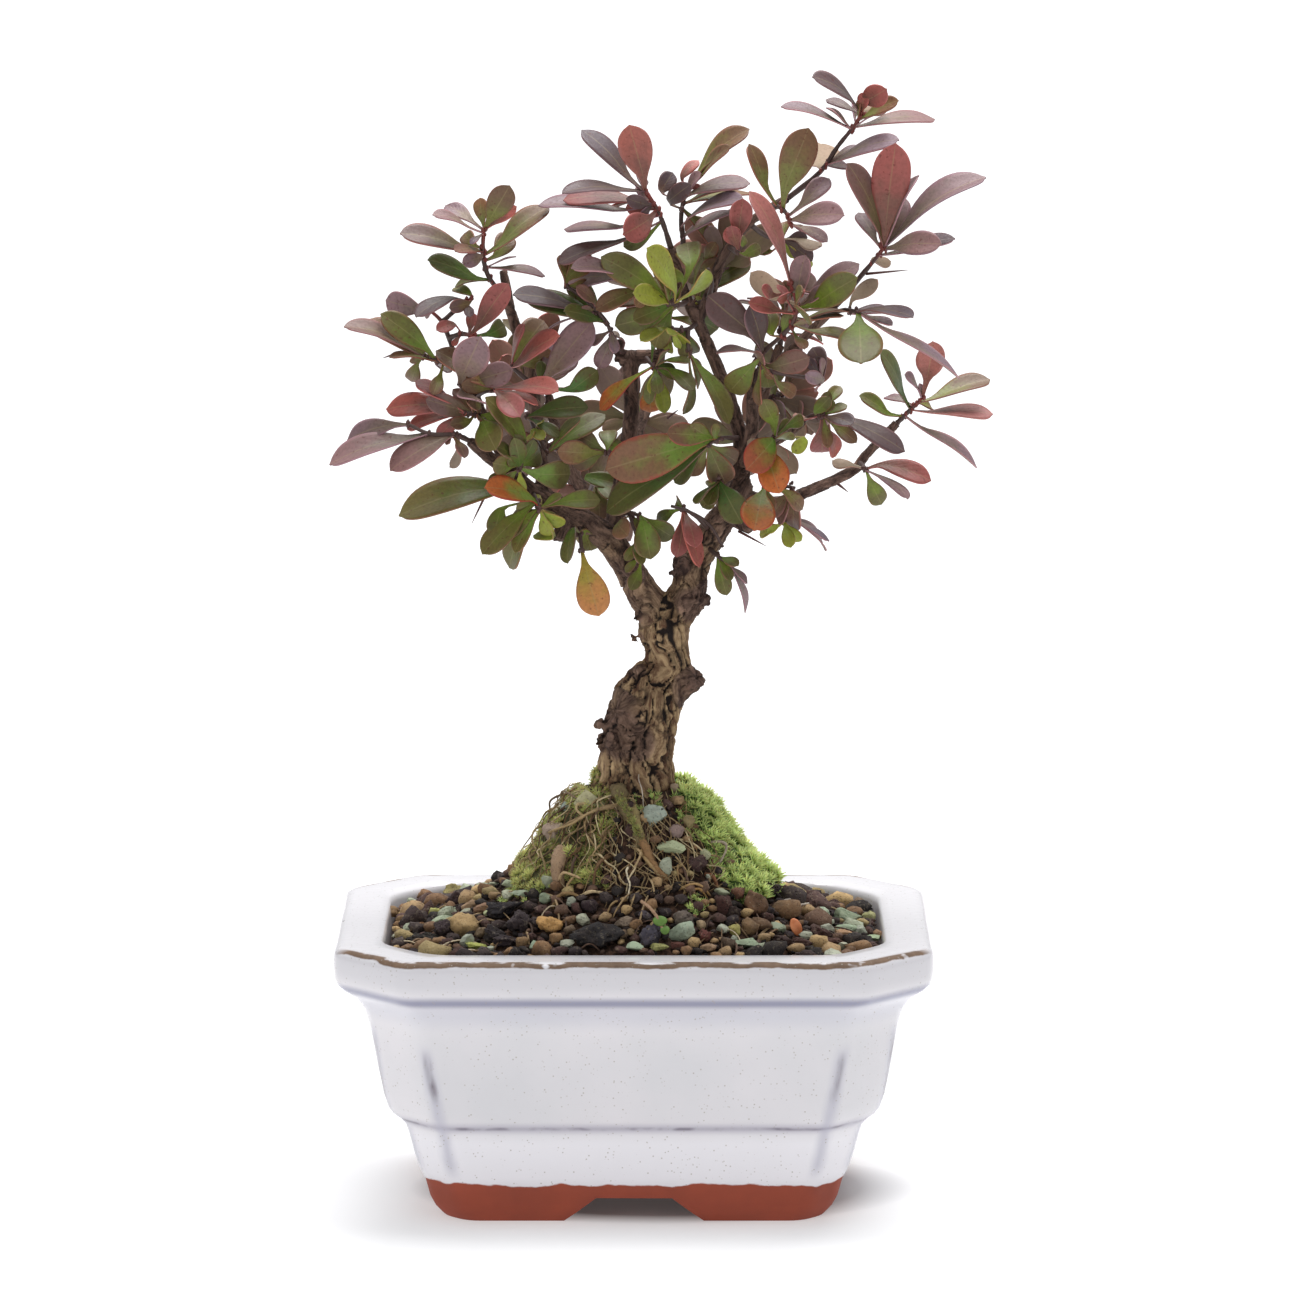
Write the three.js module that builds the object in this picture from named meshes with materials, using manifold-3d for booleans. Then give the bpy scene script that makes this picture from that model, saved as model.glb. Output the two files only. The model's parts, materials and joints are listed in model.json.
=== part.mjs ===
// Japanese barberry bonsai in a glazed pot with cut corners.
// Millimetres, +Z up, +Y away from the viewer. The origin lies on the table, under the middle of the whole.

import * as THREE from 'three';
import { mergeVertices } from 'three/addons/utils/BufferGeometryUtils.js';
import Module from 'manifold-3d';

const wasm = await Module();
wasm.setup();

// Driving dimensions of the pot
const POT_WIDTH = 150;
const POT_DEPTH = 118;
const POT_HEIGHT = 70;
const RIM_WIDTH = 12.5;
const CORNER_CUT = 17.5;
const INNER_CORNER_CUT = 13;
const CORNER_ROUND = 3;
// How much further the cut runs along the depth than along the width
const CUT_SLANT = 1.1;
// What the front wall's inset and the two corner cuts take of the side wall's inset
const FOLLOW = { depth: 0.8, outerCut: 0.42, innerCut: 0.3 };
const FOOT_HEIGHT = 6.5;
const FOOT_WIDTH = 8;
const FOOT_CUT = 5;
const FLOOR_TOP = 12;
const ARCH_FRONT = { bottom: 35, top: 19 };
const ARCH_SIDE = { bottom: 28, top: 15 };
const DRAIN = { diameter: 12, spacing: 48 };
const SCREEN = { side: 18, thickness: 0.9, bar: 1.2, holes: 2 };

// Outside of the pot: [height, how far the wall stands in from the rim's edge]
const OUTSIDE = [
  [0, 27], [2.3, 25], [5, 23.6], [10, 22.4], [12, 21], [21.3, 18.2], [25.4, 16.4], [28, 13.4],
  [31.8, 12], [49.8, 8.8], [55, 7.2], [57.5, 4.6], [59.5, 1.6], [62, 0.1], [POT_HEIGHT - 2.4, 0],
  [POT_HEIGHT - 0.7, 0.6], [POT_HEIGHT, 2],
];
// Inside of the pot: [height, how far the wall stands in from the rim's inner edge]
const INSIDE = [
  [FLOOR_TOP, 15.5], [22, 11], [35, 6], [50, 2.4], [60, 0.6], [POT_HEIGHT - 1, 0], [POT_HEIGHT + 2, -1],
];

// Soil, mound and moss
const FIT = 0.3;
// Edges that a join leaves shorter than this are closed up
const SLIVER = 0.1;
const SOIL_LEVEL = 66;
const SWELL = { height: 8, radius: 48 };
const MOUND = { height: 32, radius: 24, depthScale: 1.15 };
// The soil's surface: how many places round each ring, the rings from the wall inwards, its roughness,
// and the narrower ring by which it stands in the soil below
const SOIL_TOP = {
  round: 28, rings: [0.87, 0.74, 0.62, 0.5, 0.4, 0.3, 0.19], rough: [-1, 1.7], foot: 0.97, sunk: 7,
};
const BARE_MOUND = 16;
// Grains: the grid's spacing, the share of a cell they keep from its edges, their size and how flat they lie
const GRAIN = {
  spacing: 15, margin: 0.25, least: 3.6, most: 5.4, narrow: [0.75, 1.05], flat: [0.7, 0.9], tilt: 0.5,
  raised: 0.25, cornerReach: 1.62,
};
const MOSS_PATCHES = {
  moss_right: { from: -40, to: 72, inner: 12.4, outer: 35, colour: 0x86a436 },
  moss_left: { from: 146, to: 256, inner: 12.4, outer: 31, colour: 0x6b6a3a },
};
const MOSS_GAP = 0.38;
const MOSS_LIFT = { edge: 1.3, least: 1.8, most: 3.6 };
// The moss: degrees to a strip, cushions across it, its depth in the soil, and the waves along its outer edge
const MOSS_GRID = { degrees: 14, across: 4, root: 4 };
const MOSS_WAVES = [{ height: 2.4, turns: 3.1 }, { height: 1.2, turns: 7.3 }];
// Stones on the mound: [x, y, size along x, y and z, colour]
const STONES = {
  stone_green_grey: [4.8, -15.2, 6.6, 5.4, 6.2, 0x7d8474],
  stone_tan_green: [-10.4, -10.2, 8, 5.4, 5.2, 0xa2a17c],
  stone_tan_grey: [-19.4, -8.2, 6.4, 5.6, 5.4, 0xa59f90],
};
const STONE_RAISED = 0.12;

// Blades and shoots
const BLADE_THICKNESS = 0.9;
const BLADE = { stalk: 0.15, widest: 0.62, shoulder: 0.86, shoulderWidth: 0.74, fold: 0.22, arch: 0.07 };
const LEAST_LEAF = 9;
const WIDTH_OF_LENGTH = 0.38;
const SMALL_LEAF = 14;
const BROAD_LEAF = 8;
const STALK_HALF = 0.7;
const BACK_WIDTH_OF_LENGTH = 0.42;
// A leaf's root is set this far back into its shoot
const ROOTED = 0.3;
const SHOOT = { radius: 0.95, tip: 0.7, sides: 4 };
// How steeply a blade may leave the front plane, as a share of what its length allows, by turns from leaf
// to leaf, and how far it may turn in that plane, in the order tried
const STEEPNESS = [
  [0.2, -0.2, 0.5, -0.5, 0.8, -0.8],
  [0.5, -0.5, 0.8, -0.8, 0.2, -0.2],
  [0.8, -0.8, 0.3, -0.3],
];
const LEAST_SLOPE = 0.3;
const TURNS = [0, 9, -9, 18, -18, 27, -27];
const LONGEST_LEAF = 22;
// What a blade may cut, in cubic millimetres: the wood's room, its own spray's leaves, and other sprays
const TOUCH = { wood: 0.4, own: 0.3, others: 0.001 };

// The front view: places in it are [across, down] in view units, about four to the millimetre.
// The eye stands in front of the tree and a little above it, and looks slightly down.
const EYE = new THREE.Vector3(4, -1982, 464);
const VIEW_TILT = THREE.MathUtils.degToRad(9.32);
const VIEW_LENGTH = 7965;
const VIEW_CENTRE = 650;
const UNITS_PER_MM = 4;

// The point that the front view shows at [across, down], at this depth behind the trunk's plane
function inFrontView(across, down, depth) {
  const x = (across - VIEW_CENTRE) / VIEW_LENGTH;
  const z = (VIEW_CENTRE - down) / VIEW_LENGTH;
  const ray = new THREE.Vector3(
    x,
    Math.cos(VIEW_TILT) + z * Math.sin(VIEW_TILT),
    z * Math.cos(VIEW_TILT) - Math.sin(VIEW_TILT),
  );
  return ray.multiplyScalar((depth - EYE.y) / ray.y).add(EYE);
}

// Trunk, limbs and branches: [across, down, depth, radius] from the root end to the tip
const TRUNK = [
  [634, 862, 3, 10.2], [634, 832, 2, 10.8], [633, 805, 0, 11.6], [634, 782, 0, 10.4], [637, 755, -1, 9.4],
  [641, 725, -1, 9.2], [648, 703, -1, 9.3], [658, 685, 0, 7.9], [667, 667, 0, 6.1], [667, 648, 0, 5.7],
  [664, 630, 0, 6.6], [666, 612, 0, 6.6],
];
const BRANCHES = {
  limb_left: [
    [660, 617, 0, 5.2], [644, 594, -1, 4.3], [627, 564, -3, 3.9], [606, 538, -4, 3.6], [580, 519, -5, 3.3],
    [553, 504, -7, 2.9], [529, 490, -9, 2.4], [508, 470, -12, 2], [488, 456, -15, 1.7], [470, 441, -18, 1.3],
  ],
  limb_right: [
    [674, 615, 0, 5.2], [688, 592, 1, 4.6], [692, 570, 2, 4.4], [702, 549, 2, 4.2], [716, 527, 1, 3.8],
    [733, 503, 0, 3.4], [744, 482, -1, 2.8],
  ],
  leader: [
    [612, 543, -4, 2.6], [618, 505, 0, 2.5], [625, 460, 2, 2.4], [631, 420, 2, 2.1], [631, 385, 1, 2],
    [631, 356, 0, 2.1],
  ],
  left_riser: [
    [545, 499, -8, 2], [541, 462, -4, 1.9], [537, 420, 2, 1.8], [530, 370, 5, 1.7], [518, 335, 3, 1.5],
    [511, 312, 1, 1.4], [504, 296, -2, 1.2],
  ],
  far_left: [[508, 470, -12, 1.5], [488, 425, -10, 1.4], [468, 380, -8, 1.3], [455, 356, -8, 1.2]],
  centre_right: [
    [742, 487, -1, 2.6], [741, 460, 0, 2.2], [739, 430, 0, 2], [727, 392, 0, 1.8], [711, 352, 0, 1.7],
    [698, 322, -1, 1.6], [686, 297, -2, 1.5], [678, 272, -2, 1.4], [671, 248, -3, 1.3],
  ],
  diagonal: [
    [698, 322, -1, 1.5], [714, 284, 0, 1.5], [721, 260, 0, 1.4], [739, 233, -1, 1.3], [761, 214, -3, 1.2],
    [788, 198, -5, 1.2],
  ],
  inner_right: [[746, 462, -2, 2], [752, 430, -4, 1.8], [752, 385, -8, 1.5], [751, 368, -11, 1.3]],
  right_climb: [[752, 400, -7, 1.4], [780, 362, -8, 1.3], [814, 328, -11, 1.2], [836, 306, -12, 1.2]],
  right_low: [
    [740, 495, -1, 2.3], [774, 503, 4, 1.8], [804, 493, 8, 1.6], [852, 471, 10, 1.5], [866, 455, 11, 1.3],
    [897, 423, 12, 1.2],
  ],
  right_mid: [[748, 470, -3, 1.9], [768, 446, -3, 1.5], [790, 432, -1, 1.3], [804, 420, 0, 1.2]],
  back_left: [
    [627, 564, -3, 2.6], [610, 540, 10, 2.2], [588, 500, 20, 1.9], [562, 450, 27, 1.6], [548, 395, 31, 1.3],
  ],
  back_right: [
    [716, 527, 1, 2.6], [726, 500, 14, 2.1], [742, 455, 24, 1.8], [762, 400, 31, 1.5], [780, 345, 34, 1.3],
  ],
  back_middle: [[625, 460, 2, 1.9], [640, 425, 14, 1.6], [656, 380, 24, 1.4], [664, 330, 30, 1.3]],
};
// Burls and the stubs that pruning left: the same four numbers, two places each
const STUBS = [
  [[632, 722, -3, 5.6], [615, 710, -6, 3.6]],
  [[680, 686, 0, 4], [697, 677, -3, 3]],
  [[688, 602, 0, 4.6], [701, 590, 0, 3.2]],
  [[692, 572, 2, 3.6], [678, 559, -1, 2.2]],
  [[566, 512, -6, 2.8], [560, 541, -9, 2]],
  [[728, 512, 0, 3], [752, 529, -3, 1.9]],
  [[620, 357, 0, 1.9], [659, 357, 0, 1.9]],
  [[511, 312, 1, 1.4], [503, 270, 3, 1.2]],
  [[620, 556, -3, 3], [636, 577, -6, 2.2]],
];

// Sprays, the hand-read ones: shoots as lists of [across, down, depth], the first starting in the wood,
// and leaves as [base across, base down, tip across, tip down, width seen, tint]
const SPRAYS = {
  spray_centre_front: [
    [[[740, 438, 0], [732, 438, -6], [721, 438, -12], [706, 446, -13]]],
    [
      [722, 436, 604, 470, 46, 'green'], [706, 440, 726, 484, 28, 'olive'], [714, 440, 690, 425, 16, 'green'],
      [700, 462, 605, 513, 28, 'deep'],
    ],
  ],
  spray_limb_under: [
    [[[580, 519, -5], [580, 534, -9], [582, 552, -11]]],
    [
      [582, 554, 599, 617, 34, 'orange'], [582, 522, 592, 551, 20, 'green'], [576, 517, 567, 564, 13, 'deep'],
    ],
  ],
  spray_peak_left: [
    [[[671, 248, -3], [664, 226, -4], [656, 207, -6], [645, 191, -8]]],
    [
      [647, 189, 629, 124, 34, 'rose'], [636, 190, 581, 129, 18, 'dark'], [656, 215, 623, 235, 30, 'red'],
      [650, 204, 562, 200, 14, 'red'], [654, 207, 626, 198, 14, 'dark'], [635, 192, 561, 193, 9, 'dark'],
      [640, 216, 537, 205, 8, 'plum'], [638, 230, 563, 229, 6, 'plum'], [638, 238, 557, 264, 9, 'dark'],
      [658, 230, 623, 247, 17, 'green'],
    ],
  ],
  spray_right_top: [
    [[[836, 306, -12], [860, 277, -13], [876, 258, -14], [884, 247, -15]]],
    [
      [884, 245, 896, 142, 39, 'red'], [885, 250, 898, 193, 33, 'plum'], [884, 245, 847, 162, 20, 'brown'],
      [884, 250, 987, 176, 14, 'plum'], [886, 246, 919, 174, 9, 'plum'], [878, 247, 858, 212, 15, 'plum'],
      [882, 258, 956, 238, 10, 'plum'], [868, 258, 891, 262, 8, 'pale'],
    ],
  ],
  spray_right_inner_top: [
    [[[751, 368, -11], [762, 353, -14], [779, 338, -18], [792, 324, -21], [797, 306, -22], [790, 282, -23]]],
    [
      [790, 276, 749, 190, 17, 'rose'], [792, 307, 750, 272, 22, 'pale'], [807, 311, 858, 277, 28, 'green'],
      [798, 309, 860, 263, 18, 'plum'], [784, 313, 748, 302, 14, 'red'], [775, 298, 762, 288, 10, 'red'],
      [803, 307, 827, 287, 10, 'plum'], [799, 332, 863, 345, 8, 'olive'], [794, 336, 805, 349, 8, 'olive'],
      [770, 342, 771, 311, 17, 'green'],
    ],
  ],
  spray_right_core: [
    [[[752, 385, -8], [759, 368, -13], [763, 354, -16]], [[759, 368, -13], [795, 376, -15], [822, 378, -15]]],
    [
      [763, 342, 707, 295, 34, 'dark'], [758, 359, 729, 392, 27, 'green'], [765, 369, 810, 357, 25, 'brown'],
      [828, 374, 812, 347, 20, 'dark'], [828, 383, 805, 374, 14, 'plum'], [771, 380, 796, 395, 14, 'olive'],
      [760, 372, 760, 407, 8, 'olive'], [752, 350, 715, 352, 5, 'dark'],
    ],
  ],
  spray_upper_mid_left: [
    [[[688, 300, -2], [680, 305, -9], [668, 303, -12]], [[680, 305, -9], [650, 290, -11], [634, 279, -11]]],
    [
      [673, 305, 600, 256, 28, 'green'], [693, 276, 687, 242, 28, 'green'], [682, 300, 647, 247, 20, 'lime'],
      [679, 308, 614, 326, 29, 'green'], [692, 280, 652, 270, 19, 'green'], [632, 277, 563, 283, 18, 'plum'],
      [647, 287, 595, 310, 18, 'olive'], [661, 299, 616, 304, 10, 'olive'], [669, 305, 665, 279, 4, 'green'],
    ],
  ],
  spray_inner_left: [
    [[[532, 385, 4], [537, 388, -3], [540, 386, -8]], [[537, 388, -3], [520, 374, -5], [511, 366, -6]]],
    [
      [538, 387, 593, 320, 33, 'plum'], [511, 362, 544, 320, 32, 'olive'], [509, 373, 560, 335, 14, 'red'],
      [563, 396, 598, 370, 22, 'deep'],
    ],
  ],
  spray_left_front: [
    [[[532, 492, -9], [537, 501, -15], [540, 510, -17]]],
    [
      [530, 485, 397, 516, 30, 'green'], [534, 515, 509, 569, 20, 'green'], [541, 502, 484, 487, 18, 'amber'],
      [548, 504, 601, 500, 18, 'green'], [503, 500, 493, 536, 20, 'green'], [548, 508, 551, 530, 20, 'lime'],
      [539, 508, 503, 538, 15, 'green'], [562, 540, 533, 535, 9, 'lime'],
    ],
  ],
  spray_left_heart: [
    [[[514, 476, -11], [519, 470, -16], [521, 461, -18]]],
    [
      [534, 458, 485, 396, 20, 'green'], [522, 473, 571, 474, 30, 'green'], [520, 471, 514, 437, 17, 'deep'],
      [516, 466, 493, 463, 22, 'green'], [512, 475, 488, 482, 12, 'green'], [522, 476, 518, 496, 15, 'lime'],
    ],
  ],
  spray_right_mid_low: [
    [[[788, 433, -1], [780, 437, -8], [768, 440, -11]]],
    [
      [778, 434, 746, 470, 33, 'blush'], [763, 441, 780, 494, 32, 'amber'], [778, 430, 763, 399, 20, 'green'],
      [782, 428, 804, 418, 14, 'deep'], [811, 434, 792, 453, 14, 'lime'], [745, 434, 763, 452, 12, 'pale'],
    ],
  ],
  spray_fork_front: [
    [[[762, 500, 2], [764, 492, -5], [766, 487, -9]], [[764, 492, -5], [780, 486, -6], [795, 488, -5]]],
    [
      [763, 487, 754, 531, 36, 'amber'], [778, 485, 803, 510, 14, 'olive'], [797, 490, 794, 530, 17, 'brown'],
    ],
  ],
  spray_fork_left: [
    [[[736, 498, -1], [727, 489, -7], [719, 481, -10]]],
    [[719, 480, 742, 524, 30, 'deep'], [722, 484, 702, 508, 16, 'green']],
  ],
  spray_left_peak: [
    [[[504, 296, -2], [490, 279, -5], [484, 262, -6], [483, 244, -7], [484, 230, -8]]],
    [
      [485, 227, 510, 185, 27, 'olive'], [491, 256, 550, 206, 20, 'olive'], [476, 254, 399, 233, 17, 'brown'],
      [493, 262, 510, 234, 22, 'olive'], [485, 285, 427, 259, 16, 'deep'], [478, 226, 445, 205, 13, 'plum'],
      [487, 228, 517, 206, 12, 'red'], [478, 250, 464, 233, 16, 'olive'], [486, 255, 462, 263, 15, 'plum'],
      [492, 268, 546, 276, 6, 'plum'], [475, 232, 432, 214, 4, 'plum'],
    ],
  ],
  spray_far_left: [
    [
      [[455, 356, -8], [449, 338, -9], [442, 322, -10], [432, 312, -11]],
      [[449, 338, -9], [461, 334, -12], [474, 336, -13]],
      [[442, 322, -10], [460, 306, -8], [472, 299, -8]],
    ],
    [
      [471, 338, 509, 283, 24, 'red'], [430, 312, 385, 300, 25, 'plum'], [462, 294, 415, 317, 12, 'dark'],
      [476, 297, 453, 288, 8, 'green'], [474, 302, 449, 308, 14, 'brown'], [484, 337, 505, 325, 20, 'deep'],
      [460, 323, 436, 330, 11, 'red'],
    ],
  ],
  spray_far_left_low: [
    [[[463, 370, -8], [452, 364, -12], [438, 361, -14], [424, 357, -14]]],
    [
      [436, 356, 380, 313, 25, 'green'], [436, 367, 363, 321, 20, 'olive'], [418, 354, 343, 326, 11, 'brown'],
      [418, 359, 411, 382, 16, 'olive'], [442, 371, 433, 395, 14, 'olive'], [453, 378, 437, 360, 10, 'dark'],
    ],
  ],
  spray_left_mid_top: [
    [[[476, 396, -9], [484, 392, -13], [494, 389, -15]], [[476, 396, -9], [466, 390, -14], [458, 384, -16]]],
    [
      [458, 384, 481, 336, 36, 'plum'], [494, 390, 435, 350, 20, 'olive'], [501, 388, 559, 391, 12, 'red'],
    ],
  ],
  spray_left_mid: [
    [[[486, 421, -10], [480, 415, -15], [466, 413, -17]]],
    [
      [481, 417, 425, 399, 22, 'brown'], [467, 411, 385, 409, 20, 'red'], [482, 418, 496, 450, 31, 'green'],
      [458, 414, 406, 429, 10, 'red'], [475, 420, 450, 425, 13, 'olive'], [484, 406, 469, 404, 10, 'olive'],
    ],
  ],
  spray_left_low: [
    [[[470, 441, -18], [455, 435, -20], [430, 434, -22], [410, 425, -22]]],
    [
      [427, 436, 328, 465, 18, 'plum'], [407, 422, 346, 441, 20, 'plum'], [460, 430, 389, 471, 23, 'brown'],
      [462, 440, 450, 468, 8, 'pale'], [455, 438, 465, 458, 10, 'brown'],
    ],
  ],
  spray_crotch_left: [
    [[[616, 515, -1], [630, 513, -7], [640, 516, -9]], [[630, 513, -7], [637, 536, -8], [640, 556, -8]]],
    [
      [641, 511, 651, 560, 27, 'green'], [616, 520, 628, 536, 22, 'olive'], [632, 541, 642, 565, 10, 'green'],
      [642, 566, 630, 590, 15, 'green'],
    ],
  ],
  spray_behind_left: [
    [[[588, 500, 20], [591, 488, 12], [594, 482, 8]]],
    [[573, 475, 621, 485, 16, 'deep'], [598, 485, 600, 521, 22, 'olive']],
  ],
  spray_peak_right: [
    [[[675, 262, -2], [683, 244, 3], [681, 220, 4], [684, 197, 3], [690, 186, 3]]],
    [
      [691, 181, 750, 128, 15, 'olive'], [656, 198, 673, 172, 18, 'dark'], [662, 207, 691, 184, 18, 'dark'],
      [676, 184, 699, 160, 10, 'red'], [695, 185, 731, 146, 8, 'olive'], [682, 210, 716, 250, 16, 'olive'],
      [678, 198, 751, 183, 12, 'plum'], [678, 204, 754, 193, 6, 'olive'], [676, 227, 744, 198, 6, 'plum'],
      [675, 240, 737, 211, 6, 'plum'],
    ],
  ],
  spray_upper_mid_right: [
    [[[708, 300, -1], [698, 303, 6], [690, 303, 9]], [[708, 300, -1], [712, 284, -8], [708, 268, -10]]],
    [
      [684, 304, 752, 261, 21, 'green'], [684, 309, 718, 330, 30, 'deep'], [698, 281, 717, 259, 14, 'olive'],
      [705, 262, 716, 242, 14, 'olive'], [690, 302, 705, 316, 12, 'lime'],
    ],
  ],
  spray_below_mid: [
    [[[698, 322, -1], [688, 329, -6], [672, 329, -9]], [[688, 329, -6], [688, 342, -8], [689, 352, -8]]],
    [
      [688, 353, 730, 425, 16, 'green'], [686, 330, 690, 355, 22, 'green'], [670, 326, 640, 341, 10, 'lime'],
      [670, 332, 668, 353, 12, 'lime'],
    ],
  ],
  spray_leader_top: [
    [[[626, 356, 0], [614, 338, -5], [608, 325, -7]], [[608, 325, -7], [590, 303, -8], [566, 286, -8]]],
    [
      [607, 323, 523, 297, 22, 'deep'], [561, 284, 592, 255, 22, 'olive'], [592, 315, 512, 294, 12, 'dark'],
      [615, 330, 598, 369, 18, 'plum'], [599, 306, 576, 286, 12, 'brown'], [628, 336, 612, 353, 14, 'dark'],
    ],
  ],
  spray_inner_left_low: [
    [[[538, 428, 1], [532, 421, -4], [527, 417, -7]], [[532, 421, -4], [540, 440, -8], [547, 453, -9]]],
    [
      [524, 416, 589, 407, 20, 'deep'], [547, 454, 606, 414, 18, 'green'], [529, 428, 544, 439, 10, 'lime'],
    ],
  ],
  spray_leader_mid: [
    [[[626, 456, 2], [614, 453, -5], [606, 452, -7]]],
    [[600, 453, 557, 451, 25, 'olive'], [608, 451, 608, 430, 19, 'green']],
  ],
  spray_knob: [
    [[[645, 357, 0], [650, 362, -5], [655, 368, -8]]],
    [
      [656, 370, 665, 414, 16, 'lime'], [652, 378, 650, 413, 22, 'amber'], [664, 364, 694, 391, 13, 'green'],
      [640, 372, 599, 410, 14, 'amber'], [660, 360, 691, 362, 5, 'green'], [650, 350, 662, 336, 10, 'deep'],
    ],
  ],
  spray_far_tip: [
    [[[788, 198, -5], [820, 172, -6], [838, 146, -6], [855, 125, -6], [861, 114, -6]]],
    [
      [859, 104, 887, 89, 24, 'red'], [821, 167, 817, 143, 44, 'pale'], [858, 106, 812, 76, 12, 'dark'],
      [856, 112, 889, 106, 11, 'pale'], [860, 120, 899, 100, 12, 'olive'], [856, 128, 936, 119, 10, 'plum'],
      [850, 128, 780, 106, 6, 'plum'], [854, 121, 852, 101, 5, 'plum'], [827, 167, 900, 139, 10, 'plum'],
      [827, 167, 850, 166, 8, 'dark'],
    ],
  ],
  spray_diagonal_top: [
    [[[768, 211, -3], [777, 206, -10], [786, 213, -13], [790, 224, -14]]],
    [
      [778, 204, 809, 127, 36, 'olive'], [795, 213, 830, 178, 18, 'plum'], [786, 221, 845, 215, 20, 'plum'],
      [768, 199, 749, 143, 17, 'olive'], [793, 224, 828, 242, 10, 'plum'],
    ],
  ],
  spray_diagonal_low: [
    [[[750, 224, -2], [766, 236, 5], [782, 240, 8]]],
    [
      [783, 238, 813, 261, 19, 'dark'], [790, 250, 810, 270, 16, 'lime'], [790, 236, 822, 247, 9, 'pale'],
      [774, 260, 752, 236, 22, 'olive'],
    ],
  ],
  spray_diagonal_side: [
    [[[730, 247, -1], [736, 252, -8], [739, 250, -10]]],
    [[737, 244, 743, 198, 23, 'red'], [738, 257, 761, 247, 14, 'green']],
  ],
  spray_right_shoulder: [
    [[[828, 314, -12], [845, 310, -18], [858, 312, -21]]],
    [
      [859, 317, 861, 364, 46, 'green'], [845, 303, 878, 279, 15, 'pale'], [859, 308, 914, 317, 7, 'dark'],
      [840, 316, 891, 309, 6, 'plum'], [864, 316, 893, 325, 6, 'plum'], [866, 322, 961, 379, 6, 'plum'],
    ],
  ],
  spray_right_mid_top: [
    [[[804, 420, 0], [814, 415, -3], [823, 416, -5]]],
    [
      [824, 411, 906, 452, 15, 'dark'], [822, 422, 822, 453, 25, 'red'], [811, 416, 830, 397, 15, 'green'],
      [822, 408, 841, 386, 12, 'green'], [828, 420, 857, 443, 14, 'olive'], [824, 424, 836, 457, 14, 'red'],
    ],
  ],
  spray_fork_under: [
    [[[784, 501, 5], [784, 512, 2], [784, 522, 1]]],
    [
      [784, 522, 791, 548, 14, 'lime'], [782, 524, 759, 535, 10, 'lime'], [787, 515, 826, 550, 5, 'plum'],
    ],
  ],
  spray_far_right: [
    [[[897, 423, 12], [908, 412, 12], [922, 398, 11]]],
    [
      [926, 384, 933, 341, 30, 'rose'], [920, 405, 991, 379, 12, 'olive'], [904, 403, 880, 351, 14, 'deep'],
      [914, 414, 994, 414, 8, 'rose'], [893, 420, 859, 395, 12, 'green'], [908, 422, 978, 468, 6, 'plum'],
      [920, 392, 905, 374, 5, 'plum'], [910, 403, 884, 397, 6, 'plum'],
    ],
  ],
  spray_right_low_mid: [
    [[[860, 463, 10], [863, 466, 3], [866, 470, 0]]],
    [
      [866, 462, 932, 481, 18, 'red'], [866, 473, 882, 505, 20, 'green'], [868, 471, 909, 499, 5, 'plum'],
      [858, 466, 832, 461, 8, 'pale'],
    ],
  ],
  spray_crotch_right: [
    [[[712, 533, 1], [698, 518, -6], [684, 509, -8]]],
    [[678, 509, 700, 568, 15, 'red'], [678, 508, 656, 522, 12, 'green']],
  ],
  spray_limb_right_under: [
    [[[705, 543, 2], [714, 553, -4], [728, 564, -6]]],
    [[716, 557, 727, 596, 17, 'green'], [732, 567, 746, 613, 5, 'plum']],
  ],
};

// Sprays on the far side: the seat in the wood as [across, down, depth], the way the shoot grows, leaves, seed
const BACK_SPRAYS = {
  spray_back_left_tip: [[548, 395, 31], [-0.1, 0.35, 0.95], 7, 3],
  spray_back_left_mid: [[562, 450, 27], [-0.8, 0.6, 0.1], 7, 5],
  spray_back_left_low: [[588, 500, 20], [0.1, 0.95, -0.1], 6, 8],
  spray_back_right_tip: [[780, 345, 34], [0.15, 0.3, 0.95], 7, 11],
  spray_back_right_mid: [[762, 400, 31], [0.7, 0.7, 0.1], 7, 14],
  spray_back_right_low: [[742, 455, 24], [0.2, 0.9, 0.3], 6, 17],
  spray_back_middle_tip: [[664, 330, 30], [0.05, 0.4, 0.9], 7, 20],
  spray_back_middle_low: [[640, 425, 14], [-0.2, 0.95, 0.1], 7, 23],
  spray_back_riser: [[534, 400, 4], [-0.35, 0.9, 0.25], 6, 26],
  spray_back_diagonal: [[718, 272, 0], [0.25, 0.95, 0.1], 6, 29],
};
const BACK = { shoot: 9, least: 14, most: 19, spread: [38, 82], turn: 137.5, tries: 9, step: 29 };

const TINTS = {
  green: 0x6c8a3c, deep: 0x48642f, lime: 0x98a648, olive: 0x7a7145, brown: 0x7a5648, plum: 0x7a5552,
  dark: 0x553a3e, red: 0x97504c, rose: 0xb0605c, amber: 0xc08a4c, orange: 0xc98a4e, blush: 0xa6774a,
  pale: 0xa8958c,
};

// The same even draws every time: a multiplying generator over a prime
function draws(seed) {
  const prime = 2 ** 31 - 1;
  const multiplier = 16807;
  let state = seed * 7919 + 17;
  return () => {
    state = (state * multiplier) % prime;
    return state / prime;
  };
}

const point = (x, y, z) => new THREE.Vector3(x, y, z);

function solidFrom(vertices, triangles) {
  return new wasm.Manifold(new wasm.Mesh({
    numProp: 3,
    vertProperties: new Float32Array(vertices.flatMap((v) => [v.x, v.y, v.z])),
    triVerts: new Uint32Array(triangles.flat()),
  }));
}

// A closed solid of a three.js geometry
function solidOf(geometry) {
  geometry.deleteAttribute('normal');
  geometry.deleteAttribute('uv');
  const merged = mergeVertices(geometry, 1e-4);
  return new wasm.Manifold(new wasm.Mesh({
    numProp: 3,
    vertProperties: merged.attributes.position.array,
    triVerts: new Uint32Array(merged.index.array),
  }));
}

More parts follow.
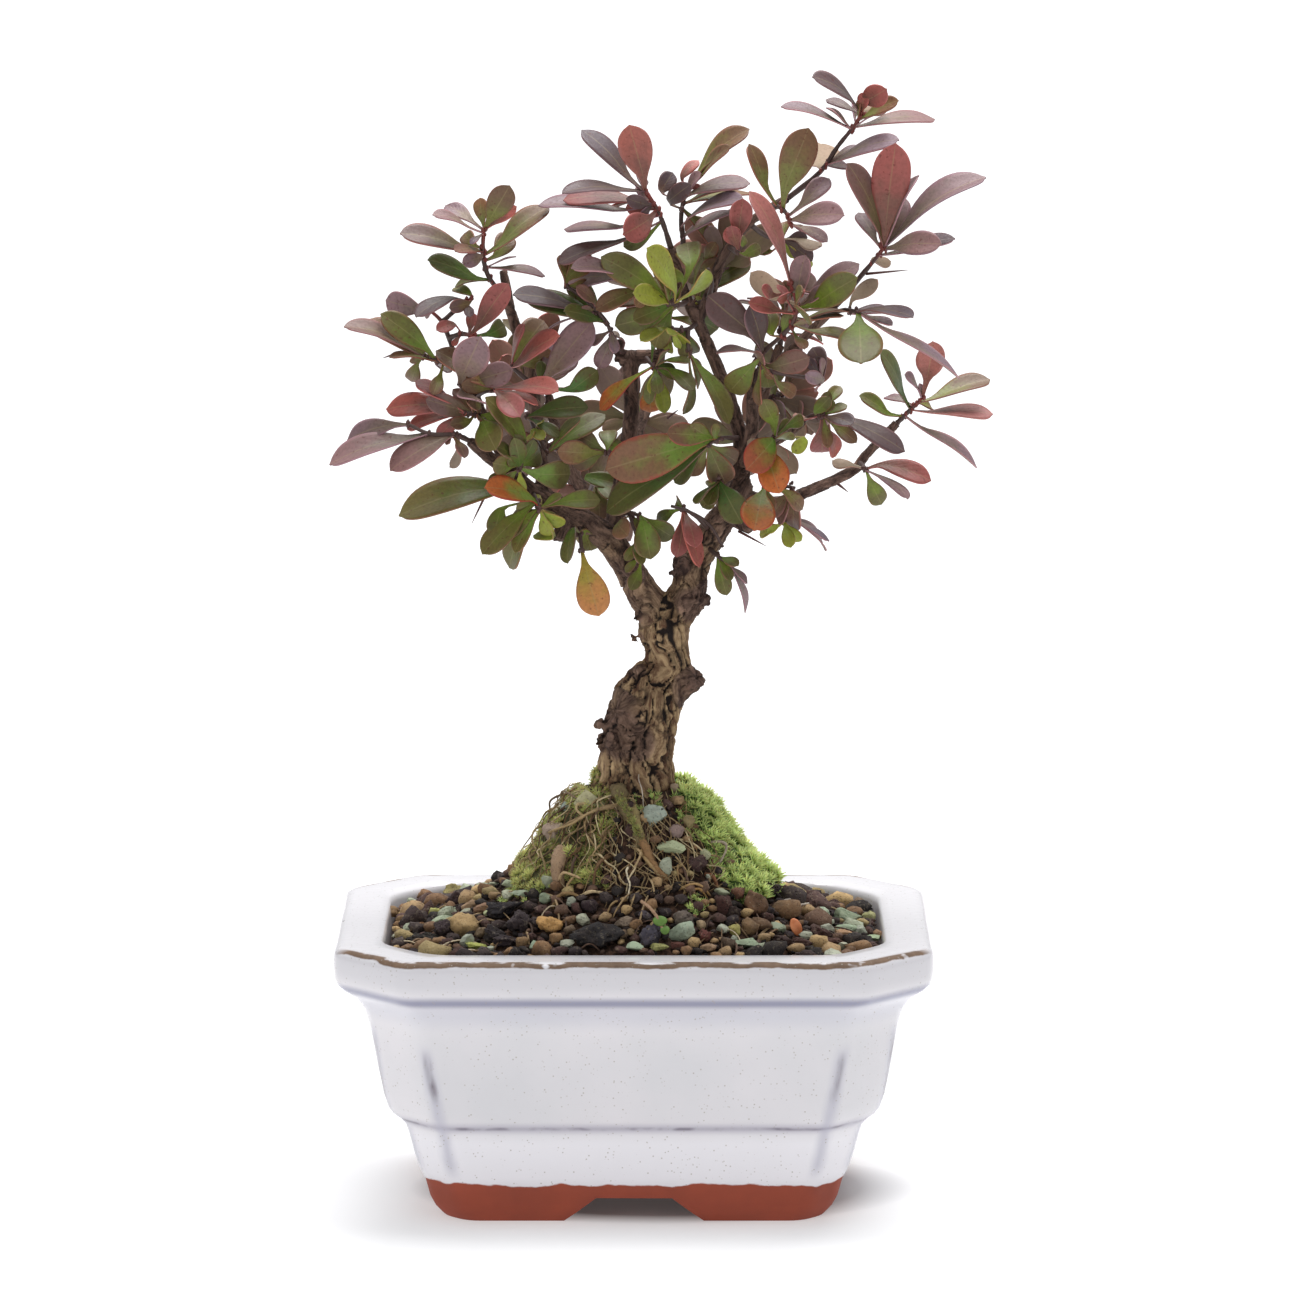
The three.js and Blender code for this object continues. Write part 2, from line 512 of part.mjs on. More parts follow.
// A closed skin over rings of equal count, counter-clockwise seen from ahead, closed on a point at each end
function loft(rings, start, end) {
  const sides = rings[0].length;
  const vertices = [start, ...rings.flat(), end];
  const last = vertices.length - 1;
  const triangles = [];
  for (let i = 0; i < sides; i += 1) {
    const j = (i + 1) % sides;
    triangles.push([0, 1 + j, 1 + i]);
    triangles.push([last, last - sides + i, last - sides + j]);
    for (let k = 0; k < rings.length - 1; k += 1) {
      const a = 1 + k * sides;
      triangles.push([a + i, a + j, a + sides + j], [a + i, a + sides + j, a + sides + i]);
    }
  }
  return solidFrom(vertices, triangles);
}

const middleOf = (ring) => ring.reduce((sum, p) => sum.add(p), point(0, 0, 0)).divideScalar(ring.length);

const largestOf = (solid) => solid.decompose().reduce((a, b) => (a.volume() > b.volume() ? a : b));

// The largest body of a solid with its shortest edges closed up, unless that would pinch it apart
function tidied(solid) {
  const body = largestOf(solid);
  const simpler = body.simplify(SLIVER);
  return simpler.decompose().length === 1 ? simpler : body;
}

// A rectangle with cut, softened corners, counter-clockwise from above
function cutRectangle(halfWidth, halfDepth, cut, z) {
  const round = Math.min(CORNER_ROUND, cut / 2.5);
  const slant = cut * CUT_SLANT;
  const corners = [
    [halfWidth, slant - halfDepth], [halfWidth, halfDepth - slant],
    [halfWidth - cut, halfDepth], [cut - halfWidth, halfDepth],
    [-halfWidth, halfDepth - slant], [-halfWidth, slant - halfDepth],
    [cut - halfWidth, -halfDepth], [halfWidth - cut, -halfDepth],
  ].map(([x, y]) => point(x, y, z));
  return corners.flatMap((corner, i) => [7, 1].map((step) => (
    corners[(i + step) % 8].clone().sub(corner).setLength(round).add(corner))));
}

const outsideRing = ([z, inset]) => cutRectangle(
  POT_WIDTH / 2 - inset, POT_DEPTH / 2 - FOLLOW.depth * inset, CORNER_CUT - FOLLOW.outerCut * inset, z);

const insideRing = ([z, inset], gap = 0) => cutRectangle(
  POT_WIDTH / 2 - RIM_WIDTH - inset - gap, POT_DEPTH / 2 - RIM_WIDTH - FOLLOW.depth * inset - gap,
  INNER_CORNER_CUT - FOLLOW.innerCut * inset, z);

const closed = (rings) => loft(rings, middleOf(rings[0]), middleOf(rings[rings.length - 1]));

// A prism with a trapezoid section, running right through along y, or along x when it is turned.
// It starts a little below the table so that the feet are cut clean.
function archway({ bottom, top }, turned) {
  const below = 2;
  const start = bottom / 2 + (below * (bottom - top)) / (2 * FOOT_HEIGHT);
  const section = new THREE.Shape([
    new THREE.Vector2(-start, -below), new THREE.Vector2(start, -below),
    new THREE.Vector2(top / 2, FOOT_HEIGHT), new THREE.Vector2(-top / 2, FOOT_HEIGHT),
  ]);
  const length = 2 * POT_WIDTH;
  const geometry = new THREE.ExtrudeGeometry(section, { depth: length, bevelEnabled: false })
    .translate(0, 0, -length / 2)
    .rotateX(Math.PI / 2);
  return solidOf(turned ? geometry.rotateZ(Math.PI / 2) : geometry);
}

function pot() {
  const walls = closed(OUTSIDE.map(outsideRing)).subtract(closed(INSIDE.map((level) => insideRing(level))));
  const [, footInset] = OUTSIDE[0];
  const halfWidth = POT_WIDTH / 2 - footInset - FOOT_WIDTH;
  const halfDepth = POT_DEPTH / 2 - FOLLOW.depth * footInset - FOOT_WIDTH;
  const hollow = [-1, FOOT_HEIGHT].map((z) => cutRectangle(halfWidth, halfDepth, FOOT_CUT, z));
  let shell = walls.subtract(closed(hollow)).subtract(archway(ARCH_FRONT, false))
    .subtract(archway(ARCH_SIDE, true));
  for (const side of [-1, 1]) {
    const hole = new THREE.CylinderGeometry(DRAIN.diameter / 2, DRAIN.diameter / 2, 2 * FLOOR_TOP, 16)
      .rotateX(Math.PI / 2)
      .translate(side * DRAIN.spacing / 2, 0, FLOOR_TOP / 2);
    shell = shell.subtract(solidOf(hole));
  }
  return shell;
}

const boxAt = (width, depth, height, x, y, z) => solidOf(
  new THREE.BoxGeometry(width, depth, height).translate(x, y, z));

// The square net that keeps the soil off a drain hole
function drainScreen(x) {
  const middle = FLOOR_TOP + FIT + SCREEN.thickness / 2;
  const pitch = (DRAIN.diameter + SCREEN.bar) / SCREEN.holes;
  const open = pitch - SCREEN.bar;
  const holes = [];
  for (let i = 0; i < SCREEN.holes ** 2; i += 1) {
    const column = (i % SCREEN.holes) - (SCREEN.holes - 1) / 2;
    const row = Math.floor(i / SCREEN.holes) - (SCREEN.holes - 1) / 2;
    holes.push(boxAt(open, open, 3 * SCREEN.thickness, x + pitch * column, pitch * row, middle));
  }
  return boxAt(SCREEN.side, SCREEN.side, SCREEN.thickness, x, 0, middle)
    .subtract(wasm.Manifold.union(holes));
}

function screenRoom(x) {
  const side = SCREEN.side + 2 * FIT;
  return boxAt(side, side, 2 * (SCREEN.thickness + 2 * FIT), x, 0, FLOOR_TOP);
}

// Height of the soil: nearly level at the wall, a low swell, and a steep mound round the trunk
function groundHeight(x, y) {
  const r = Math.hypot(x, y * MOUND.depthScale);
  return SOIL_LEVEL + SWELL.height * Math.exp(-((r / SWELL.radius) ** 4))
    + MOUND.height / (1 + (r / MOUND.radius) ** 4);
}

// True where a place on the soil, a little widened, belongs to a moss patch or to the mound's top
function underMoss(x, y, margin) {
  const r = Math.hypot(x, y * MOUND.depthScale);
  if (r < BARE_MOUND + margin) return true;
  const degrees = THREE.MathUtils.radToDeg(Math.atan2(y * MOUND.depthScale, x));
  return Object.values(MOSS_PATCHES).some(({ from, to, outer }) => {
    const slack = THREE.MathUtils.radToDeg(margin / r);
    const turn = THREE.MathUtils.euclideanModulo(degrees - from + slack, 360);
    return turn < to - from + 2 * slack && r < outer + margin;
  });
}

// The soil's wall and floor, and over them its surface, roughened wherever no moss lies on it.
// Lift raises the surface, and spread widens the whole.
function soilBody(lift = 0, spread = 0) {
  const levels = INSIDE.filter(([z]) => z < SOIL_LEVEL);
  const walls = levels.map(([z, inset], i) => insideRing([i ? z : z + FIT, inset], FIT - spread));
  const brim = insideRing([SOIL_LEVEL, 0.1], FIT - spread);
  const edge = new THREE.CurvePath();
  brim.forEach((p, i) => edge.add(new THREE.LineCurve3(p, brim[(i + 1) % brim.length])));
  const draw = draws(3);
  const rim = Array.from({ length: SOIL_TOP.round }, (_, i) => edge.getPointAt(i / SOIL_TOP.round));
  const surface = [1, ...SOIL_TOP.rings].map((scale, k) => rim.map((p) => {
    const rough = THREE.MathUtils.lerp(...SOIL_TOP.rough, draw());
    const x = p.x * scale;
    const y = p.y * scale;
    const covered = k === 0 || underMoss(x, y, MOSS_LIFT.most);
    return point(x, y, groundHeight(x, y) + lift + (covered ? 0 : rough));
  }));
  const foot = rim.map((p) => point(p.x * SOIL_TOP.foot, p.y * SOIL_TOP.foot, SOIL_LEVEL - SOIL_TOP.sunk));
  const top = loft([foot, ...surface], middleOf(foot), point(0, 0, groundHeight(0, 0) + lift));
  return closed(walls).add(top);
}

const underStone = (x, y) => Object.values(STONES).some(
  ([stoneX, stoneY, size]) => Math.hypot(x - stoneX, y - stoneY) < size);

// Coarse grains, one to a cell of a shaken grid, each a lopsided eight-faced lump sunk in the soil
function grains() {
  const draw = draws(5);
  const shaken = () => THREE.MathUtils.lerp(GRAIN.margin, 1 - GRAIN.margin, draw()) * GRAIN.spacing;
  const lumps = [];
  const reach = { x: POT_WIDTH / 2 - RIM_WIDTH, y: POT_DEPTH / 2 - RIM_WIDTH };
  for (let gx = -reach.x; gx < reach.x; gx += GRAIN.spacing) {
    for (let gy = -reach.y; gy < reach.y; gy += GRAIN.spacing) {
      const x = gx + shaken();
      const y = gy + shaken();
      const size = THREE.MathUtils.lerp(GRAIN.least, GRAIN.most, draw());
      const corner = Math.abs(x) / reach.x + Math.abs(y) / reach.y;
      const inside = Math.abs(x) < reach.x - size - 1 && Math.abs(y) < reach.y - size - 1
        && corner < GRAIN.cornerReach;
      const free = inside && !underMoss(x, y, size + 0.8) && !underStone(x, y);
      const lump = new THREE.OctahedronGeometry(size)
        .scale(1, THREE.MathUtils.lerp(...GRAIN.narrow, draw()), THREE.MathUtils.lerp(...GRAIN.flat, draw()))
        .rotateX(GRAIN.tilt * draw())
        .rotateZ(Math.PI * draw())
        .translate(x, y, groundHeight(x, y) + GRAIN.raised * size);
      if (free) lumps.push(solidOf(lump));
    }
  }
  return lumps;
}

// A rounded, lopsided stone half sunk in the mound, or its room when it is grown
function stone([x, y, sx, sy, sz], grow = 0) {
  const lump = new THREE.IcosahedronGeometry(1, 1);
  const positions = lump.attributes.position;
  for (let i = 0; i < positions.count; i += 1) {
    const p = point(0, 0, 0).fromBufferAttribute(positions, i);
    p.multiplyScalar(1 + 0.1 * Math.sin(5 * p.x + 3 * p.y + sx) + 0.07 * Math.cos(6 * p.z + sy));
    positions.setXYZ(i, p.x, p.y, p.z);
  }
  lump.scale(sx / 2 + grow, sy / 2 + grow, sz / 2 + grow);
  return solidOf(lump.translate(x, y, groundHeight(x, y) + STONE_RAISED * sz));
}

// A cushion of moss over a sector of the mound, its top in small swellings
function mossPatch({ from, to, inner, outer }, seed) {
  const draw = draws(seed);
  const { degrees, across, root } = MOSS_GRID;
  const along = Math.round((to - from) / degrees);
  const strips = [];
  for (let a = 0; a <= along; a += 1) {
    const angle = THREE.MathUtils.degToRad(from + ((to - from) * a) / along);
    const wander = MOSS_WAVES.reduce((sum, { height, turns }, k) => (
      sum + height * Math.sin(turns * angle + (k ? 0 : seed))), 0);
    const top = [];
    const under = [];
    for (let i = 0; i <= across; i += 1) {
      const r = inner + ((outer + wander - inner) * i) / across;
      const x = r * Math.cos(angle);
      const y = (r * Math.sin(angle)) / MOUND.depthScale;
      const edge = i === 0 || i === across || a === 0 || a === along;
      const lift = edge ? MOSS_LIFT.edge : THREE.MathUtils.lerp(MOSS_LIFT.least, MOSS_LIFT.most, draw());
      top.push(point(x, y, groundHeight(x, y) + lift));
      under.push(point(x, y, groundHeight(x, y) - root));
    }
    strips.push([...top, ...under.reverse()]);
  }
  return closed(strips);
}

// A branch: rings along a smooth curve through [across, down, depth, radius] places
function branch(route, { sides = 7, steps = 2, grow = 0, flutes = 0 } = {}) {
  const curve = new THREE.CatmullRomCurve3(route.map(([a, d, y]) => inFrontView(a, d, y)));
  const spans = (route.length - 1) * steps;
  const rings = [];
  let side = point(0, 1, 0);
  for (let i = 0; i <= spans; i += 1) {
    const t = i / spans;
    const place = Math.min(Math.floor(i / steps), route.length - 2);
    const radius = grow + THREE.MathUtils.lerp(route[place][3], route[place + 1][3], i / steps - place);
    const centre = curve.getPoint(t);
    const ahead = curve.getTangent(t);
    if (i === 0) centre.addScaledVector(ahead, -grow);
    if (i === spans) centre.addScaledVector(ahead, grow);
    side = side.clone().addScaledVector(ahead, -side.dot(ahead)).normalize();
    const other = ahead.clone().cross(side);
    const fade = flutes * Math.min(1, i / (2 * steps));
    const ring = [];
    for (let s = 0; s < sides; s += 1) {
      const angle = (2 * Math.PI * s) / sides;
      const swell = 1 + fade * (Math.cos(3 * angle + 0.34 * i) + 0.6 * Math.cos(5 * angle - 0.5 * i));
      ring.push(centre.clone()
        .addScaledVector(side, radius * swell * Math.cos(angle))
        .addScaledVector(other, radius * swell * Math.sin(angle)));
    }
    rings.push(ring);
  }
  const start = middleOf(rings[0]);
  const end = middleOf(rings[spans]).addScaledVector(curve.getTangent(1), 0.35 * route.at(-1)[3]);
  return loft(rings, start, end);
}

// Trunk, limbs and branches in one piece; grown, it is the room that everything else keeps clear of
function wood(grow = 0) {
  const pieces = [branch(TRUNK, { sides: 13, grow, flutes: 0.055 })];
  for (const route of Object.values(BRANCHES)) {
    pieces.push(branch(route, { sides: route[0][3] > 4 ? 8 : 5, steps: route[0][3] > 4 ? 2 : 1, grow }));
  }
  for (const route of STUBS) pieces.push(branch(route, { sides: 6, steps: 1, grow }));
  return wasm.Manifold.union(pieces);
}

// How far a point is from the wood's surface
function woodDistance(p) {
  let nearest = Infinity;
  for (const route of [TRUNK, ...Object.values(BRANCHES), ...STUBS]) {
    for (let i = 0; i < route.length - 1; i += 1) {
      const line = new THREE.Line3(inFrontView(...route[i]), inFrontView(...route[i + 1]));
      const t = line.closestPointToPointParameter(p, true);
      const radius = THREE.MathUtils.lerp(route[i][3], route[i + 1][3], t);
      nearest = Math.min(nearest, line.at(t, point(0, 0, 0)).distanceTo(p) - radius);
    }
  }
  return nearest;
}

// A green shoot along straight spans
function shoot(points) {
  const rings = points.map((p, i) => {
    const ahead = points[Math.min(i + 1, points.length - 1)].clone()
      .sub(points[Math.max(i - 1, 0)]).normalize();
    const side = point(0, 1, 0.2).addScaledVector(ahead, -ahead.dot(point(0, 1, 0.2))).normalize();
    const other = ahead.clone().cross(side);
    const radius = THREE.MathUtils.lerp(SHOOT.radius, SHOOT.tip, i / (points.length - 1));
    return Array.from({ length: SHOOT.sides }, (_, s) => {
      const angle = (2 * Math.PI * s) / SHOOT.sides;
      return p.clone().addScaledVector(side, radius * Math.cos(angle))
        .addScaledVector(other, radius * Math.sin(angle));
    });
  });
  const last = points.at(-1).clone().sub(points.at(-2)).setLength(SHOOT.tip).add(points.at(-1));
  return loft(rings, points[0], last);
}

// A leaf: a stalk from its root in the shoot, then a blade that is widest past its middle, folded along
// its rib and arched. The rib of a narrow blade shows on its under face alone. Upper is the way that the
// upper face looks; fat widens it all round for testing.
function leaf(root, base, tip, width, upper, fat = 0) {
  const run = tip.clone().sub(base);
  const length = run.length();
  const ahead = run.clone().normalize();
  const up = upper.clone().addScaledVector(ahead, -upper.dot(ahead)).normalize();
  const across = up.clone().cross(ahead);
  const station = (t, half, rise) => {
    const rib = base.clone().addScaledVector(run, t).addScaledVector(up, rise);
    const edge = BLADE.fold * half;
    const ring = [
      rib.clone().addScaledVector(across, half + fat).addScaledVector(up, edge),
      rib.clone().addScaledVector(up, BLADE_THICKNESS / 2 + fat),
      rib.clone().addScaledVector(across, -half - fat).addScaledVector(up, edge),
      rib.clone().addScaledVector(up, -BLADE_THICKNESS / 2 - fat),
    ];
    if (width < BROAD_LEAF) ring.splice(1, 1);
    return ring;
  };
  const arch = BLADE.arch * length;
  const rings = [
    station(BLADE.stalk, STALK_HALF, 0),
    station(BLADE.widest, width / 2, arch),
  ];
  if (length > SMALL_LEAF) {
    rings.push(station(BLADE.shoulder, (BLADE.shoulderWidth * width) / 2, 0.6 * arch));
  }
  return loft(rings, root, tip.clone().addScaledVector(ahead, fat));
}

// Where a hand-read leaf may lie: its place in the front view stays, its depth and turn are tried in order
function* leafPlaces([baseAcross, baseDown, tipAcross, tipDown, seen, tint], depth, order) {
  const base = inFrontView(baseAcross, baseDown, depth);
  const flat = Math.hypot(tipAcross - baseAcross, tipDown - baseDown) / UNITS_PER_MM;
  const fullest = Math.max(LEAST_LEAF, (2 * seen) / UNITS_PER_MM);
  const least = Math.sqrt(Math.max(0, fullest ** 2 - flat ** 2));
  const longest = Math.sqrt(Math.max(0, LONGEST_LEAF ** 2 - flat ** 2));
  const most = Math.max(LEAST_SLOPE * flat, Math.min(flat, longest));
  const towards = order % 2 ? 1 : -1;
  for (const turn of TURNS) {
    const angle = THREE.MathUtils.degToRad(turn);
    const [da, dd] = [tipAcross - baseAcross, tipDown - baseDown];
    const across = baseAcross + da * Math.cos(angle) - dd * Math.sin(angle);
    const down = baseDown + da * Math.sin(angle) + dd * Math.cos(angle);
    for (const steep of STEEPNESS[order % STEEPNESS.length]) {
      const rise = towards * Math.sign(steep) * Math.max(least, Math.abs(steep) * most);
      const tip = inFrontView(across, down, depth + rise);
      const run = tip.clone().sub(base);
      const length = run.length();
      const ahead = run.clone().normalize();
      const width = Math.max(seen / UNITS_PER_MM, WIDTH_OF_LENGTH * length);
      const roll = Math.acos(Math.min(1, seen / UNITS_PER_MM / width));
      const facing = point(0, -1, 0).addScaledVector(ahead, ahead.y).normalize();
      const aside = ahead.clone().cross(facing);
      const upper = facing.multiplyScalar(Math.cos(roll))
        .addScaledVector(aside, Math.sin(roll) * (aside.z < 0 ? -1 : 1));
      if (tint === 'pale') upper.negate();
      yield { base, tip, width, upper };
    }
  }
}

// Where a leaf of a far-side spray may lie: round the shoot by the golden angle, then turned on in steps
function* backLeafPlaces(seat, way, draw, order) {
  const [least, most] = BACK.spread;
  const lean = THREE.MathUtils.degToRad(THREE.MathUtils.lerp(least, most, draw()));
  const length = THREE.MathUtils.lerp(BACK.least, BACK.most, draw());
  const along = BACK.shoot * (1 - 0.1 * (order % 7));
  const side = point(0, 0, 1).addScaledVector(way, -way.z).normalize();
  const other = way.clone().cross(side);
  const base = seat.clone().addScaledVector(way, along);
  for (let k = 0; k < BACK.tries; k += 1) {
    const angle = THREE.MathUtils.degToRad(BACK.turn * order + BACK.step * k);
    const out = side.clone().multiplyScalar(Math.cos(angle)).addScaledVector(other, Math.sin(angle));
    const ahead = way.clone().multiplyScalar(Math.cos(lean)).addScaledVector(out, Math.sin(lean));
    const upper = way.clone().multiplyScalar(Math.sin(lean)).addScaledVector(out, -Math.cos(lean));
    const tip = base.clone().addScaledVector(ahead, length);
    yield { base, tip, width: BACK_WIDTH_OF_LENGTH * length, upper };
  }
}

const apart = (a, b) => a.max[0] < b.min[0] || b.max[0] < a.min[0] || a.max[1] < b.min[1]
  || b.max[1] < a.min[1] || a.max[2] < b.min[2] || b.max[2] < a.min[2];

// What a blade must stay clear of: the shoots of every other spray, and the leaves already placed
const settled = new Map();
const settle = (name, solid) => settled.set(name, { solid, box: solid.boundingBox() });
const blocked = (solid, name) => {
  const box = solid.boundingBox();
  return [...settled].some(([owner, other]) => owner !== name && !apart(box, other.box)
    && solid.intersect(other.solid).volume() > TOUCH.others);
};

// Samples along the shoots that lie outside the wood, each with its depth
function shootSamples(shoots) {
  const samples = [];
  for (const points of shoots) {
    for (let i = 0; i < points.length - 1; i += 1) {
      for (let t = 0; t <= 1; t += 0.1) samples.push(points[i].clone().lerp(points[i + 1], t));
    }
  }
  const clear = samples.filter((p) => woodDistance(p) > SHOOT.radius + FIT);
  return clear.length ? clear : [shoots[0].at(-1)];
}

const shootsOf = (shoots, room) => largestOf(wasm.Manifold.union(shoots.map(shoot)).subtract(room));

// Shoots and the leaves that find a free place, fused in one piece
function spray(name, { shoots, leaves }, room) {
  const samples = shootSamples(shoots);
  const pieces = shoots.map(shoot);
  let own = null;
  leaves.forEach(({ places, near }, order) => {
    const seat = near ? samples.reduce((a, b) => (a.distanceTo(near) < b.distanceTo(near) ? a : b)) : null;
    let spare = null;
    for (const { base, tip, width, upper } of places(seat, order)) {
      const root = (seat ?? base).clone().addScaledVector(tip.clone().sub(base).normalize(), -ROOTED);
      const fat = leaf(root, base, tip, width, upper, FIT);
      if (fat.intersect(room).volume() > TOUCH.wood || blocked(fat, name)) continue;
      const blade = leaf(root, base, tip, width, upper);
      const crossing = own ? blade.intersect(own).volume() : 0;
      if (crossing < TOUCH.own) {
        spare = { blade, crossing: 0 };
        break;
      }
      if (!spare || crossing < spare.crossing) spare = { blade, crossing };
    }
    if (!spare) return;
    pieces.push(spare.blade);
    own = own ? own.add(spare.blade) : spare.blade;
  });
  return tidied(wasm.Manifold.union(pieces).subtract(room));
}

function readSpray([routes, rows]) {
  const shoots = routes.map((route) => route.map(([a, d, y]) => inFrontView(a, d, y)));
  const leaves = rows.map((row) => ({
    near: inFrontView(row[0], row[1], shoots[0].at(-1).y),
    places: (seat, order) => leafPlaces(row, seat.y, order),
  }));
  return { shoots, leaves, tint: TINTS[commonest(rows.map((row) => row[5]))] };
}

function backSpray([seat, way, count, seed]) {
  const start = inFrontView(...seat);
  const ahead = point(...way).normalize();
  const draw = draws(seed);
  const places = (_, order) => [...backLeafPlaces(start, ahead, draw, order)];
  const leaves = Array.from({ length: count }, () => ({ places }));
  return { shoots: [[start, start.clone().addScaledVector(ahead, BACK.shoot)]], leaves, tint: TINTS.plum };
}

const commonest = (list) => [...list].sort(
  (a, b) => list.filter((v) => v === b).length - list.filter((v) => v === a).length)[0];

const plant = new THREE.Group();

function addNode(name, solid, colour, roughness) {
  const { vertProperties, triVerts } = solid.getMesh();
  const geometry = new THREE.BufferGeometry();
  geometry.setAttribute('position', new THREE.BufferAttribute(new Float32Array(vertProperties), 3));
  geometry.setIndex(new THREE.BufferAttribute(new Uint32Array(triVerts), 1));
  const material = new THREE.MeshStandardMaterial({ color: colour, roughness, metalness: 0 });
  const mesh = new THREE.Mesh(geometry, material);
  mesh.name = name;
  plant.add(mesh);
}

const room = wood(FIT);
const stonesGrown = wasm.Manifold.union(Object.values(STONES).map((row) => stone(row, FIT)));

addNode('pot', pot(), 0xe9e9ec, 0.3);
const screenPlaces = { drain_screen_left: -DRAIN.spacing / 2, drain_screen_right: DRAIN.spacing / 2 };
for (const [name, x] of Object.entries(screenPlaces)) addNode(name, drainScreen(x), 0x4c4c4c, 0.6);

const rooms = [room, stonesGrown, ...Object.values(screenPlaces).map(screenRoom)];
const soil = wasm.Manifold.union([soilBody(), ...grains()]);
addNode('soil', tidied(soil.subtract(wasm.Manifold.union(rooms))), 0x5c4638, 0.95);

for (const [name, row] of Object.entries(STONES)) addNode(name, stone(row), row[5], 0.85);

Object.entries(MOSS_PATCHES).forEach(([name, patch], i) => {
  const taken = wasm.Manifold.union([soilBody(MOSS_GAP, 1), room, stonesGrown]);
  addNode(name, tidied(mossPatch(patch, i + 2).subtract(taken)), patch.colour, 1);
});

addNode('wood', tidied(wood()), 0x7a6450, 0.9);

const sprays = new Map([
  ...Object.entries(SPRAYS).map(([name, row]) => [name, readSpray(row)]),
  ...Object.entries(BACK_SPRAYS).map(([name, row]) => [name, backSpray(row)]),
]);
for (const [name, { shoots }] of sprays) settle(name, shootsOf(shoots, room));
for (const [name, plan] of sprays) {
  const solid = spray(name, plan, room);
  settle(name, solid);
  addNode(name, solid, plan.tint, 0.45);
}

// The origin goes under the middle of the whole
const box = new THREE.Box3().setFromObject(plant);
plant.position.set(-(box.min.x + box.max.x) / 2, -(box.min.y + box.max.y) / 2, -box.min.z);

export default plant;
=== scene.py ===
# %% [markdown]
# # A Japanese barberry bonsai in a glazed pot
# The real object is a small living tree. Its fluted, tan trunk rises in an S from a mound of moss, roots and
# grit, and carries an open crown of purple and green leaves. It stands in a white glazed pot with cut corners
# and a bare clay foot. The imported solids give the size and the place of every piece. This lesson gives each
# piece its fine surface and its finish, and never moves or resizes what the solids fix.

# %% Load the frame
import json
import math
import random

import bmesh
import bpy
from mathutils import Matrix, Quaternion, Vector, kdtree, noise


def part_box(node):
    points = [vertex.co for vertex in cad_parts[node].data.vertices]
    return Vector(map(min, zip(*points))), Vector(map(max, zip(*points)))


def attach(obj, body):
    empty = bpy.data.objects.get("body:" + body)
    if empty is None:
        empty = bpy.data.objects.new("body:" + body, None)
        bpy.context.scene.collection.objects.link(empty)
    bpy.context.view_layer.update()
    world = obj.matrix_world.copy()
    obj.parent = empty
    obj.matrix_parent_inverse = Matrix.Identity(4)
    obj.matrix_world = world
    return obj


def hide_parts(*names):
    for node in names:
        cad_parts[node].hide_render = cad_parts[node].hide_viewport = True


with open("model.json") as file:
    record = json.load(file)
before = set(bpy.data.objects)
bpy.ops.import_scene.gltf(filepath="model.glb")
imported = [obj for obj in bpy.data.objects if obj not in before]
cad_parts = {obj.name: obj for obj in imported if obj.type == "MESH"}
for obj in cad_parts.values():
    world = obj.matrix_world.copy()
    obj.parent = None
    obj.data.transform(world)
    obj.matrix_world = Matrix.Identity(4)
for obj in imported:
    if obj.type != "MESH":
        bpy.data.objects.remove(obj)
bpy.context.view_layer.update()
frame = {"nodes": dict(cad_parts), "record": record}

# %% [markdown]
# Blender counts in metres, but a maker counts in millimetres. So every piece here is shaped in millimetres,
# with the pot's middle at x = 0, and one transform brings a finished piece into the frame. The pot stands a
# little to the left of the frame's origin, and the frame itself says how far.

# %% Millimetres round the pot's middle
MM = 0.001
pot_low, pot_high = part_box("pot")
POT_X = (pot_low[0] + pot_high[0]) / 2 / MM
POT_WIDTH = (pot_high[0] - pot_low[0]) / MM
POT_DEPTH = (pot_high[1] - pot_low[1]) / MM
POT_HEIGHT = pot_high[2] / MM
INTO_FRAME = Matrix.Scale(MM, 4) @ Matrix.Translation((POT_X, 0, 0))
print(f"pot {POT_WIDTH:.1f} by {POT_DEPTH:.1f} by {POT_HEIGHT:.1f} mm, its middle at x = {POT_X:.2f} mm")

# %% Small helpers for pieces and meshes
SLOTS = {row["node"]: row["material_slot"] for row in frame["record"]["subparts"]}


def lerp(low, high, share):
    return low + (high - low) * share


def smoothstep(low, high, value):
    share = min(1, max(0, (value - low) / (high - low)))
    return share * share * (3 - 2 * share)


def new_piece(name, bm, materials, stands_for=(), slot=None, smooth=True):
    """A finished object from a mesh in millimetres: into the frame, dressed, and riding on the body."""
    bmesh.ops.transform(bm, matrix=INTO_FRAME, verts=bm.verts)
    mesh = bpy.data.meshes.new(name)
    bm.to_mesh(mesh)
    bm.free()
    for polygon in mesh.polygons:
        polygon.use_smooth = smooth
    piece = bpy.data.objects.new(name, mesh)
    bpy.context.scene.collection.objects.link(piece)
    for material in materials:
        mesh.materials.append(material)
    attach(piece, "root")
    if stands_for:
        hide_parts(*stands_for)
    slot or SLOTS[stands_for[0]]
    return piece


def add_copy(bm, pattern):
    """Adds a copy of a pattern mesh, and gives back its vertices and faces in the pattern's order."""
    vertex_count, face_count = len(bm.verts), len(bm.faces)
    bm.from_mesh(pattern)
    bm.verts.ensure_lookup_table()
    bm.faces.ensure_lookup_table()
    return bm.verts[vertex_count:], bm.faces[face_count:]


def pattern_from(bm, name):
    """Keeps a small bmesh as a pattern that is copied many times."""
    mesh = bpy.data.meshes.new(name)
    bm.to_mesh(mesh)
    bm.free()
    return mesh


print("the record's slots:", sorted(set(SLOTS.values())))

# %% [markdown]
# Rings make most of a plant and a pot. A ring of vertices is extruded, and the new ring is moved to its place.
# A tube is the same thing along a path, with the ring kept square to it. The ring's turn is carried from one
# place to the next, so that a long twig doesn't twist.


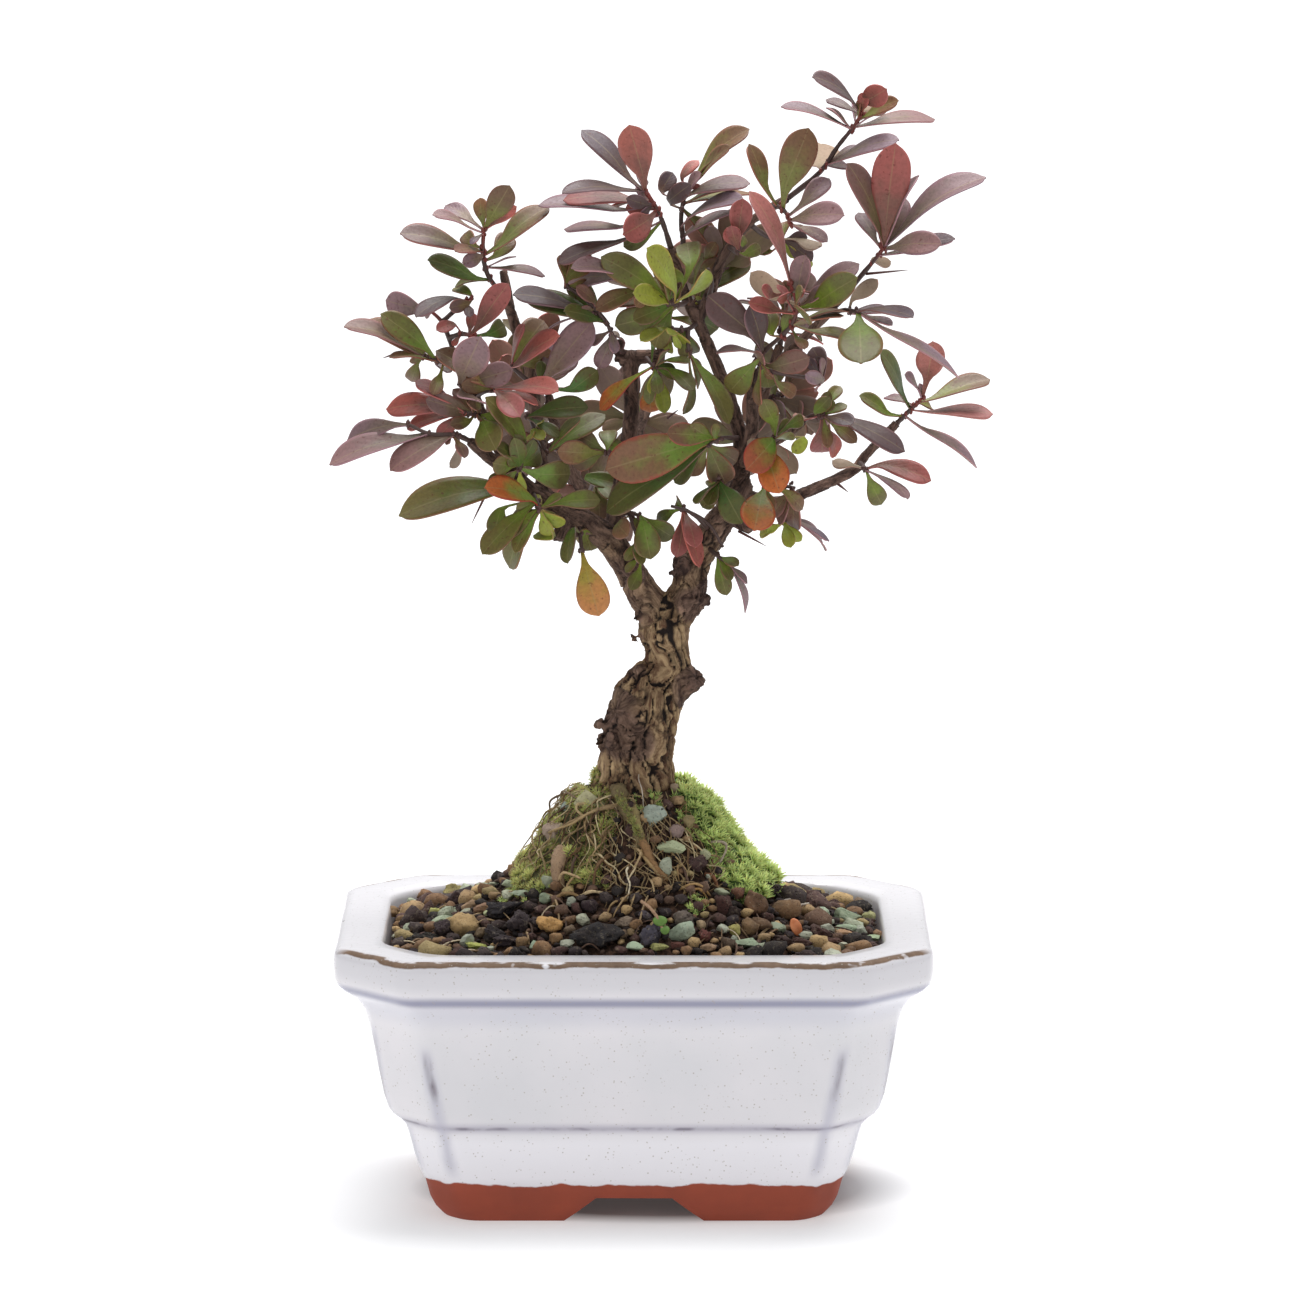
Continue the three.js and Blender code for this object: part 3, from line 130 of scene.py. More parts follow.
# %% Rings and tubes
def extruded_ring(bm, ring, places):
    """Extrudes a closed ring, and moves the new ring's vertices to places, in the same order."""
    edges = [bm.edges.get((a, b)) for a, b in zip(ring, ring[1:] + ring[:1])]
    made = bmesh.ops.extrude_edge_only(bm, edges=edges)["geom"]
    fresh = {v for v in made if isinstance(v, bmesh.types.BMVert)}
    new_ring = []
    for vertex, place in zip(ring, places):
        mate = next(e.other_vert(vertex) for e in vertex.link_edges if e.other_vert(vertex) in fresh)
        mate.co = place
        new_ring.append(mate)
    return new_ring


def smooth_path(points, steps):
    """A smooth curve through points, with this many steps to a span."""
    path = []
    for i in range(len(points) - 1):
        a, b = points[max(i - 1, 0)], points[i]
        c, d = points[i + 1], points[min(i + 2, len(points) - 1)]
        for k in range(steps):
            t = k / steps
            path.append(0.5 * (2 * b + (c - a) * t + (2 * a - 5 * b + 4 * c - d) * t * t
                               + (3 * b - a - 3 * c + d) * t ** 3))
    return path + [points[-1].copy()]


def tube(points, radii, sides=6, ragged=0.0):
    """A closed tube as a bmesh of its own: a circle extruded ring by ring along points."""
    bm = bmesh.new()
    last = len(points) - 1
    side = Vector((0.1, 1, 0.2))
    ring = None
    for i, (centre, radius) in enumerate(zip(points, radii)):
        ahead = (points[min(i + 1, last)] - points[max(i - 1, 0)]).normalized()
        side = (side - ahead * side.dot(ahead)).normalized()
        other = ahead.cross(side)
        places = []
        for s in range(sides):
            angle = 2 * math.pi * s / sides
            swell = radius * (1 + ragged * noise.noise(centre * 0.9 + Vector((0, 0, 7 * s))))
            places.append(centre + (side * math.cos(angle) + other * math.sin(angle)) * swell)
        if ring is None:
            ring = bmesh.ops.create_circle(bm, cap_ends=True, segments=sides, radius=1)["verts"]
            for vertex, place in zip(ring, places):
                vertex.co = place
        else:
            ring = extruded_ring(bm, ring, places)
    bmesh.ops.contextual_create(bm, geom=[bm.edges.get((a, b)) for a, b in zip(ring, ring[1:] + ring[:1])])
    bmesh.ops.recalc_face_normals(bm, faces=bm.faces)
    return bm


def join_in(bm, part):
    """Moves the geometry of part into bm, and gives back its vertices and faces there."""
    pattern = pattern_from(part, "joining")
    verts, faces = add_copy(bm, pattern)
    bpy.data.meshes.remove(pattern)
    return verts, faces


print("a test twig has", len(tube([Vector((0, 0, 0)), Vector((0, 0, 5))], [1, 0.5]).faces), "faces")

# %% [markdown]
# Finishes are node materials. One function turns a colour chip's hex value, which is sRGB, into the linear
# values that shading works in. Another adds a node, sets it and links it, so that a finish reads as a list of
# what is laid over what.


# %% Colours and nodes
def linear(chip):
    """The linear colour of an sRGB hex value."""
    parts = [int(chip[i:i + 2], 16) / 255 for i in (1, 3, 5)]
    return tuple(p / 12.92 if p <= 0.04045 else ((p + 0.055) / 1.055) ** 2.4 for p in parts) + (1,)


def add(tree, kind, settings=None, **sockets):
    """A new node. Sockets are named with _ for a space, or s0, s1 by number; a socket feeds a socket."""
    node = tree.nodes.new("ShaderNode" + kind)
    for name, value in (settings or {}).items():
        setattr(node, name, value)
    for name, value in sockets.items():
        key = int(name[1:]) if name[1:].isdigit() else name.replace("_", " ")
        if isinstance(value, bpy.types.NodeSocket):
            tree.links.new(value, node.inputs[key])
        else:
            node.inputs[key].default_value = value
    return node


def new_finish(name):
    """An empty node material with its shader, and the shader's tree."""
    material = bpy.data.materials.new(name)
    material.use_nodes = True
    tree = material.node_tree
    return material, tree, tree.nodes["Principled BSDF"]


def per_mm(size):
    """A texture's scale, in Blender's metres, for a pattern of this many millimetres."""
    return 1 / (size * MM)


print("glaze white is", [round(value, 3) for value in linear("#e9e9ec")])

# %% [markdown]
# The camera stands two metres in front of the tree, a little above it, and looks slightly down through a long
# lens, as a catalogue photographer would. The set is white: a pale floor that runs out of the picture and glows,
# which is painted light, with a painted shadow right under the pot; a bright room, a large soft light overhead
# and a weaker one from the front left.

# %% Camera
IMAGE_SIZE = 1300
EYE = Vector((4, -1982, 464))
VIEW_TILT = math.radians(9.32)
VIEW_LENGTH = 7965
SENSOR = 36

camera_data = bpy.data.cameras.new("camera")
camera_data.sensor_width = SENSOR
camera_data.lens = SENSOR * VIEW_LENGTH / IMAGE_SIZE
camera_data.clip_end = 50
camera = bpy.data.objects.new("camera", camera_data)
camera.location = INTO_FRAME @ EYE
camera.rotation_euler = (math.radians(90) - VIEW_TILT, 0, 0)
bpy.context.scene.collection.objects.link(camera)
bpy.context.scene.camera = camera
print(f"a {camera_data.lens:.0f} mm lens, {-camera.location.y:.2f} m in front")

# %% Floor, room and lights
FLOOR_HALF = 6.0


def soft_light(name, place, aim, size, power, tint="#ffffff"):
    data = bpy.data.lights.new(name, "AREA")
    data.shape = "SQUARE"
    data.size = size
    data.energy = power
    data.color = linear(tint)[:3]
    lamp = bpy.data.objects.new(name, data)
    lamp.location = place
    lamp.rotation_euler = (Vector(aim) - Vector(place)).to_track_quat("-Z", "Y").to_euler()
    bpy.context.scene.collection.objects.link(lamp)
    return lamp


floor_paint, tree, shader = new_finish("white_paper_sweep")
shader.inputs["Base Color"].default_value = linear("#cdcdce")
shader.inputs["Roughness"].default_value = 1
shader.inputs["Specular IOR Level"].default_value = 0
shader.inputs["Emission Color"].default_value = linear("#ffffff")
# The floor glows, which is painted light: dimmer near the pot, brighter far off, and nearly dark right under the pot's
# foot, a painted shadow.
under = add(tree, "Mapping", Vector=add(tree, "TexCoord").outputs["Object"], Scale=(1, 1.6, 1))
far_off = add(tree, "VectorMath", {"operation": "LENGTH"}, s0=under.outputs[0]).outputs["Value"]
floor_glow_painted_light = add(tree, "MapRange", Value=far_off, From_Min=0.3, From_Max=4.0, To_Min=0.42, To_Max=0.95).outputs[0]
painted_shadow_under_pot = add(tree, "MapRange", Value=far_off, From_Min=0.05, From_Max=0.066, To_Min=0.1).outputs[0]
floor_glow_painted_light = add(tree, "Math", {"operation": "MULTIPLY"}, s0=floor_glow_painted_light, s1=painted_shadow_under_pot).outputs[0]
tree.links.new(floor_glow_painted_light, shader.inputs["Emission Strength"])

bm = bmesh.new()
bmesh.ops.create_grid(bm, x_segments=1, y_segments=1, size=FLOOR_HALF)
floor_mesh = bpy.data.meshes.new("floor")
bm.to_mesh(floor_mesh)
bm.free()
floor_mesh.materials.append(floor_paint)
floor = bpy.data.objects.new("floor", floor_mesh)
bpy.context.scene.collection.objects.link(floor)

room = bpy.data.worlds.new("white_room")
bpy.context.scene.world = room
room.use_nodes = True
room.node_tree.nodes["Background"].inputs["Color"].default_value = linear("#fbfcff")
room.node_tree.nodes["Background"].inputs["Strength"].default_value = 0.45
soft_light("overhead", (0.1, 0.3, 1.4), (0, 0, 0.15), 1.1, 30)
soft_light("front_left", (-1.1, -1.5, 0.9), (0, 0, 0.12), 0.7, 3.5)
bpy.context.scene.view_settings.view_transform = "Standard"
# %% [markdown]
# The pot is slip-cast stoneware. Its wall leaves a bare foot, steps out, rises to a belt and rolls over a wide
# rim. It could be a lathe shape, but its plan is a rectangle with cut corners. So one ring in plan is extruded
# through a profile: up the outside, over the rim and down the inside. The same few sizes rule every level.

# %% The pot's profile and plan
RIM_WIDTH = 12.5
OUTER_CUT, INNER_CUT = 17.5, 13
CUT_SLANT = 1.1
CORNER_ROUND, INNER_ROUND = 3.4, 6.2
EDGE_SPANS = (10, 3, 12, 3, 10, 3, 12, 3)
FLOOR_TOP = 12
GLAZE_FOOT = 10
ARCHES = {"front": (35, 19), "side": (28, 15)}
ARCH_HEIGHT, HOLLOW_HEIGHT = 6.5, 7.2
DRAIN_RADIUS, DRAIN_AT = 6, 24
OUTSIDE = [
    (0, 27.3), (0.4, 26.7), (2.3, 25), (5, 23.6), (9.4, 22.4), (10.2, 21.9), (12, 21), (16.5, 19.5),
    (21.3, 18.2), (23.8, 17.4), (25.4, 16), (26.8, 14.2), (28.4, 13.1), (31.8, 12), (38, 10.8), (44, 9.8),
    (49.8, 8.8), (53.6, 7.7), (56, 6.2), (57.6, 4.4), (59, 2.3), (60.4, 0.9), (62.2, 0.2), (65, 0),
    (67.4, 0), (68.6, 0.2), (69.4, 0.8), (69.9, 1.7), (70, 3), (70, 6), (70, 9.6),
]
INSIDE = [(69.8, -1), (69.2, -0.3), (68, 0), (64, 0.3), (60, 0.6), (50, 2.4), (35, 6), (22, 11), (14, 14.6),
          (12, 17)]


def plan_ring(half_width, half_depth, cut, z, rounding=CORNER_ROUND):
    """One level of the pot: a rectangle with cut, rounded corners, its edges parted into short spans."""
    slant = cut * CUT_SLANT
    corners = [Vector(corner) for corner in (
        (half_width, slant - half_depth), (half_width, half_depth - slant),
        (half_width - cut, half_depth), (cut - half_width, half_depth),
        (-half_width, half_depth - slant), (-half_width, slant - half_depth),
        (cut - half_width, -half_depth), (half_width - cut, -half_depth),
    )]
    ring = []
    for i, spans in enumerate(EDGE_SPANS):
        before, here, after = corners[i - 1], corners[i], corners[(i + 1) % 8]
        into = here + (before - here).normalized() * rounding
        out = here + (after - here).normalized() * rounding
        end = after + (here - after).normalized() * rounding
        for t in (0, 0.25, 0.5, 0.75, 1):
            ring.append(into * (1 - t) ** 2 + here * 2 * t * (1 - t) + out * t * t)
        ring += [out.lerp(end, k / spans) for k in range(1, spans)]
    return [Vector((p.x, p.y, z)) for p in ring]


def outside_ring(z, inset):
    return plan_ring(POT_WIDTH / 2 - inset, POT_DEPTH / 2 - 0.8 * inset, OUTER_CUT - 0.42 * inset, z)


def inside_ring(z, inset):
    return plan_ring(POT_WIDTH / 2 - RIM_WIDTH - inset, POT_DEPTH / 2 - RIM_WIDTH - 0.8 * inset,
                     INNER_CUT - 0.3 * inset, z, INNER_ROUND)


print("a level has", len(outside_ring(40, 10)), "vertices")

# %% Throw the pot
def hand_made(ring):
    """A slip-cast wall is never quite flat: a slow, shallow wander, inwards only."""
    return [p - Vector((p.x, p.y, 0)).normalized() * 0.22 * (1 + noise.noise(p / 21)) for p in ring]


bm = bmesh.new()
rings = [outside_ring(*level) for level in OUTSIDE] + [inside_ring(*level) for level in INSIDE]
ring = [bm.verts.new(place) for place in rings[0]]
bmesh.ops.contextual_create(bm, geom=ring)
for places in rings[1:]:
    ring = extruded_ring(bm, ring, hand_made(places))
bmesh.ops.contextual_create(bm, geom=[bm.edges.get((a, b)) for a, b in zip(ring, ring[1:] + ring[:1])])
bmesh.ops.recalc_face_normals(bm, faces=bm.faces)
bmesh.ops.triangulate(bm, faces=[f for f in bm.faces if len(f.verts) > 4])
print("pot shell:", len(bm.faces), "faces,", len(rings), "levels")


# %% Cut the arches, the hollow of the foot and the drain holes
def prism(outline, low, high, along):
    """A closed prism over an outline in two axes, along the third, as an object that only cuts."""
    cutter = bmesh.new()
    points = [cutter.verts.new(Vector((a, b, low))) for a, b in outline]
    face = bmesh.ops.contextual_create(cutter, geom=points)["faces"][0]
    top = bmesh.ops.extrude_face_region(cutter, geom=[face])["geom"]
    bmesh.ops.translate(cutter, vec=(0, 0, high - low), verts=[v for v in top if isinstance(v, bmesh.types.BMVert)])
    bmesh.ops.transform(cutter, matrix=INTO_FRAME @ along, verts=cutter.verts)
    bmesh.ops.recalc_face_normals(cutter, faces=cutter.faces)
    mesh = bpy.data.meshes.new("cutter")
    cutter.to_mesh(mesh)
    cutter.free()
    return bpy.data.objects.new("cutter", mesh)


def arch_outline(bottom, top):
    lean = (bottom - top) / 2 / ARCH_HEIGHT
    return [(-bottom / 2 - 2 * lean, -2), (bottom / 2 + 2 * lean, -2), (top / 2, ARCH_HEIGHT), (-top / 2, ARCH_HEIGHT)]


upright = Matrix.Rotation(math.radians(90), 4, "X")
sideways = Matrix.Rotation(math.radians(90), 4, "Z") @ upright
foot_low = OUTSIDE[0][1] + 8
hollow = [(p.x, p.y) for p in plan_ring(POT_WIDTH / 2 - foot_low, POT_DEPTH / 2 - 0.8 * OUTSIDE[0][1] - 8, 9, 0)]
cutters = [
    prism(hollow, -1, HOLLOW_HEIGHT, Matrix()),
    prism(arch_outline(*ARCHES["front"]), -POT_DEPTH, POT_DEPTH, upright),
    prism(arch_outline(*ARCHES["side"]), -POT_WIDTH, POT_WIDTH, sideways),
]
for side in (-1, 1):
    circle = [(side * DRAIN_AT + DRAIN_RADIUS * math.cos(k * math.pi / 12), DRAIN_RADIUS * math.sin(k * math.pi / 12))
              for k in range(24)]
    cutters.append(prism(circle, -1, FLOOR_TOP + 4, Matrix()))
pot = new_piece("pot_body", bm, [], ["pot"])
for cutter in cutters:
    bpy.context.scene.collection.objects.link(cutter)
    cut = pot.modifiers.new("cut", "BOOLEAN")
    cut.operation, cut.solver, cut.object = "DIFFERENCE", "EXACT", cutter
cast = bpy.data.meshes.new_from_object(pot.evaluated_get(bpy.context.evaluated_depsgraph_get()))
pot.modifiers.clear()
for cutter in cutters:
    bpy.data.objects.remove(cutter)
bm = bmesh.new()
bm.from_mesh(cast)
below = [v for v in bm.verts if v.co.z < -0.5 * MM]
bmesh.ops.delete(bm, geom=below, context="VERTS")
bmesh.ops.remove_doubles(bm, verts=bm.verts, dist=0.001 * MM)
print("pot after cutting:", len(bm.faces), "faces,", sum(e.is_boundary for e in bm.edges), "open edges")
for face in bm.faces:
    face.smooth = True
bm.to_mesh(cast)
bm.free()
pot.data = cast
soften = pot.modifiers.new("soften", "BEVEL")
soften.width, soften.segments, soften.limit_method, soften.angle_limit = 0.5 * MM, 2, "ANGLE", math.radians(40)

# %% [markdown]
# The glaze is a white, glossy stoneware glaze over an iron-bearing clay. It runs thin on sharp edges, so the
# brown body shows along the rim's outer edge. Tiny iron specks and a few pinholes break the surface. Below the
# glaze line the foot is bare terracotta. Light and shade are painted into the glaze by height: painted light on
# the lower wall and the rim's top, and painted shade on the belt's face, blue-grey under the belt and at the
# step. Every band follows a height, so it reads Object coordinates, with noise to make its edge wander.

# %% Where the glaze lies: heights and distances in millimetres
glaze, tree, shader = new_finish("white_stoneware_glaze")
place = add(tree, "TexCoord").outputs["Object"]
in_mm = add(tree, "Mapping", Vector=place, Location=(-POT_X, 0, 0), Scale=(1 / MM,) * 3).outputs[0]
axes = add(tree, "SeparateXYZ", Vector=in_mm)
height = axes.outputs["Z"]
across = add(tree, "Math", {"operation": "ABSOLUTE"}, s0=axes.outputs["X"]).outputs[0]
deep = add(tree, "Math", {"operation": "ABSOLUTE"}, s0=axes.outputs["Y"]).outputs[0]
cloud = add(tree, "TexNoise", Vector=place, Scale=per_mm(26), Detail=3).outputs["Fac"]
wander = add(tree, "TexNoise", Vector=place, Scale=per_mm(9), Detail=4).outputs["Fac"]
dashed_breakup = add(tree, "TexNoise", Vector=place, Scale=per_mm(6), Detail=2).outputs["Fac"]
fine = add(tree, "TexNoise", Vector=place, Scale=per_mm(2.2), Detail=3).outputs["Fac"]
drawn = add(tree, "Mapping", Vector=place, Scale=(1, 1, 0.25)).outputs[0]
streak = add(tree, "TexNoise", Vector=drawn, Scale=per_mm(2.6), Detail=4).outputs["Fac"]
print("the pot stands", POT_X, "mm from the frame's middle")

# %% Painted light and shade in bands round the wall: [colour, strength, middle height, half height, softness, broken by]
# Painted light on the lower wall and the rim's top; painted shade on the belt's face, blue-grey under the belt and at
# the step, where the darkest line is broken into dashes.
PAINTED_LIGHT_AND_SHADE_BANDS = [
    ["#eeecf0", 1.0, 16.5, 7, 3, None], ["#d3d1d5", 1.0, 66.5, 4, 2, None], ["#e6e4e7", 1.0, 71, 1.2, 1, None],
    ["#b9bac6", 0.5, 56.4, 3.2, 2.8, None], ["#83849a", 0.9, 59.7, 1.2, 1.1, None],
    ["#b3b0bd", 0.75, 25.6, 1.2, 1.1, None], ["#6f6876", 0.8, 25.5, 0.45, 0.4, dashed_breakup],
]
spread = add(tree, "MapRange", Value=cloud, From_Min=0.35, From_Max=0.7).outputs[0]
colour = add(tree, "Mix", {"data_type": "RGBA"}, Factor=spread, s6=linear("#dedbde"), s7=linear("#d6d5d8")).outputs[2]
for chip, strength, middle, half, soft, broken in PAINTED_LIGHT_AND_SHADE_BANDS:
    off = add(tree, "Math", {"operation": "SUBTRACT"}, s0=height, s1=middle).outputs[0]
    off = add(tree, "Math", {"operation": "ABSOLUTE"}, s0=off).outputs[0]
    share = add(tree, "MapRange", {"interpolation_type": "SMOOTHSTEP"}, Value=off, From_Min=half + soft,
                From_Max=half - soft, To_Max=strength).outputs[0]
    if broken:
        dashes = add(tree, "MapRange", Value=broken, From_Min=0.42, From_Max=0.62, To_Min=0.2).outputs[0]
        share = add(tree, "Math", {"operation": "MULTIPLY"}, s0=share, s1=dashes).outputs[0]
    colour = add(tree, "Mix", {"data_type": "RGBA"}, Factor=share, s6=colour, s7=linear(chip)).outputs[2]
print(len(PAINTED_LIGHT_AND_SHADE_BANDS), "bands of glaze")

# %% Streaks down the corner edges: [axis, colour, strength, lowest, highest, half width, broken by]
CORNER_STREAKS = [
    [across, "#b2b1c0", 0.6, 13, 46, 1.3, None], [deep, "#b2b1c0", 0.6, 13, 50, 1.3, None],
    [across, "#6a6068", 0.85, 34, 44, 0.7, streak], [deep, "#6a6068", 0.8, 30, 47, 0.7, streak],
]
EDGE_AT = {across: (45.3, 53.9), deep: (32.6, 37.7)}
for axis, chip, strength, lowest, highest, half, broken in CORNER_STREAKS:
    low_edge, high_edge = EDGE_AT[axis]
    edge = add(tree, "MapRange", Value=height, From_Min=12, From_Max=56, To_Min=low_edge, To_Max=high_edge).outputs[0]
    off = add(tree, "Math", {"operation": "SUBTRACT"}, s0=axis, s1=edge).outputs[0]
    off = add(tree, "Math", {"operation": "MULTIPLY_ADD"}, s0=streak, s1=1.6, s2=off).outputs[0]
    off = add(tree, "Math", {"operation": "SUBTRACT"}, s0=off, s1=0.7).outputs[0]
    off = add(tree, "Math", {"operation": "ABSOLUTE"}, s0=off).outputs[0]
    share = add(tree, "MapRange", {"interpolation_type": "SMOOTHSTEP"}, Value=off, From_Min=2.2 * half, From_Max=0,
                To_Max=strength).outputs[0]
    level = add(tree, "Math", {"operation": "SUBTRACT"}, s0=height, s1=(lowest + highest) / 2).outputs[0]
    level = add(tree, "Math", {"operation": "ABSOLUTE"}, s0=level).outputs[0]
    level = add(tree, "MapRange", {"interpolation_type": "SMOOTHSTEP"}, Value=level, From_Min=(highest - lowest) / 2 + 3,
                From_Max=(highest - lowest) / 2 - 3).outputs[0]
    share = add(tree, "Math", {"operation": "MULTIPLY"}, s0=share, s1=level).outputs[0]
    if broken:
        dashes = add(tree, "MapRange", Value=broken, From_Min=0.4, From_Max=0.58, To_Min=0.4).outputs[0]
        share = add(tree, "Math", {"operation": "MULTIPLY"}, s0=share, s1=dashes).outputs[0]
    colour = add(tree, "Mix", {"data_type": "RGBA"}, Factor=share, s6=colour, s7=linear(chip)).outputs[2]
print(len(CORNER_STREAKS), "kinds of streak")

# %% Bare clay along the rim's front and back edge, specks and pinholes
front_edge = add(tree, "MapRange", Value=deep, From_Min=POT_DEPTH / 2 - 21, From_Max=POT_DEPTH / 2 - 17).outputs[0]
out_x = add(tree, "Math", {"operation": "DIVIDE"}, s0=across, s1=POT_WIDTH / 2 - 2.5).outputs[0]
out_y = add(tree, "Math", {"operation": "DIVIDE"}, s0=deep, s1=POT_DEPTH / 2 - 2.5).outputs[0]
diagonal = add(tree, "Math", {"operation": "ADD"}, s0=across, s1=deep).outputs[0]
diagonal = add(tree, "Math", {"operation": "DIVIDE"}, s0=diagonal,
               s1=POT_WIDTH / 2 + POT_DEPTH / 2 - OUTER_CUT - 4).outputs[0]
outmost = add(tree, "Math", {"operation": "MAXIMUM"}, s0=out_x, s1=out_y).outputs[0]
outmost = add(tree, "Math", {"operation": "MAXIMUM"}, s0=outmost, s1=diagonal).outputs[0]
at_edge = add(tree, "MapRange", Value=outmost, From_Min=0.985, From_Max=1.0).outputs[0]
edge_height = add(tree, "Math", {"operation": "MULTIPLY_ADD"}, s0=wander, s1=2.2, s2=height).outputs[0]
covered = add(tree, "MapRange", Value=dashed_breakup, From_Min=0.3, From_Max=0.36).outputs[0]
low_side = add(tree, "MapRange", {"interpolation_type": "SMOOTHSTEP"}, Value=edge_height, From_Min=69.75,
               From_Max=70.15).outputs[0]
high_side = add(tree, "MapRange", {"interpolation_type": "SMOOTHSTEP"}, Value=edge_height, From_Min=71.3,
                From_Max=70.9).outputs[0]
bare_edge = low_side
for share in (high_side, at_edge, covered, front_edge):
    bare_edge = add(tree, "Math", {"operation": "MULTIPLY"}, s0=bare_edge, s1=share).outputs[0]
body_tint = add(tree, "Mix", {"data_type": "RGBA"}, Factor=fine, s6=linear("#80664f"), s7=linear("#4b3627")).outputs[2]
specks = add(tree, "TexVoronoi", Vector=place, Scale=per_mm(1.2)).outputs["Distance"]
speck = add(tree, "MapRange", Value=specks, From_Min=0.21, From_Max=0.12, To_Max=0.65).outputs[0]
rare = add(tree, "MapRange", Value=fine, From_Min=0.44, From_Max=0.58).outputs[0]
speck = add(tree, "Math", {"operation": "MULTIPLY"}, s0=speck, s1=rare).outputs[0]
holes = add(tree, "TexVoronoi", Vector=place, Scale=per_mm(21)).outputs["Distance"]
pinhole = add(tree, "MapRange", Value=holes, From_Min=0.022, From_Max=0.015).outputs[0]
shaken = add(tree, "Math", {"operation": "MULTIPLY_ADD"}, s0=wander, s1=3.4, s2=height).outputs[0]
clay_line = add(tree, "MapRange", {"interpolation_type": "SMOOTHSTEP"}, Value=shaken, From_Min=GLAZE_FOOT + 1.95,
                From_Max=GLAZE_FOOT + 1.45).outputs[0]
clay = add(tree, "Mix", {"data_type": "RGBA"}, Factor=wander, s6=linear("#a5472b"), s7=linear("#7f3622")).outputs[2]
for layer, share in ((body_tint, bare_edge), (linear("#a0978b"), speck), (linear("#4c3a30"), pinhole),
                     (clay, clay_line)):
    colour = add(tree, "Mix", {"data_type": "RGBA"}, Factor=share, s6=colour, s7=layer).outputs[2]
bare = add(tree, "Math", {"operation": "MAXIMUM"}, s0=clay_line, s1=bare_edge).outputs[0]
tree.links.new(colour, shader.inputs["Base Color"])
tree.links.new(add(tree, "MapRange", Value=bare, To_Min=0.17, To_Max=0.72).outputs[0], shader.inputs["Roughness"])
relief = add(tree, "Math", {"operation": "MULTIPLY_ADD"}, s0=bare, s1=-0.6, s2=fine).outputs[0]
bump = add(tree, "Bump", Height=relief, Strength=0.25, Distance=0.15 * MM)
tree.links.new(bump.outputs[0], shader.inputs["Normal"])
shader.inputs["IOR"].default_value = 1.52
pot.data.materials.clear()
pot.data.materials.append(glaze)
print("glaze has", len(tree.nodes), "nodes")

# %% The drain nets
net, tree, shader = new_finish("black_polythene_net")
grain = add(tree, "TexNoise", Vector=add(tree, "TexCoord").outputs["Object"], Scale=per_mm(1.5)).outputs["Fac"]
black = add(tree, "Mix", {"data_type": "RGBA"}, Factor=grain, s6=linear("#2b2b2b"), s7=linear("#3c3c3a"))
tree.links.new(black.outputs[2], shader.inputs["Base Color"])
shader.inputs["Roughness"].default_value = 0.6
for name in ("drain_screen_left", "drain_screen_right"):
    frame["nodes"][name].material_slots[0].material = net
print("two nets dressed")
# %% [markdown]
# The tree was read in the front view. A place is [across, down] in view units, about four to the
# millimetre, with its depth behind the trunk's plane in millimetres. The same lists shape the solids, so
# limbs, shoots and leaves here grow where the solids stand.


# %% From the front view into space
VIEW_CENTRE = 650
UNITS_PER_MM = 4


def in_front_view(across, down, depth):
    """The point that the front view shows at [across, down], at this depth behind the trunk's plane."""
    x = (across - VIEW_CENTRE) / VIEW_LENGTH
    z = (VIEW_CENTRE - down) / VIEW_LENGTH
    ray = Vector((x, math.cos(VIEW_TILT) + z * math.sin(VIEW_TILT), z * math.cos(VIEW_TILT) - math.sin(VIEW_TILT)))
    return EYE + ray * ((depth - EYE.y) / ray.y)


print("the trunk's foot stands at", [round(v, 1) for v in in_front_view(634, 862, 3)], "mm")

# %% [markdown]
# The soil is compost, nearly level at the wall, with a low swell and a steep mound round the trunk. A height
# formula gives its surface. A fine grid is cut to the pot's inner plan, raised by the formula and roughened,
# and its border is extruded down along the pot's inner wall. So the soil is a closed body with a crumbly top.


# %% The shape of the ground
SOIL_LEVEL, SOIL_FLOOR = 66, 12.6
SWELL_HEIGHT, SWELL_RADIUS = 8, 48
MOUND_HEIGHT, MOUND_RADIUS, MOUND_DEPTH_SCALE = 32, 24, 1.15
WALL_GAP = 0.45


def ground(x, y):
    """Height of the soil: nearly level at the wall, a low swell, and a steep mound round the trunk."""
    r = math.hypot(x, y * MOUND_DEPTH_SCALE)
    swell = SWELL_HEIGHT * math.exp(-((r / SWELL_RADIUS) ** 4))
    return SOIL_LEVEL + swell + MOUND_HEIGHT / (1 + (r / MOUND_RADIUS) ** 4)


def ground_normal(x, y):
    step = 0.5
    return Vector((ground(x - step, y) - ground(x + step, y), ground(x, y - step) - ground(x, y + step),
                   2 * step)).normalized()


def ground_seen_at(across, down):
    """The first point of the ground that the front view shows at [across, down], or the nearest to it."""
    nearest, best = None, math.inf
    for step in range(4 * round(POT_DEPTH - 2 * RIM_WIDTH)):
        point = in_front_view(across, down, RIM_WIDTH - POT_DEPTH / 2 + step / 4)
        over_ground = point.z - ground(point.x, point.y)
        if over_ground < best:
            nearest, best = point, over_ground
        if over_ground < 0:
            break
    return nearest


def random_way():
    return Vector([random.gauss(0, 1) for _ in range(3)]).normalized()


OUT_OF_FRAME = INTO_FRAME.inverted()
print("the mound stands", round(ground(0, 0) - SOIL_LEVEL, 1), "mm over the soil at the wall")

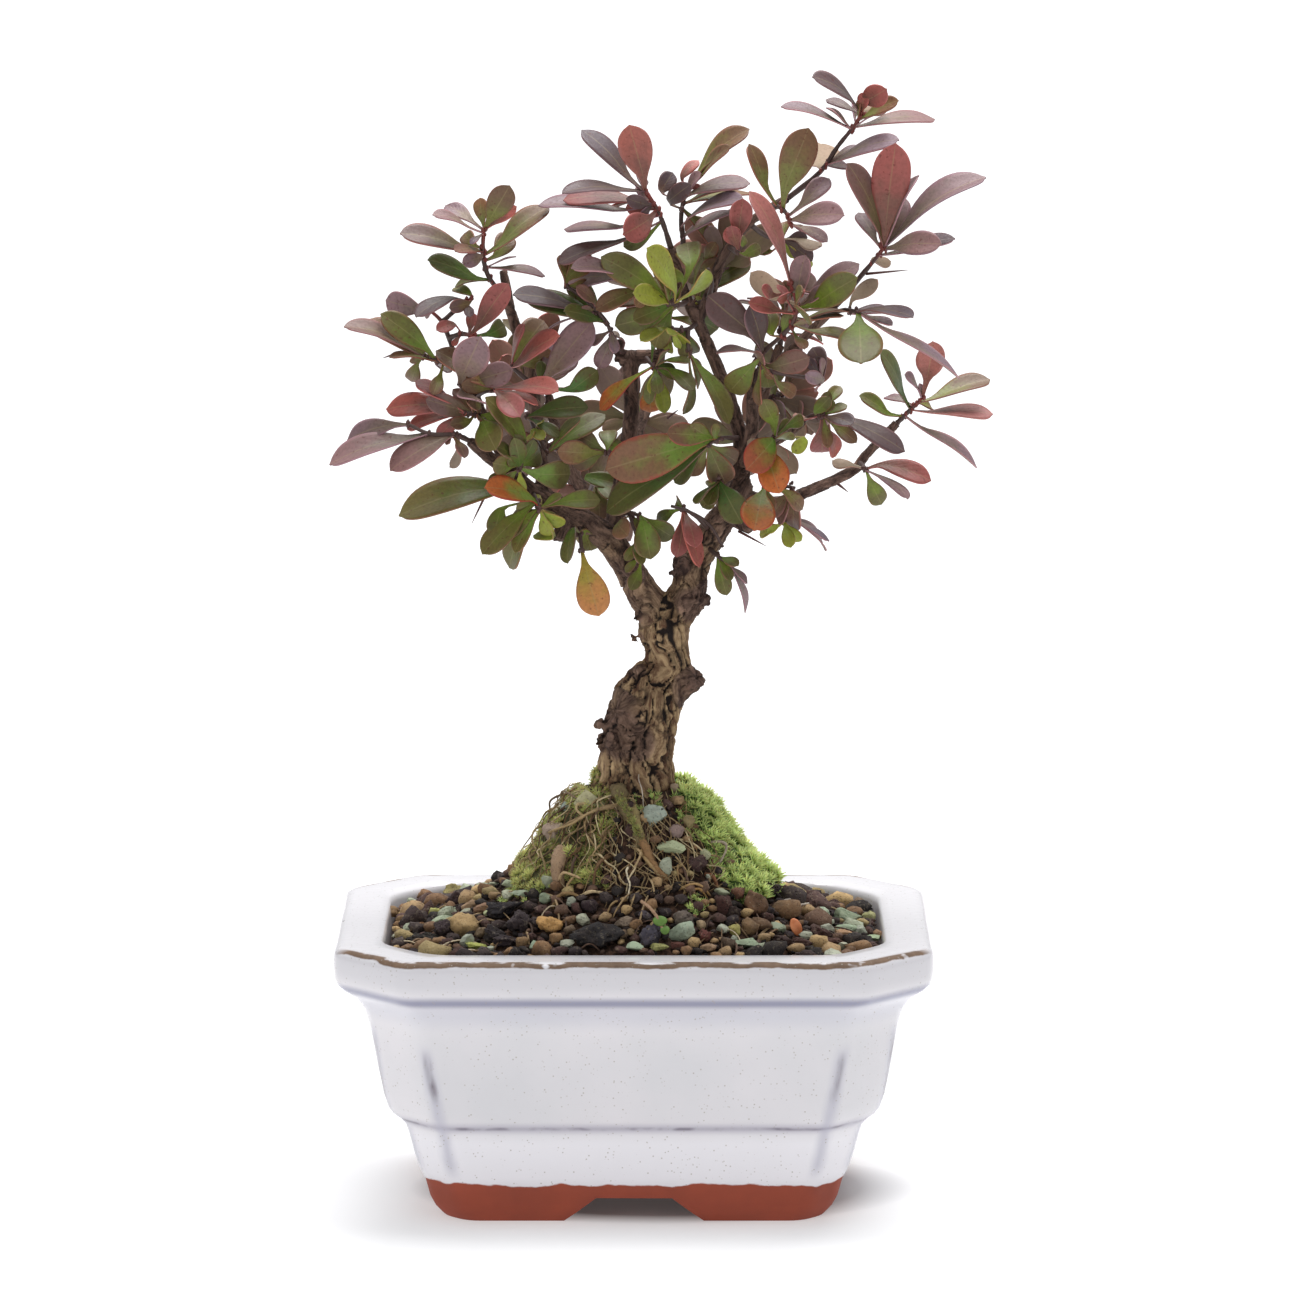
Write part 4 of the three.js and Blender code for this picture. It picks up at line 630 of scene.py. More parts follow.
# %% The soil body
CRUMB = 1.3
random.seed(3)
bm = bmesh.new()
edge = inside_ring(60, 0.6)
half_x = max(p.x for p in edge) - WALL_GAP
half_y = max(p.y for p in edge) - WALL_GAP
bmesh.ops.create_grid(bm, x_segments=round(2 * half_x / CRUMB), y_segments=round(2 * half_y / CRUMB), size=1)
bmesh.ops.scale(bm, vec=(half_x, half_y, 1), verts=bm.verts)
cut = INNER_CUT - 0.3 * 0.6
for side_x in (-1, 1):
    for side_y in (-1, 1):
        normal = Vector((side_x * CUT_SLANT, side_y, 0)).normalized()
        corner = Vector((side_x * (half_x - cut), side_y * half_y, 0))
        bmesh.ops.bisect_plane(bm, geom=bm.verts[:] + bm.edges[:] + bm.faces[:], plane_co=corner, plane_no=normal,
                               clear_outer=True)
border = [e for e in bm.edges if e.is_boundary]
for z, inset in [level for level in INSIDE if SOIL_FLOOR < level[0] < 58] + [(SOIL_FLOOR, 15.2)]:
    made = bmesh.ops.extrude_edge_only(bm, edges=border)["geom"]
    lower = [v for v in made if isinstance(v, bmesh.types.BMVert)]
    widest = max(v.co.x for v in lower)
    deepest = max(v.co.y for v in lower)
    level = inside_ring(z, inset)
    bmesh.ops.scale(bm, vec=((max(p.x for p in level) - WALL_GAP) / widest,
                             (max(p.y for p in level) - WALL_GAP) / deepest, 1), verts=lower)
    for vertex in lower:
        vertex.co.z = z
    border = [e for e in made if isinstance(e, bmesh.types.BMEdge) and e.is_boundary]
bmesh.ops.contextual_create(bm, geom=border)
for vertex in bm.verts:
    if vertex.co.z < 1:
        x, y = vertex.co.x, vertex.co.y
        place = Vector((x, y, 0))
        crumbs = noise.fractal(place / 2.6, 0.8, 2.0, 4) * 0.9 + noise.noise(place / 7) * 0.9
        rim_share = smoothstep(0.9, 1, max(abs(x) / half_x, abs(y) / half_y))
        vertex.co = Vector((x, y, ground(x, y) - 0.7 + lerp(crumbs, -0.8, rim_share)))
bmesh.ops.recalc_face_normals(bm, faces=bm.faces)
compost, tree, shader = new_finish("dark_compost")
place = add(tree, "TexCoord").outputs["Object"]
crumbs = add(tree, "TexNoise", Vector=place, Scale=per_mm(1.2), Detail=8, Roughness=0.7).outputs["Fac"]
patches = add(tree, "TexNoise", Vector=place, Scale=per_mm(8), Detail=2).outputs["Fac"]
lit = add(tree, "MapRange", Value=crumbs, From_Min=0.42, From_Max=0.72).outputs[0]
colour = linear("#1d1512")
for chip, share in (("#2b1d17", patches), ("#664b3a", lit)):
    colour = add(tree, "Mix", {"data_type": "RGBA"}, Factor=share, s6=colour, s7=linear(chip)).outputs[2]
tree.links.new(colour, shader.inputs["Base Color"])
shader.inputs["Roughness"].default_value = 0.93
shader.inputs["Specular IOR Level"].default_value = 0.25
bump = add(tree, "Bump", Height=crumbs, Strength=0.9, Distance=0.5 * MM)
tree.links.new(bump.outputs[0], shader.inputs["Normal"])
soil = new_piece("soil_body", bm, [compost], ["soil"])
print("soil:", len(soil.data.polygons), "faces")

# %% [markdown]
# Bonsai grit is a mix: black and red lava, tan fired clay and pale green zeolite. Lava and zeolite break into
# sharp chips, and clay wears round. A ball whose reach is cut by a few random planes is a chip. More planes,
# less deeply set, make a pebble. The stones at the front are read from the view one by one and made finely.
# The rest fill the bed largest first, each where it finds room, with few faces.


# %% A stone
KINDS = {
    "lava": {"facets": 15, "set": (0.5, 0.84), "rough": 0.34},
    "clay": {"facets": 15, "set": (0.58, 0.86), "rough": 0.17},
    "zeolite": {"facets": 11, "set": (0.4, 0.8), "rough": 0.05},
}


def add_stone(bm, kind, middle, size, lean, fineness, chip):
    """A stone of a kind, fitted to a box of this size, leaning in the view, in its own shade."""
    form = KINDS[kind]
    planes = [(random_way(), random.uniform(*form["set"])) for _ in range(form["facets"])]
    seed = random_way() * 50
    verts = bmesh.ops.create_icosphere(bm, subdivisions=fineness, radius=1)["verts"]
    for vertex in verts:
        way = vertex.co.normalized()
        reach = min([1] + [depth / max(way.dot(normal), 0.01) for normal, depth in planes])
        vertex.co = way * reach * (1 + form["rough"] * noise.fractal(way * 1.9 + seed, 0.8, 2.0, 4))
    spans = [(min(v.co[i] for v in verts), max(v.co[i] for v in verts)) for i in range(3)]
    turn = Quaternion((0, 1, 0), lean) @ Quaternion((0, 0, 1), random.uniform(-0.4, 0.4))
    shade = random.gauss(1, 0.1)
    tone = bm.verts.layers.float_color["tone"]
    for vertex in verts:
        fitted = Vector([(vertex.co[i] - (low + high) / 2) / (high - low) * size[i]
                         for i, (low, high) in enumerate(spans)])
        vertex.co = middle + turn @ fitted
        vertex[tone] = [min(1, part * shade) for part in linear(chip)[:3]] + [1]


beds = {kind: bmesh.new() for kind in KINDS}
for bed in beds.values():
    bed.verts.layers.float_color.new("tone")
print(len(beds), "beds of stones")

# %% Stones read from the front view: [across, down, width, height, kind, colour]
SEEN_STONES = [
    [675, 830, 17, 14, "clay", "#7d6a63"], [686, 820, 13, 17, "clay", "#8f8058"], [674, 787, 9, 9, "clay", "#a8937c"],
    [670, 846, 30, 15, "zeolite", "#a9b98c"], [665, 865, 14, 19, "zeolite", "#a3b09a"],
    [704, 854, 12, 13, "zeolite", "#b3b98c"], [726, 862, 14, 12, "clay", "#8a6c5a"], [568, 806, 10, 11, "zeolite", "#a3b8b4"],
    [695, 861, 22, 18, "lava", "#4a3431"], [716, 870, 12, 10, "lava", "#33282a"], [741, 884, 16, 10, "clay", "#7a4f3a"],
    [766, 888, 28, 15, "lava", "#2b201e"], [753, 902, 24, 28, "clay", "#7a5a40"], [722, 904, 18, 24, "lava", "#4b302b"],
    [721, 891, 16, 8, "zeolite", "#99a585"], [736, 893, 16, 14, "clay", "#6b4835"], [748, 927, 18, 20, "clay", "#7f6344"],
    [681, 931, 29, 21, "zeolite", "#9ab49c"], [684, 919, 22, 22, "lava", "#6d6259"], [649, 934, 22, 28, "lava", "#45414a"],
    [597, 934, 58, 28, "lava", "#2a2728"], [551, 924, 28, 18, "clay", "#b98f57"], [556, 938, 14, 13, "clay", "#957450"],
    [623, 922, 20, 12, "clay", "#80705f"], [623, 935, 10, 11, "clay", "#756049"], [631, 932, 9, 8, "clay", "#7f6a4c"],
    [635, 946, 18, 9, "zeolite", "#9fbb9c"], [659, 947, 20, 8, "clay", "#a5a465"], [677, 946, 16, 9, "lava", "#5a352c"],
    [704, 936, 15, 14, "lava", "#5c332d"], [746, 943, 27, 11, "zeolite", "#93b18e"], [734, 930, 13, 13, "clay", "#a39a5a"],
    [777, 928, 17, 13, "zeolite", "#869a7e"], [700, 925, 11, 11, "clay", "#a38c6c"], [708, 948, 17, 9, "clay", "#a88a6c"],
    [728, 944, 19, 14, "clay", "#5a4a3c"], [645, 915, 14, 10, "lava", "#4a4248"], [733, 912, 16, 16, "lava", "#33241f"],
    [427, 897, 25, 17, "clay", "#7f5f43"], [452, 892, 25, 19, "clay", "#a0945f"], [459, 900, 28, 21, "lava", "#3c2a2a"],
    [414, 908, 22, 15, "clay", "#886746"], [393, 912, 13, 13, "clay", "#8b7050"], [402, 920, 12, 11, "clay", "#9b7c58"],
    [412, 917, 10, 9, "clay", "#a89568"], [436, 913, 14, 12, "clay", "#a5a35e"], [444, 921, 27, 12, "zeolite", "#93ab8a"],
    [450, 911, 16, 10, "zeolite", "#a1b898"], [467, 925, 30, 26, "clay", "#ab8f63"], [497, 935, 27, 20, "lava", "#2f2829"],
    [446, 930, 26, 22, "lava", "#382b2d"], [424, 939, 38, 14, "lava", "#26221f"], [405, 935, 11, 10, "clay", "#a38c66"],
    [521, 921, 26, 24, "lava", "#42383a"], [507, 909, 40, 17, "lava", "#2d292c"], [507, 942, 28, 12, "lava", "#33282b"],
    [523, 942, 14, 13, "clay", "#8b6f4d"], [535, 945, 12, 9, "zeolite", "#8aa88c"], [477, 946, 24, 6, "clay", "#9ba052"],
    [447, 943, 17, 11, "lava", "#4f3a36"], [471, 905, 18, 12, "clay", "#8f7458"], [485, 908, 24, 12, "clay", "#8a6a52"],
    [492, 911, 17, 9, "zeolite", "#a3b07c"], [482, 932, 12, 12, "clay", "#6f5c44"], [512, 884, 20, 10, "zeolite", "#8fa182"],
    [494, 885, 14, 8, "zeolite", "#8c9c80"], [522, 893, 20, 7, "zeolite", "#9fb79a"], [547, 898, 14, 11, "zeolite", "#9ab795"],
    [590, 905, 18, 14, "lava", "#35272a"], [570, 930, 12, 9, "clay", "#6d5b48"], [845, 916, 32, 20, "zeolite", "#87a383"],
    [822, 913, 16, 13, "zeolite", "#a0b79c"], [843, 929, 27, 9, "zeolite", "#8fae8c"], [843, 935, 21, 11, "clay", "#a3805f"],
    [859, 906, 19, 16, "clay", "#74604d"], [804, 893, 19, 15, "zeolite", "#8ba489"], [810, 905, 13, 15, "lava", "#4e3530"],
    [868, 917, 15, 13, "clay", "#8b8a5f"], [800, 942, 22, 11, "lava", "#503630"], [820, 934, 24, 14, "lava", "#4a302a"],
    [878, 935, 12, 10, "clay", "#8c6c50"], [870, 938, 20, 6, "zeolite", "#90ab80"], [832, 942, 26, 9, "lava", "#4a3029"],
    [822, 899, 18, 12, "lava", "#382927"], [845, 900, 22, 12, "clay", "#5f4b3e"], [782, 941, 20, 12, "lava", "#3d2b28"],
]
SUNK = 0.22
random.seed(29)
taken = []
for across, down, width, height, kind, chip in SEEN_STONES:
    wide, high = width / UNITS_PER_MM, height / UNITS_PER_MM
    deep = min(wide, max(high, 0.7 * wide))
    foot = ground_seen_at(across, down + SUNK * height)
    foot.y = max(foot.y, -half_y + deep / 2 + 0.3)
    middle = Vector((foot.x, foot.y, ground(foot.x, foot.y))) + ground_normal(foot.x, foot.y) * high * SUNK
    middle.z = min(middle.z, POT_HEIGHT + 1.5) if abs(foot.y) > half_y - 5 else middle.z
    lean = random.uniform(-0.5, 0.5) * (1 - abs(wide - high) / max(wide, high))
    add_stone(beds[kind], kind, middle, (wide, deep, high), lean, 4 if width > 19 else 3, chip)
    taken.append((foot.x, foot.y, (wide + deep) / 4))
print(len(SEEN_STONES), "stones set by eye")

# %% Fill the bed with grit
CHIPS = {
    "lava": ["#2c2624", "#3a2b29", "#4a322d", "#33292b", "#453a38", "#57403a"],
    "clay": ["#8a6a4a", "#a58862", "#b89a6c", "#75583e", "#6b5140", "#9d8a5f"],
    "zeolite": ["#a6ae9b", "#8f9a8b", "#9caa90", "#b2b89f"],
}
MIX = ["lava"] * 11 + ["clay"] * 8 + ["zeolite"] * 2
GRIT_SIZES = [(46, 6, 8.5), (150, 4.4, 6), (330, 3, 4.4), (620, 1.7, 3)]
MOSS_SPANS = {"moss_right": (-40, 72, 35), "moss_left": (146, 256, 31)}
BARE_TOP = 15
CROWDED = 0.82


def degrees_round(x, y):
    return math.degrees(math.atan2(y * MOUND_DEPTH_SCALE, x))


def in_moss(x, y):
    """True on the mound's mossy slopes and on its top."""
    r = math.hypot(x, y * MOUND_DEPTH_SCALE)
    turn = degrees_round(x, y)
    return r < BARE_TOP or any((turn - low) % 360 < high - low and r < outer - 1.5
                               for low, high, outer in MOSS_SPANS.values())


def in_pot(x, y, margin):
    corner = abs(x) * CUT_SLANT + abs(y)
    return (abs(x) < half_x - margin and abs(y) < half_y - margin
            and corner < (half_x - cut) * CUT_SLANT + half_y - 1.5 * margin)


for count, least, most in GRIT_SIZES:
    for _ in range(count):
        size = random.uniform(least, most)
        for _ in range(14):
            x, y = random.uniform(-half_x, half_x), random.uniform(-half_y, half_y)
            crowd = any((x - a) ** 2 + (y - b) ** 2 < (CROWDED * (size / 2 + r)) ** 2 for a, b, r in taken)
            if in_pot(x, y, size / 2) and not in_moss(x, y) and not crowd:
                break
        else:
            continue
        steep = ground_normal(x, y).z
        if steep < 0.8 and size > 4:
            continue
        kind = random.choice(MIX)
        high = size * random.uniform(0.6, 0.9)
        middle = Vector((x, y, ground(x, y))) + ground_normal(x, y) * high * 0.2
        add_stone(beds[kind], kind, middle, (size, size * random.uniform(0.75, 1), high), random.uniform(-0.4, 0.4),
                  2 if size > 2.6 else 1, random.choice(CHIPS[kind]))
        taken.append((x, y, size / 2))
print(len(taken), "stones and grains in the bed")

# %% Finishes of the grit
FINISH_OF_KIND = {
    "lava": ("porous_lava", 0.95, 1.1, 0.9, 0.5, 0),
    "clay": ("fired_clay_grit", 0.88, 0.7, 0.6, 0.28, 0),
    "zeolite": ("zeolite_chip", 0.75, 0.9, 0.45, 0.2, 0.35),
}
for kind, (name, roughness, pore, pit_darkening, depth, dusty) in FINISH_OF_KIND.items():
    material, tree, shader = new_finish(name)
    place = add(tree, "TexCoord").outputs["Object"]
    tone = add(tree, "Attribute", {"attribute_name": "tone"}).outputs["Color"]
    grain = add(tree, "TexNoise", Vector=place, Scale=per_mm(pore), Detail=7, Roughness=0.68).outputs["Fac"]
    dust = add(tree, "TexNoise", Vector=place, Scale=per_mm(4), Detail=3).outputs["Fac"]
    pits = add(tree, "TexVoronoi", Vector=place, Scale=per_mm(pore * 0.8)).outputs["Distance"]
    # Darker in the pits and paler on the raised grain; the same noises make the bump.
    pit = add(tree, "MapRange", Value=pits, From_Min=0.32, From_Max=0.12).outputs[0]
    raised_share = add(tree, "MapRange", Value=grain, From_Min=0.35, From_Max=0.7).outputs[0]
    in_pits = add(tree, "Math", {"operation": "MULTIPLY"}, s0=pit, s1=pit_darkening * 0.8).outputs[0]
    on_ridges = add(tree, "MapRange", Value=raised_share, From_Min=0.55, To_Max=0.22).outputs[0]
    muddy = add(tree, "MapRange", Value=dust, From_Min=0.52, From_Max=0.75, To_Max=0.55).outputs[0]
    colour = tone
    for chip, share in (("#a8a28b", dusty), ("#2a1f1a", in_pits), ("#d8c8a8", on_ridges), ("#33241c", muddy)):
        colour = add(tree, "Mix", {"data_type": "RGBA"}, Factor=share, s6=colour, s7=linear(chip)).outputs[2]
    tree.links.new(colour, shader.inputs["Base Color"])
    shader.inputs["Roughness"].default_value = roughness
    height = add(tree, "Math", {"operation": "SUBTRACT"}, s0=grain, s1=pit).outputs[0]
    bump = add(tree, "Bump", Height=height, Strength=0.8, Distance=depth * MM)
    tree.links.new(bump.outputs[0], shader.inputs["Normal"])
    piece = new_piece(f"grit_{kind}", beds[kind], [material], slot="soil_grit", smooth=kind != "zeolite")
    print(name, len(piece.data.polygons), "faces")

# %% [markdown]
# Between the grains lie crumbs of compost, bits of bark and dry stalks. They are what makes a bed look used.
# They have few faces each: crumbs are dark lumps, stalks are thin tubes that follow the ground.

# %% Crumbs and litter
random.seed(31)
bm = bmesh.new()
bm.verts.layers.float_color.new("tone")
for _ in range(1500):
    x, y = random.uniform(-half_x, half_x), random.uniform(-half_y, half_y)
    size = random.uniform(0.9, 2.4)
    if in_pot(x, y, size / 2) and not in_moss(x, y):
        middle = Vector((x, y, ground(x, y) - 0.1 * size)) + ground_normal(x, y) * random.uniform(0, 0.5)
        add_stone(bm, "lava", middle, (size, size * 0.8, size * 0.7), random.uniform(-0.6, 0.6), 1,
                  random.choice(["#231814", "#33241d", "#452f24", "#5a4030", "#2b1e1a"]))
crumb_skin, tree, shader = new_finish("compost_crumbs")
tone = add(tree, "Attribute", {"attribute_name": "tone"}).outputs["Color"]
grain = add(tree, "TexNoise", Vector=add(tree, "TexCoord").outputs["Object"], Scale=per_mm(0.5), Detail=4)
colour = add(tree, "Mix", {"data_type": "RGBA"}, Factor=grain.outputs["Fac"], s6=tone, s7=linear("#120c0a"))
tree.links.new(colour.outputs[2], shader.inputs["Base Color"])
shader.inputs["Roughness"].default_value = 0.92
crumbs_piece = new_piece("compost_crumbs", bm, [crumb_skin], slot="soil_grit")
print("crumbs:", len(crumbs_piece.data.polygons), "faces")


def along_ground(places, lift):
    """Points over the ground at places seen in the front view, with both ends sunk in."""
    points = []
    for i, (across, down) in enumerate(places):
        foot = ground_seen_at(across, down)
        sink = -0.5 if i in (0, len(places) - 1) else lift
        sink += 2.1 if in_moss(foot.x, foot.y) else 0
        points.append(Vector((foot.x, foot.y, ground(foot.x, foot.y))) + ground_normal(foot.x, foot.y) * sink)
    return points


# %% Roots and stalks read from the front view: radius at each end, lift over the ground, colour, places
SEEN_ROOTS = [
    [0.75, 0.3, 0.7, "#8a7350", [[621, 805], [613, 813], [601, 815], [584, 824], [568, 833], [552, 840]]],
    [0.4, 0.25, 1.2, "#a58c62", [[612, 811], [596, 818], [580, 829], [563, 836], [549, 838]]],
    [0.35, 0.2, 1.0, "#9b8259", [[588, 823], [590, 831], [589, 840]]],
    [0.5, 0.3, 1.6, "#b09a70", [[592, 808], [586, 812], [585, 818], [590, 821]]],
    [1.9, 1.2, 0.9, "#6f6040", [[619, 792], [622, 806], [630, 820], [637, 834], [641, 846]]],
    [1.1, 0.8, 1.6, "#8a7a4e", [[632, 806], [636, 820], [638, 832], [646, 842]]],
    [1.2, 0.6, 1.0, "#8c6a44", [[638, 838], [644, 848], [650, 862], [658, 872], [668, 880]]],
    [0.6, 0.3, 1.4, "#a3875c", [[640, 850], [645, 862], [654, 874], [664, 881]]],
    [0.4, 0.25, 1.8, "#b59b72", [[634, 848], [640, 856], [637, 866], [630, 872]]],
    [0.32, 0.2, 2.2, "#dccfb2", [[630, 866], [627, 874], [628, 882], [630, 890], [627, 900]]],
    [0.3, 0.18, 2.0, "#cbb892", [[637, 864], [634, 874], [629, 884], [626, 893]]],
    [0.32, 0.2, 1.6, "#b39b73", [[649, 878], [652, 888], [655, 900]]],
    [0.36, 0.2, 1.4, "#a08660", [[632, 892], [625, 902], [618, 912], [612, 918]]],
    [0.34, 0.2, 1.5, "#9b8058", [[620, 900], [612, 908], [606, 916]]],
    [0.3, 0.2, 1.7, "#a88e66", [[639, 890], [634, 902], [628, 914]]],
    [0.45, 0.3, 1.5, "#cbb48a", [[580, 895], [594, 895], [608, 894]]],
    [0.45, 0.25, 1.5, "#c2a67c", [[562, 884], [570, 880], [583, 882]]],
    [0.4, 0.25, 1.3, "#b2946a", [[563, 896], [570, 887], [577, 880]]],
    [0.6, 0.35, 1.2, "#8c7048", [[552, 908], [560, 900], [572, 896], [584, 899]]],
    [0.5, 0.35, 1.1, "#6f5334", [[612, 856], [604, 866], [598, 878], [593, 890]]],
    [0.35, 0.2, 1.4, "#8a6a44", [[604, 862], [610, 870], [618, 876]]],
    [0.3, 0.2, 1.3, "#9a7c52", [[680, 862], [676, 872], [680, 884]]],
    [0.4, 0.25, 1.6, "#b3905e", [[679, 890], [690, 888], [700, 891], [711, 895]]],
    [0.35, 0.25, 1.4, "#a8824e", [[684, 893], [697, 892], [708, 898]]],
    [0.4, 0.3, 1.9, "#a89a84", [[707, 845], [713, 850], [716, 858], [716, 866]]],
    [0.6, 0.45, 1.0, "#7d5234", [[706, 873], [712, 880], [719, 890]]],
    [0.45, 0.3, 1.2, "#8a7052", [[746, 862], [756, 871], [768, 881]]],
    [0.4, 0.3, 1.3, "#9a8262", [[750, 860], [761, 868], [774, 878]]],
    [0.35, 0.2, 1.2, "#a3906c", [[645, 902], [653, 909], [657, 916]]],
    [0.2, 0.12, 1.6, "#bdb0a0", [[636, 772], [640, 780], [638, 790], [641, 800], [644, 812]]],
    [0.2, 0.12, 1.8, "#b3a696", [[643, 768], [637, 776], [636, 786]]],
    [0.3, 0.2, 2.0, "#d9d2c2", [[614, 764], [618, 763], [622, 770]]],
    [0.35, 0.25, 1.5, "#6f5c48", [[572, 786], [562, 796], [556, 804]]],
    [0.3, 0.2, 1.6, "#7d6a50", [[566, 792], [574, 800], [585, 806]]],
    [0.32, 0.2, 1.3, "#a08a62", [[549, 826], [545, 838], [543, 850], [546, 862]]],
    [0.3, 0.2, 1.4, "#94805a", [[555, 842], [550, 856], [552, 870], [548, 882]]],
    [0.3, 0.2, 1.2, "#8a7450", [[541, 850], [538, 862], [540, 874]]],
    [0.5, 0.35, 1.1, "#54402f", [[580, 858], [578, 870], [574, 880]]],
    [0.35, 0.2, 1.2, "#c9c0b4", [[782, 900], [790, 903], [800, 902], [806, 905]]],
    [0.35, 0.25, 1.3, "#bdb2a4", [[785, 906], [795, 910], [806, 908], [816, 900]]],
    [0.3, 0.2, 1.2, "#8f7c66", [[784, 892], [796, 899], [808, 901]]],
    [0.4, 0.3, 1.2, "#9c8260", [[758, 936], [770, 930], [781, 924]]],
    [0.35, 0.25, 1.2, "#806448", [[762, 940], [774, 934], [788, 930]]],
    [0.5, 0.35, 1.0, "#7a4f36", [[404, 932], [414, 926], [424, 918]]],
    [0.35, 0.25, 1.2, "#a0724c", [[408, 934], [418, 929], [428, 921]]],
    [0.45, 0.3, 1.0, "#cdbfa8", [[461, 886], [470, 894], [478, 898]]],
    [0.4, 0.3, 1.0, "#5f4738", [[478, 882], [490, 878], [504, 872]]],
    [0.5, 0.35, 0.9, "#4a382c", [[486, 888], [498, 884], [512, 877]]],
    [0.5, 0.3, 1.0, "#8f7b60", [[396, 928], [402, 938], [408, 942]]],
]
ROOTLETS = 150
random.seed(37)
bm = bmesh.new()
tone = bm.verts.layers.float_color.new("tone")
for thick, thin, lift, chip, places in SEEN_ROOTS:
    path = smooth_path(along_ground(places, lift), 5)
    radii = [lerp(thick, thin, k / (len(path) - 1)) * random.uniform(0.85, 1.15) for k in range(len(path))]
    verts, _ = join_in(bm, tube(path, radii, sides=14 if thick > 1 else 5, ragged=0.6 if thick > 1 else 0.35))
    for vertex in verts:
        vertex[tone] = linear(chip)
for _ in range(150):
    x, y = random.uniform(-half_x, half_x), random.uniform(-half_y, half_y)
    angle, length = random.uniform(0, 6.28), random.uniform(4, 11)
    bend = random.uniform(-0.6, 0.6)
    ends = [(x + length * k / 3 * math.cos(angle + bend * k / 3), y + length * k / 3 * math.sin(angle + bend * k / 3))
            for k in range(4)]
    if all(in_pot(a, b, 1) and not in_moss(a, b) for a, b in ends):
        points = [Vector((a, b, ground(a, b) + (1.6 if k in (1, 2) else 0.2))) for k, (a, b) in enumerate(ends)]
        thick = random.uniform(0.14, 0.34)
        verts, _ = join_in(bm, tube(smooth_path(points, 3), [thick] * 10, sides=4))
        chip = random.choice(["#4a382c", "#7d6348", "#a58c68", "#5f4738", "#cbbb9c", "#3a2c24"])
        for vertex in verts:
            vertex[tone] = linear(chip)
for _ in range(ROOTLETS):
    angle, r = math.radians(random.triangular(150, 335, 285)), random.uniform(13, 25)
    points = []
    for k in range(6):
        x, y = r * math.cos(angle), r * math.sin(angle) / MOUND_DEPTH_SCALE
        lift = random.uniform(0.3, 1.4) if k not in (0, 5) else -0.3
        lift += 1.6 if in_moss(x, y) else 0
        points.append(Vector((x, y, ground(x, y))) + ground_normal(x, y) * lift)
        r += random.uniform(0.4, 2.6)
        angle += random.gauss(0, 0.09)
    path = smooth_path(points, 3)
    thick = random.choice([0.12, 0.16, 0.2, 0.3])
    verts, _ = join_in(bm, tube(path, [lerp(thick, 0.08, k / len(path)) for k in range(len(path))], sides=4))
    chip = random.choice(["#8a7350", "#a58c62", "#6f5334", "#c9b78e", "#5a4330", "#94805a"])
    for vertex in verts:
        vertex[tone] = linear(chip)
root_skin, tree, shader = new_finish("root_skin")
shade = add(tree, "Attribute", {"attribute_name": "tone"}).outputs["Color"]
place = add(tree, "TexCoord").outputs["Object"]
grain = add(tree, "TexNoise", Vector=place, Scale=per_mm(0.7), Detail=5).outputs["Fac"]
dark = add(tree, "MapRange", Value=grain, From_Min=0.5, From_Max=0.8, To_Max=0.7).outputs[0]
colour = add(tree, "Mix", {"data_type": "RGBA"}, Factor=dark, s6=shade, s7=linear("#35261c")).outputs[2]
tree.links.new(colour, shader.inputs["Base Color"])
shader.inputs["Roughness"].default_value = 0.8
bump = add(tree, "Bump", Height=grain, Strength=0.9, Distance=0.35 * MM)
tree.links.new(bump.outputs[0], shader.inputs["Normal"])
roots = new_piece("surface_roots_and_stalks", bm, [root_skin], slot="bark")
print("roots and stalks:", len(roots.data.polygons), "faces")

# %% The three pebbles on the mound
PEBBLES = {
    "stone_green_grey": ("zeolite", "#93a79d", 0.3),
    "stone_tan_green": ("zeolite", "#a9a577", 0.15),
    "stone_tan_grey": ("clay", "#a08c7c", 0.3),
}
random.seed(41)
for name, (kind, chip, lean) in PEBBLES.items():
    low, high = [OUT_OF_FRAME @ Vector(corner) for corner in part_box(name)]
    bm = bmesh.new()
    bm.verts.layers.float_color.new("tone")
    add_stone(bm, kind, (low + high) / 2, high - low, lean, 5, chip)
    print(name, "at", [round(part, 1) for part in (low + high) / 2], "size", [round(part, 1) for part in high - low])
    new_piece(name.replace("stone", "pebble"), bm, [bpy.data.materials[FINISH_OF_KIND[kind][0]]], [name])
bm = bmesh.new()
tone = bm.verts.layers.float_color.new("tone")
path = smooth_path(along_ground([[565, 852], [565, 862], [562, 874], [559, 886]], 0.2), 6)
verts, _ = join_in(bm, tube(path, [2.1 - 1.1 * abs(k / len(path) - 0.35) for k in range(len(path))], 12, 0.25))
for vertex in verts:
    vertex[tone] = linear("#a08468")
new_piece("root_stub", bm, [bpy.data.materials["fired_clay_grit"]], slot="bark")
print("pebbles set")

# %% [markdown]
# Two mosses grow on the mound. On the right it is fresh and lime green, dense as fur. On the left it is older,
# olive and thin, with roots and soil showing. Each is a closed cushion with hundreds of small tufts. A tuft is
# nine narrow three-sided blades round one point, and every tuft is a copy, turned along the slope and scaled.

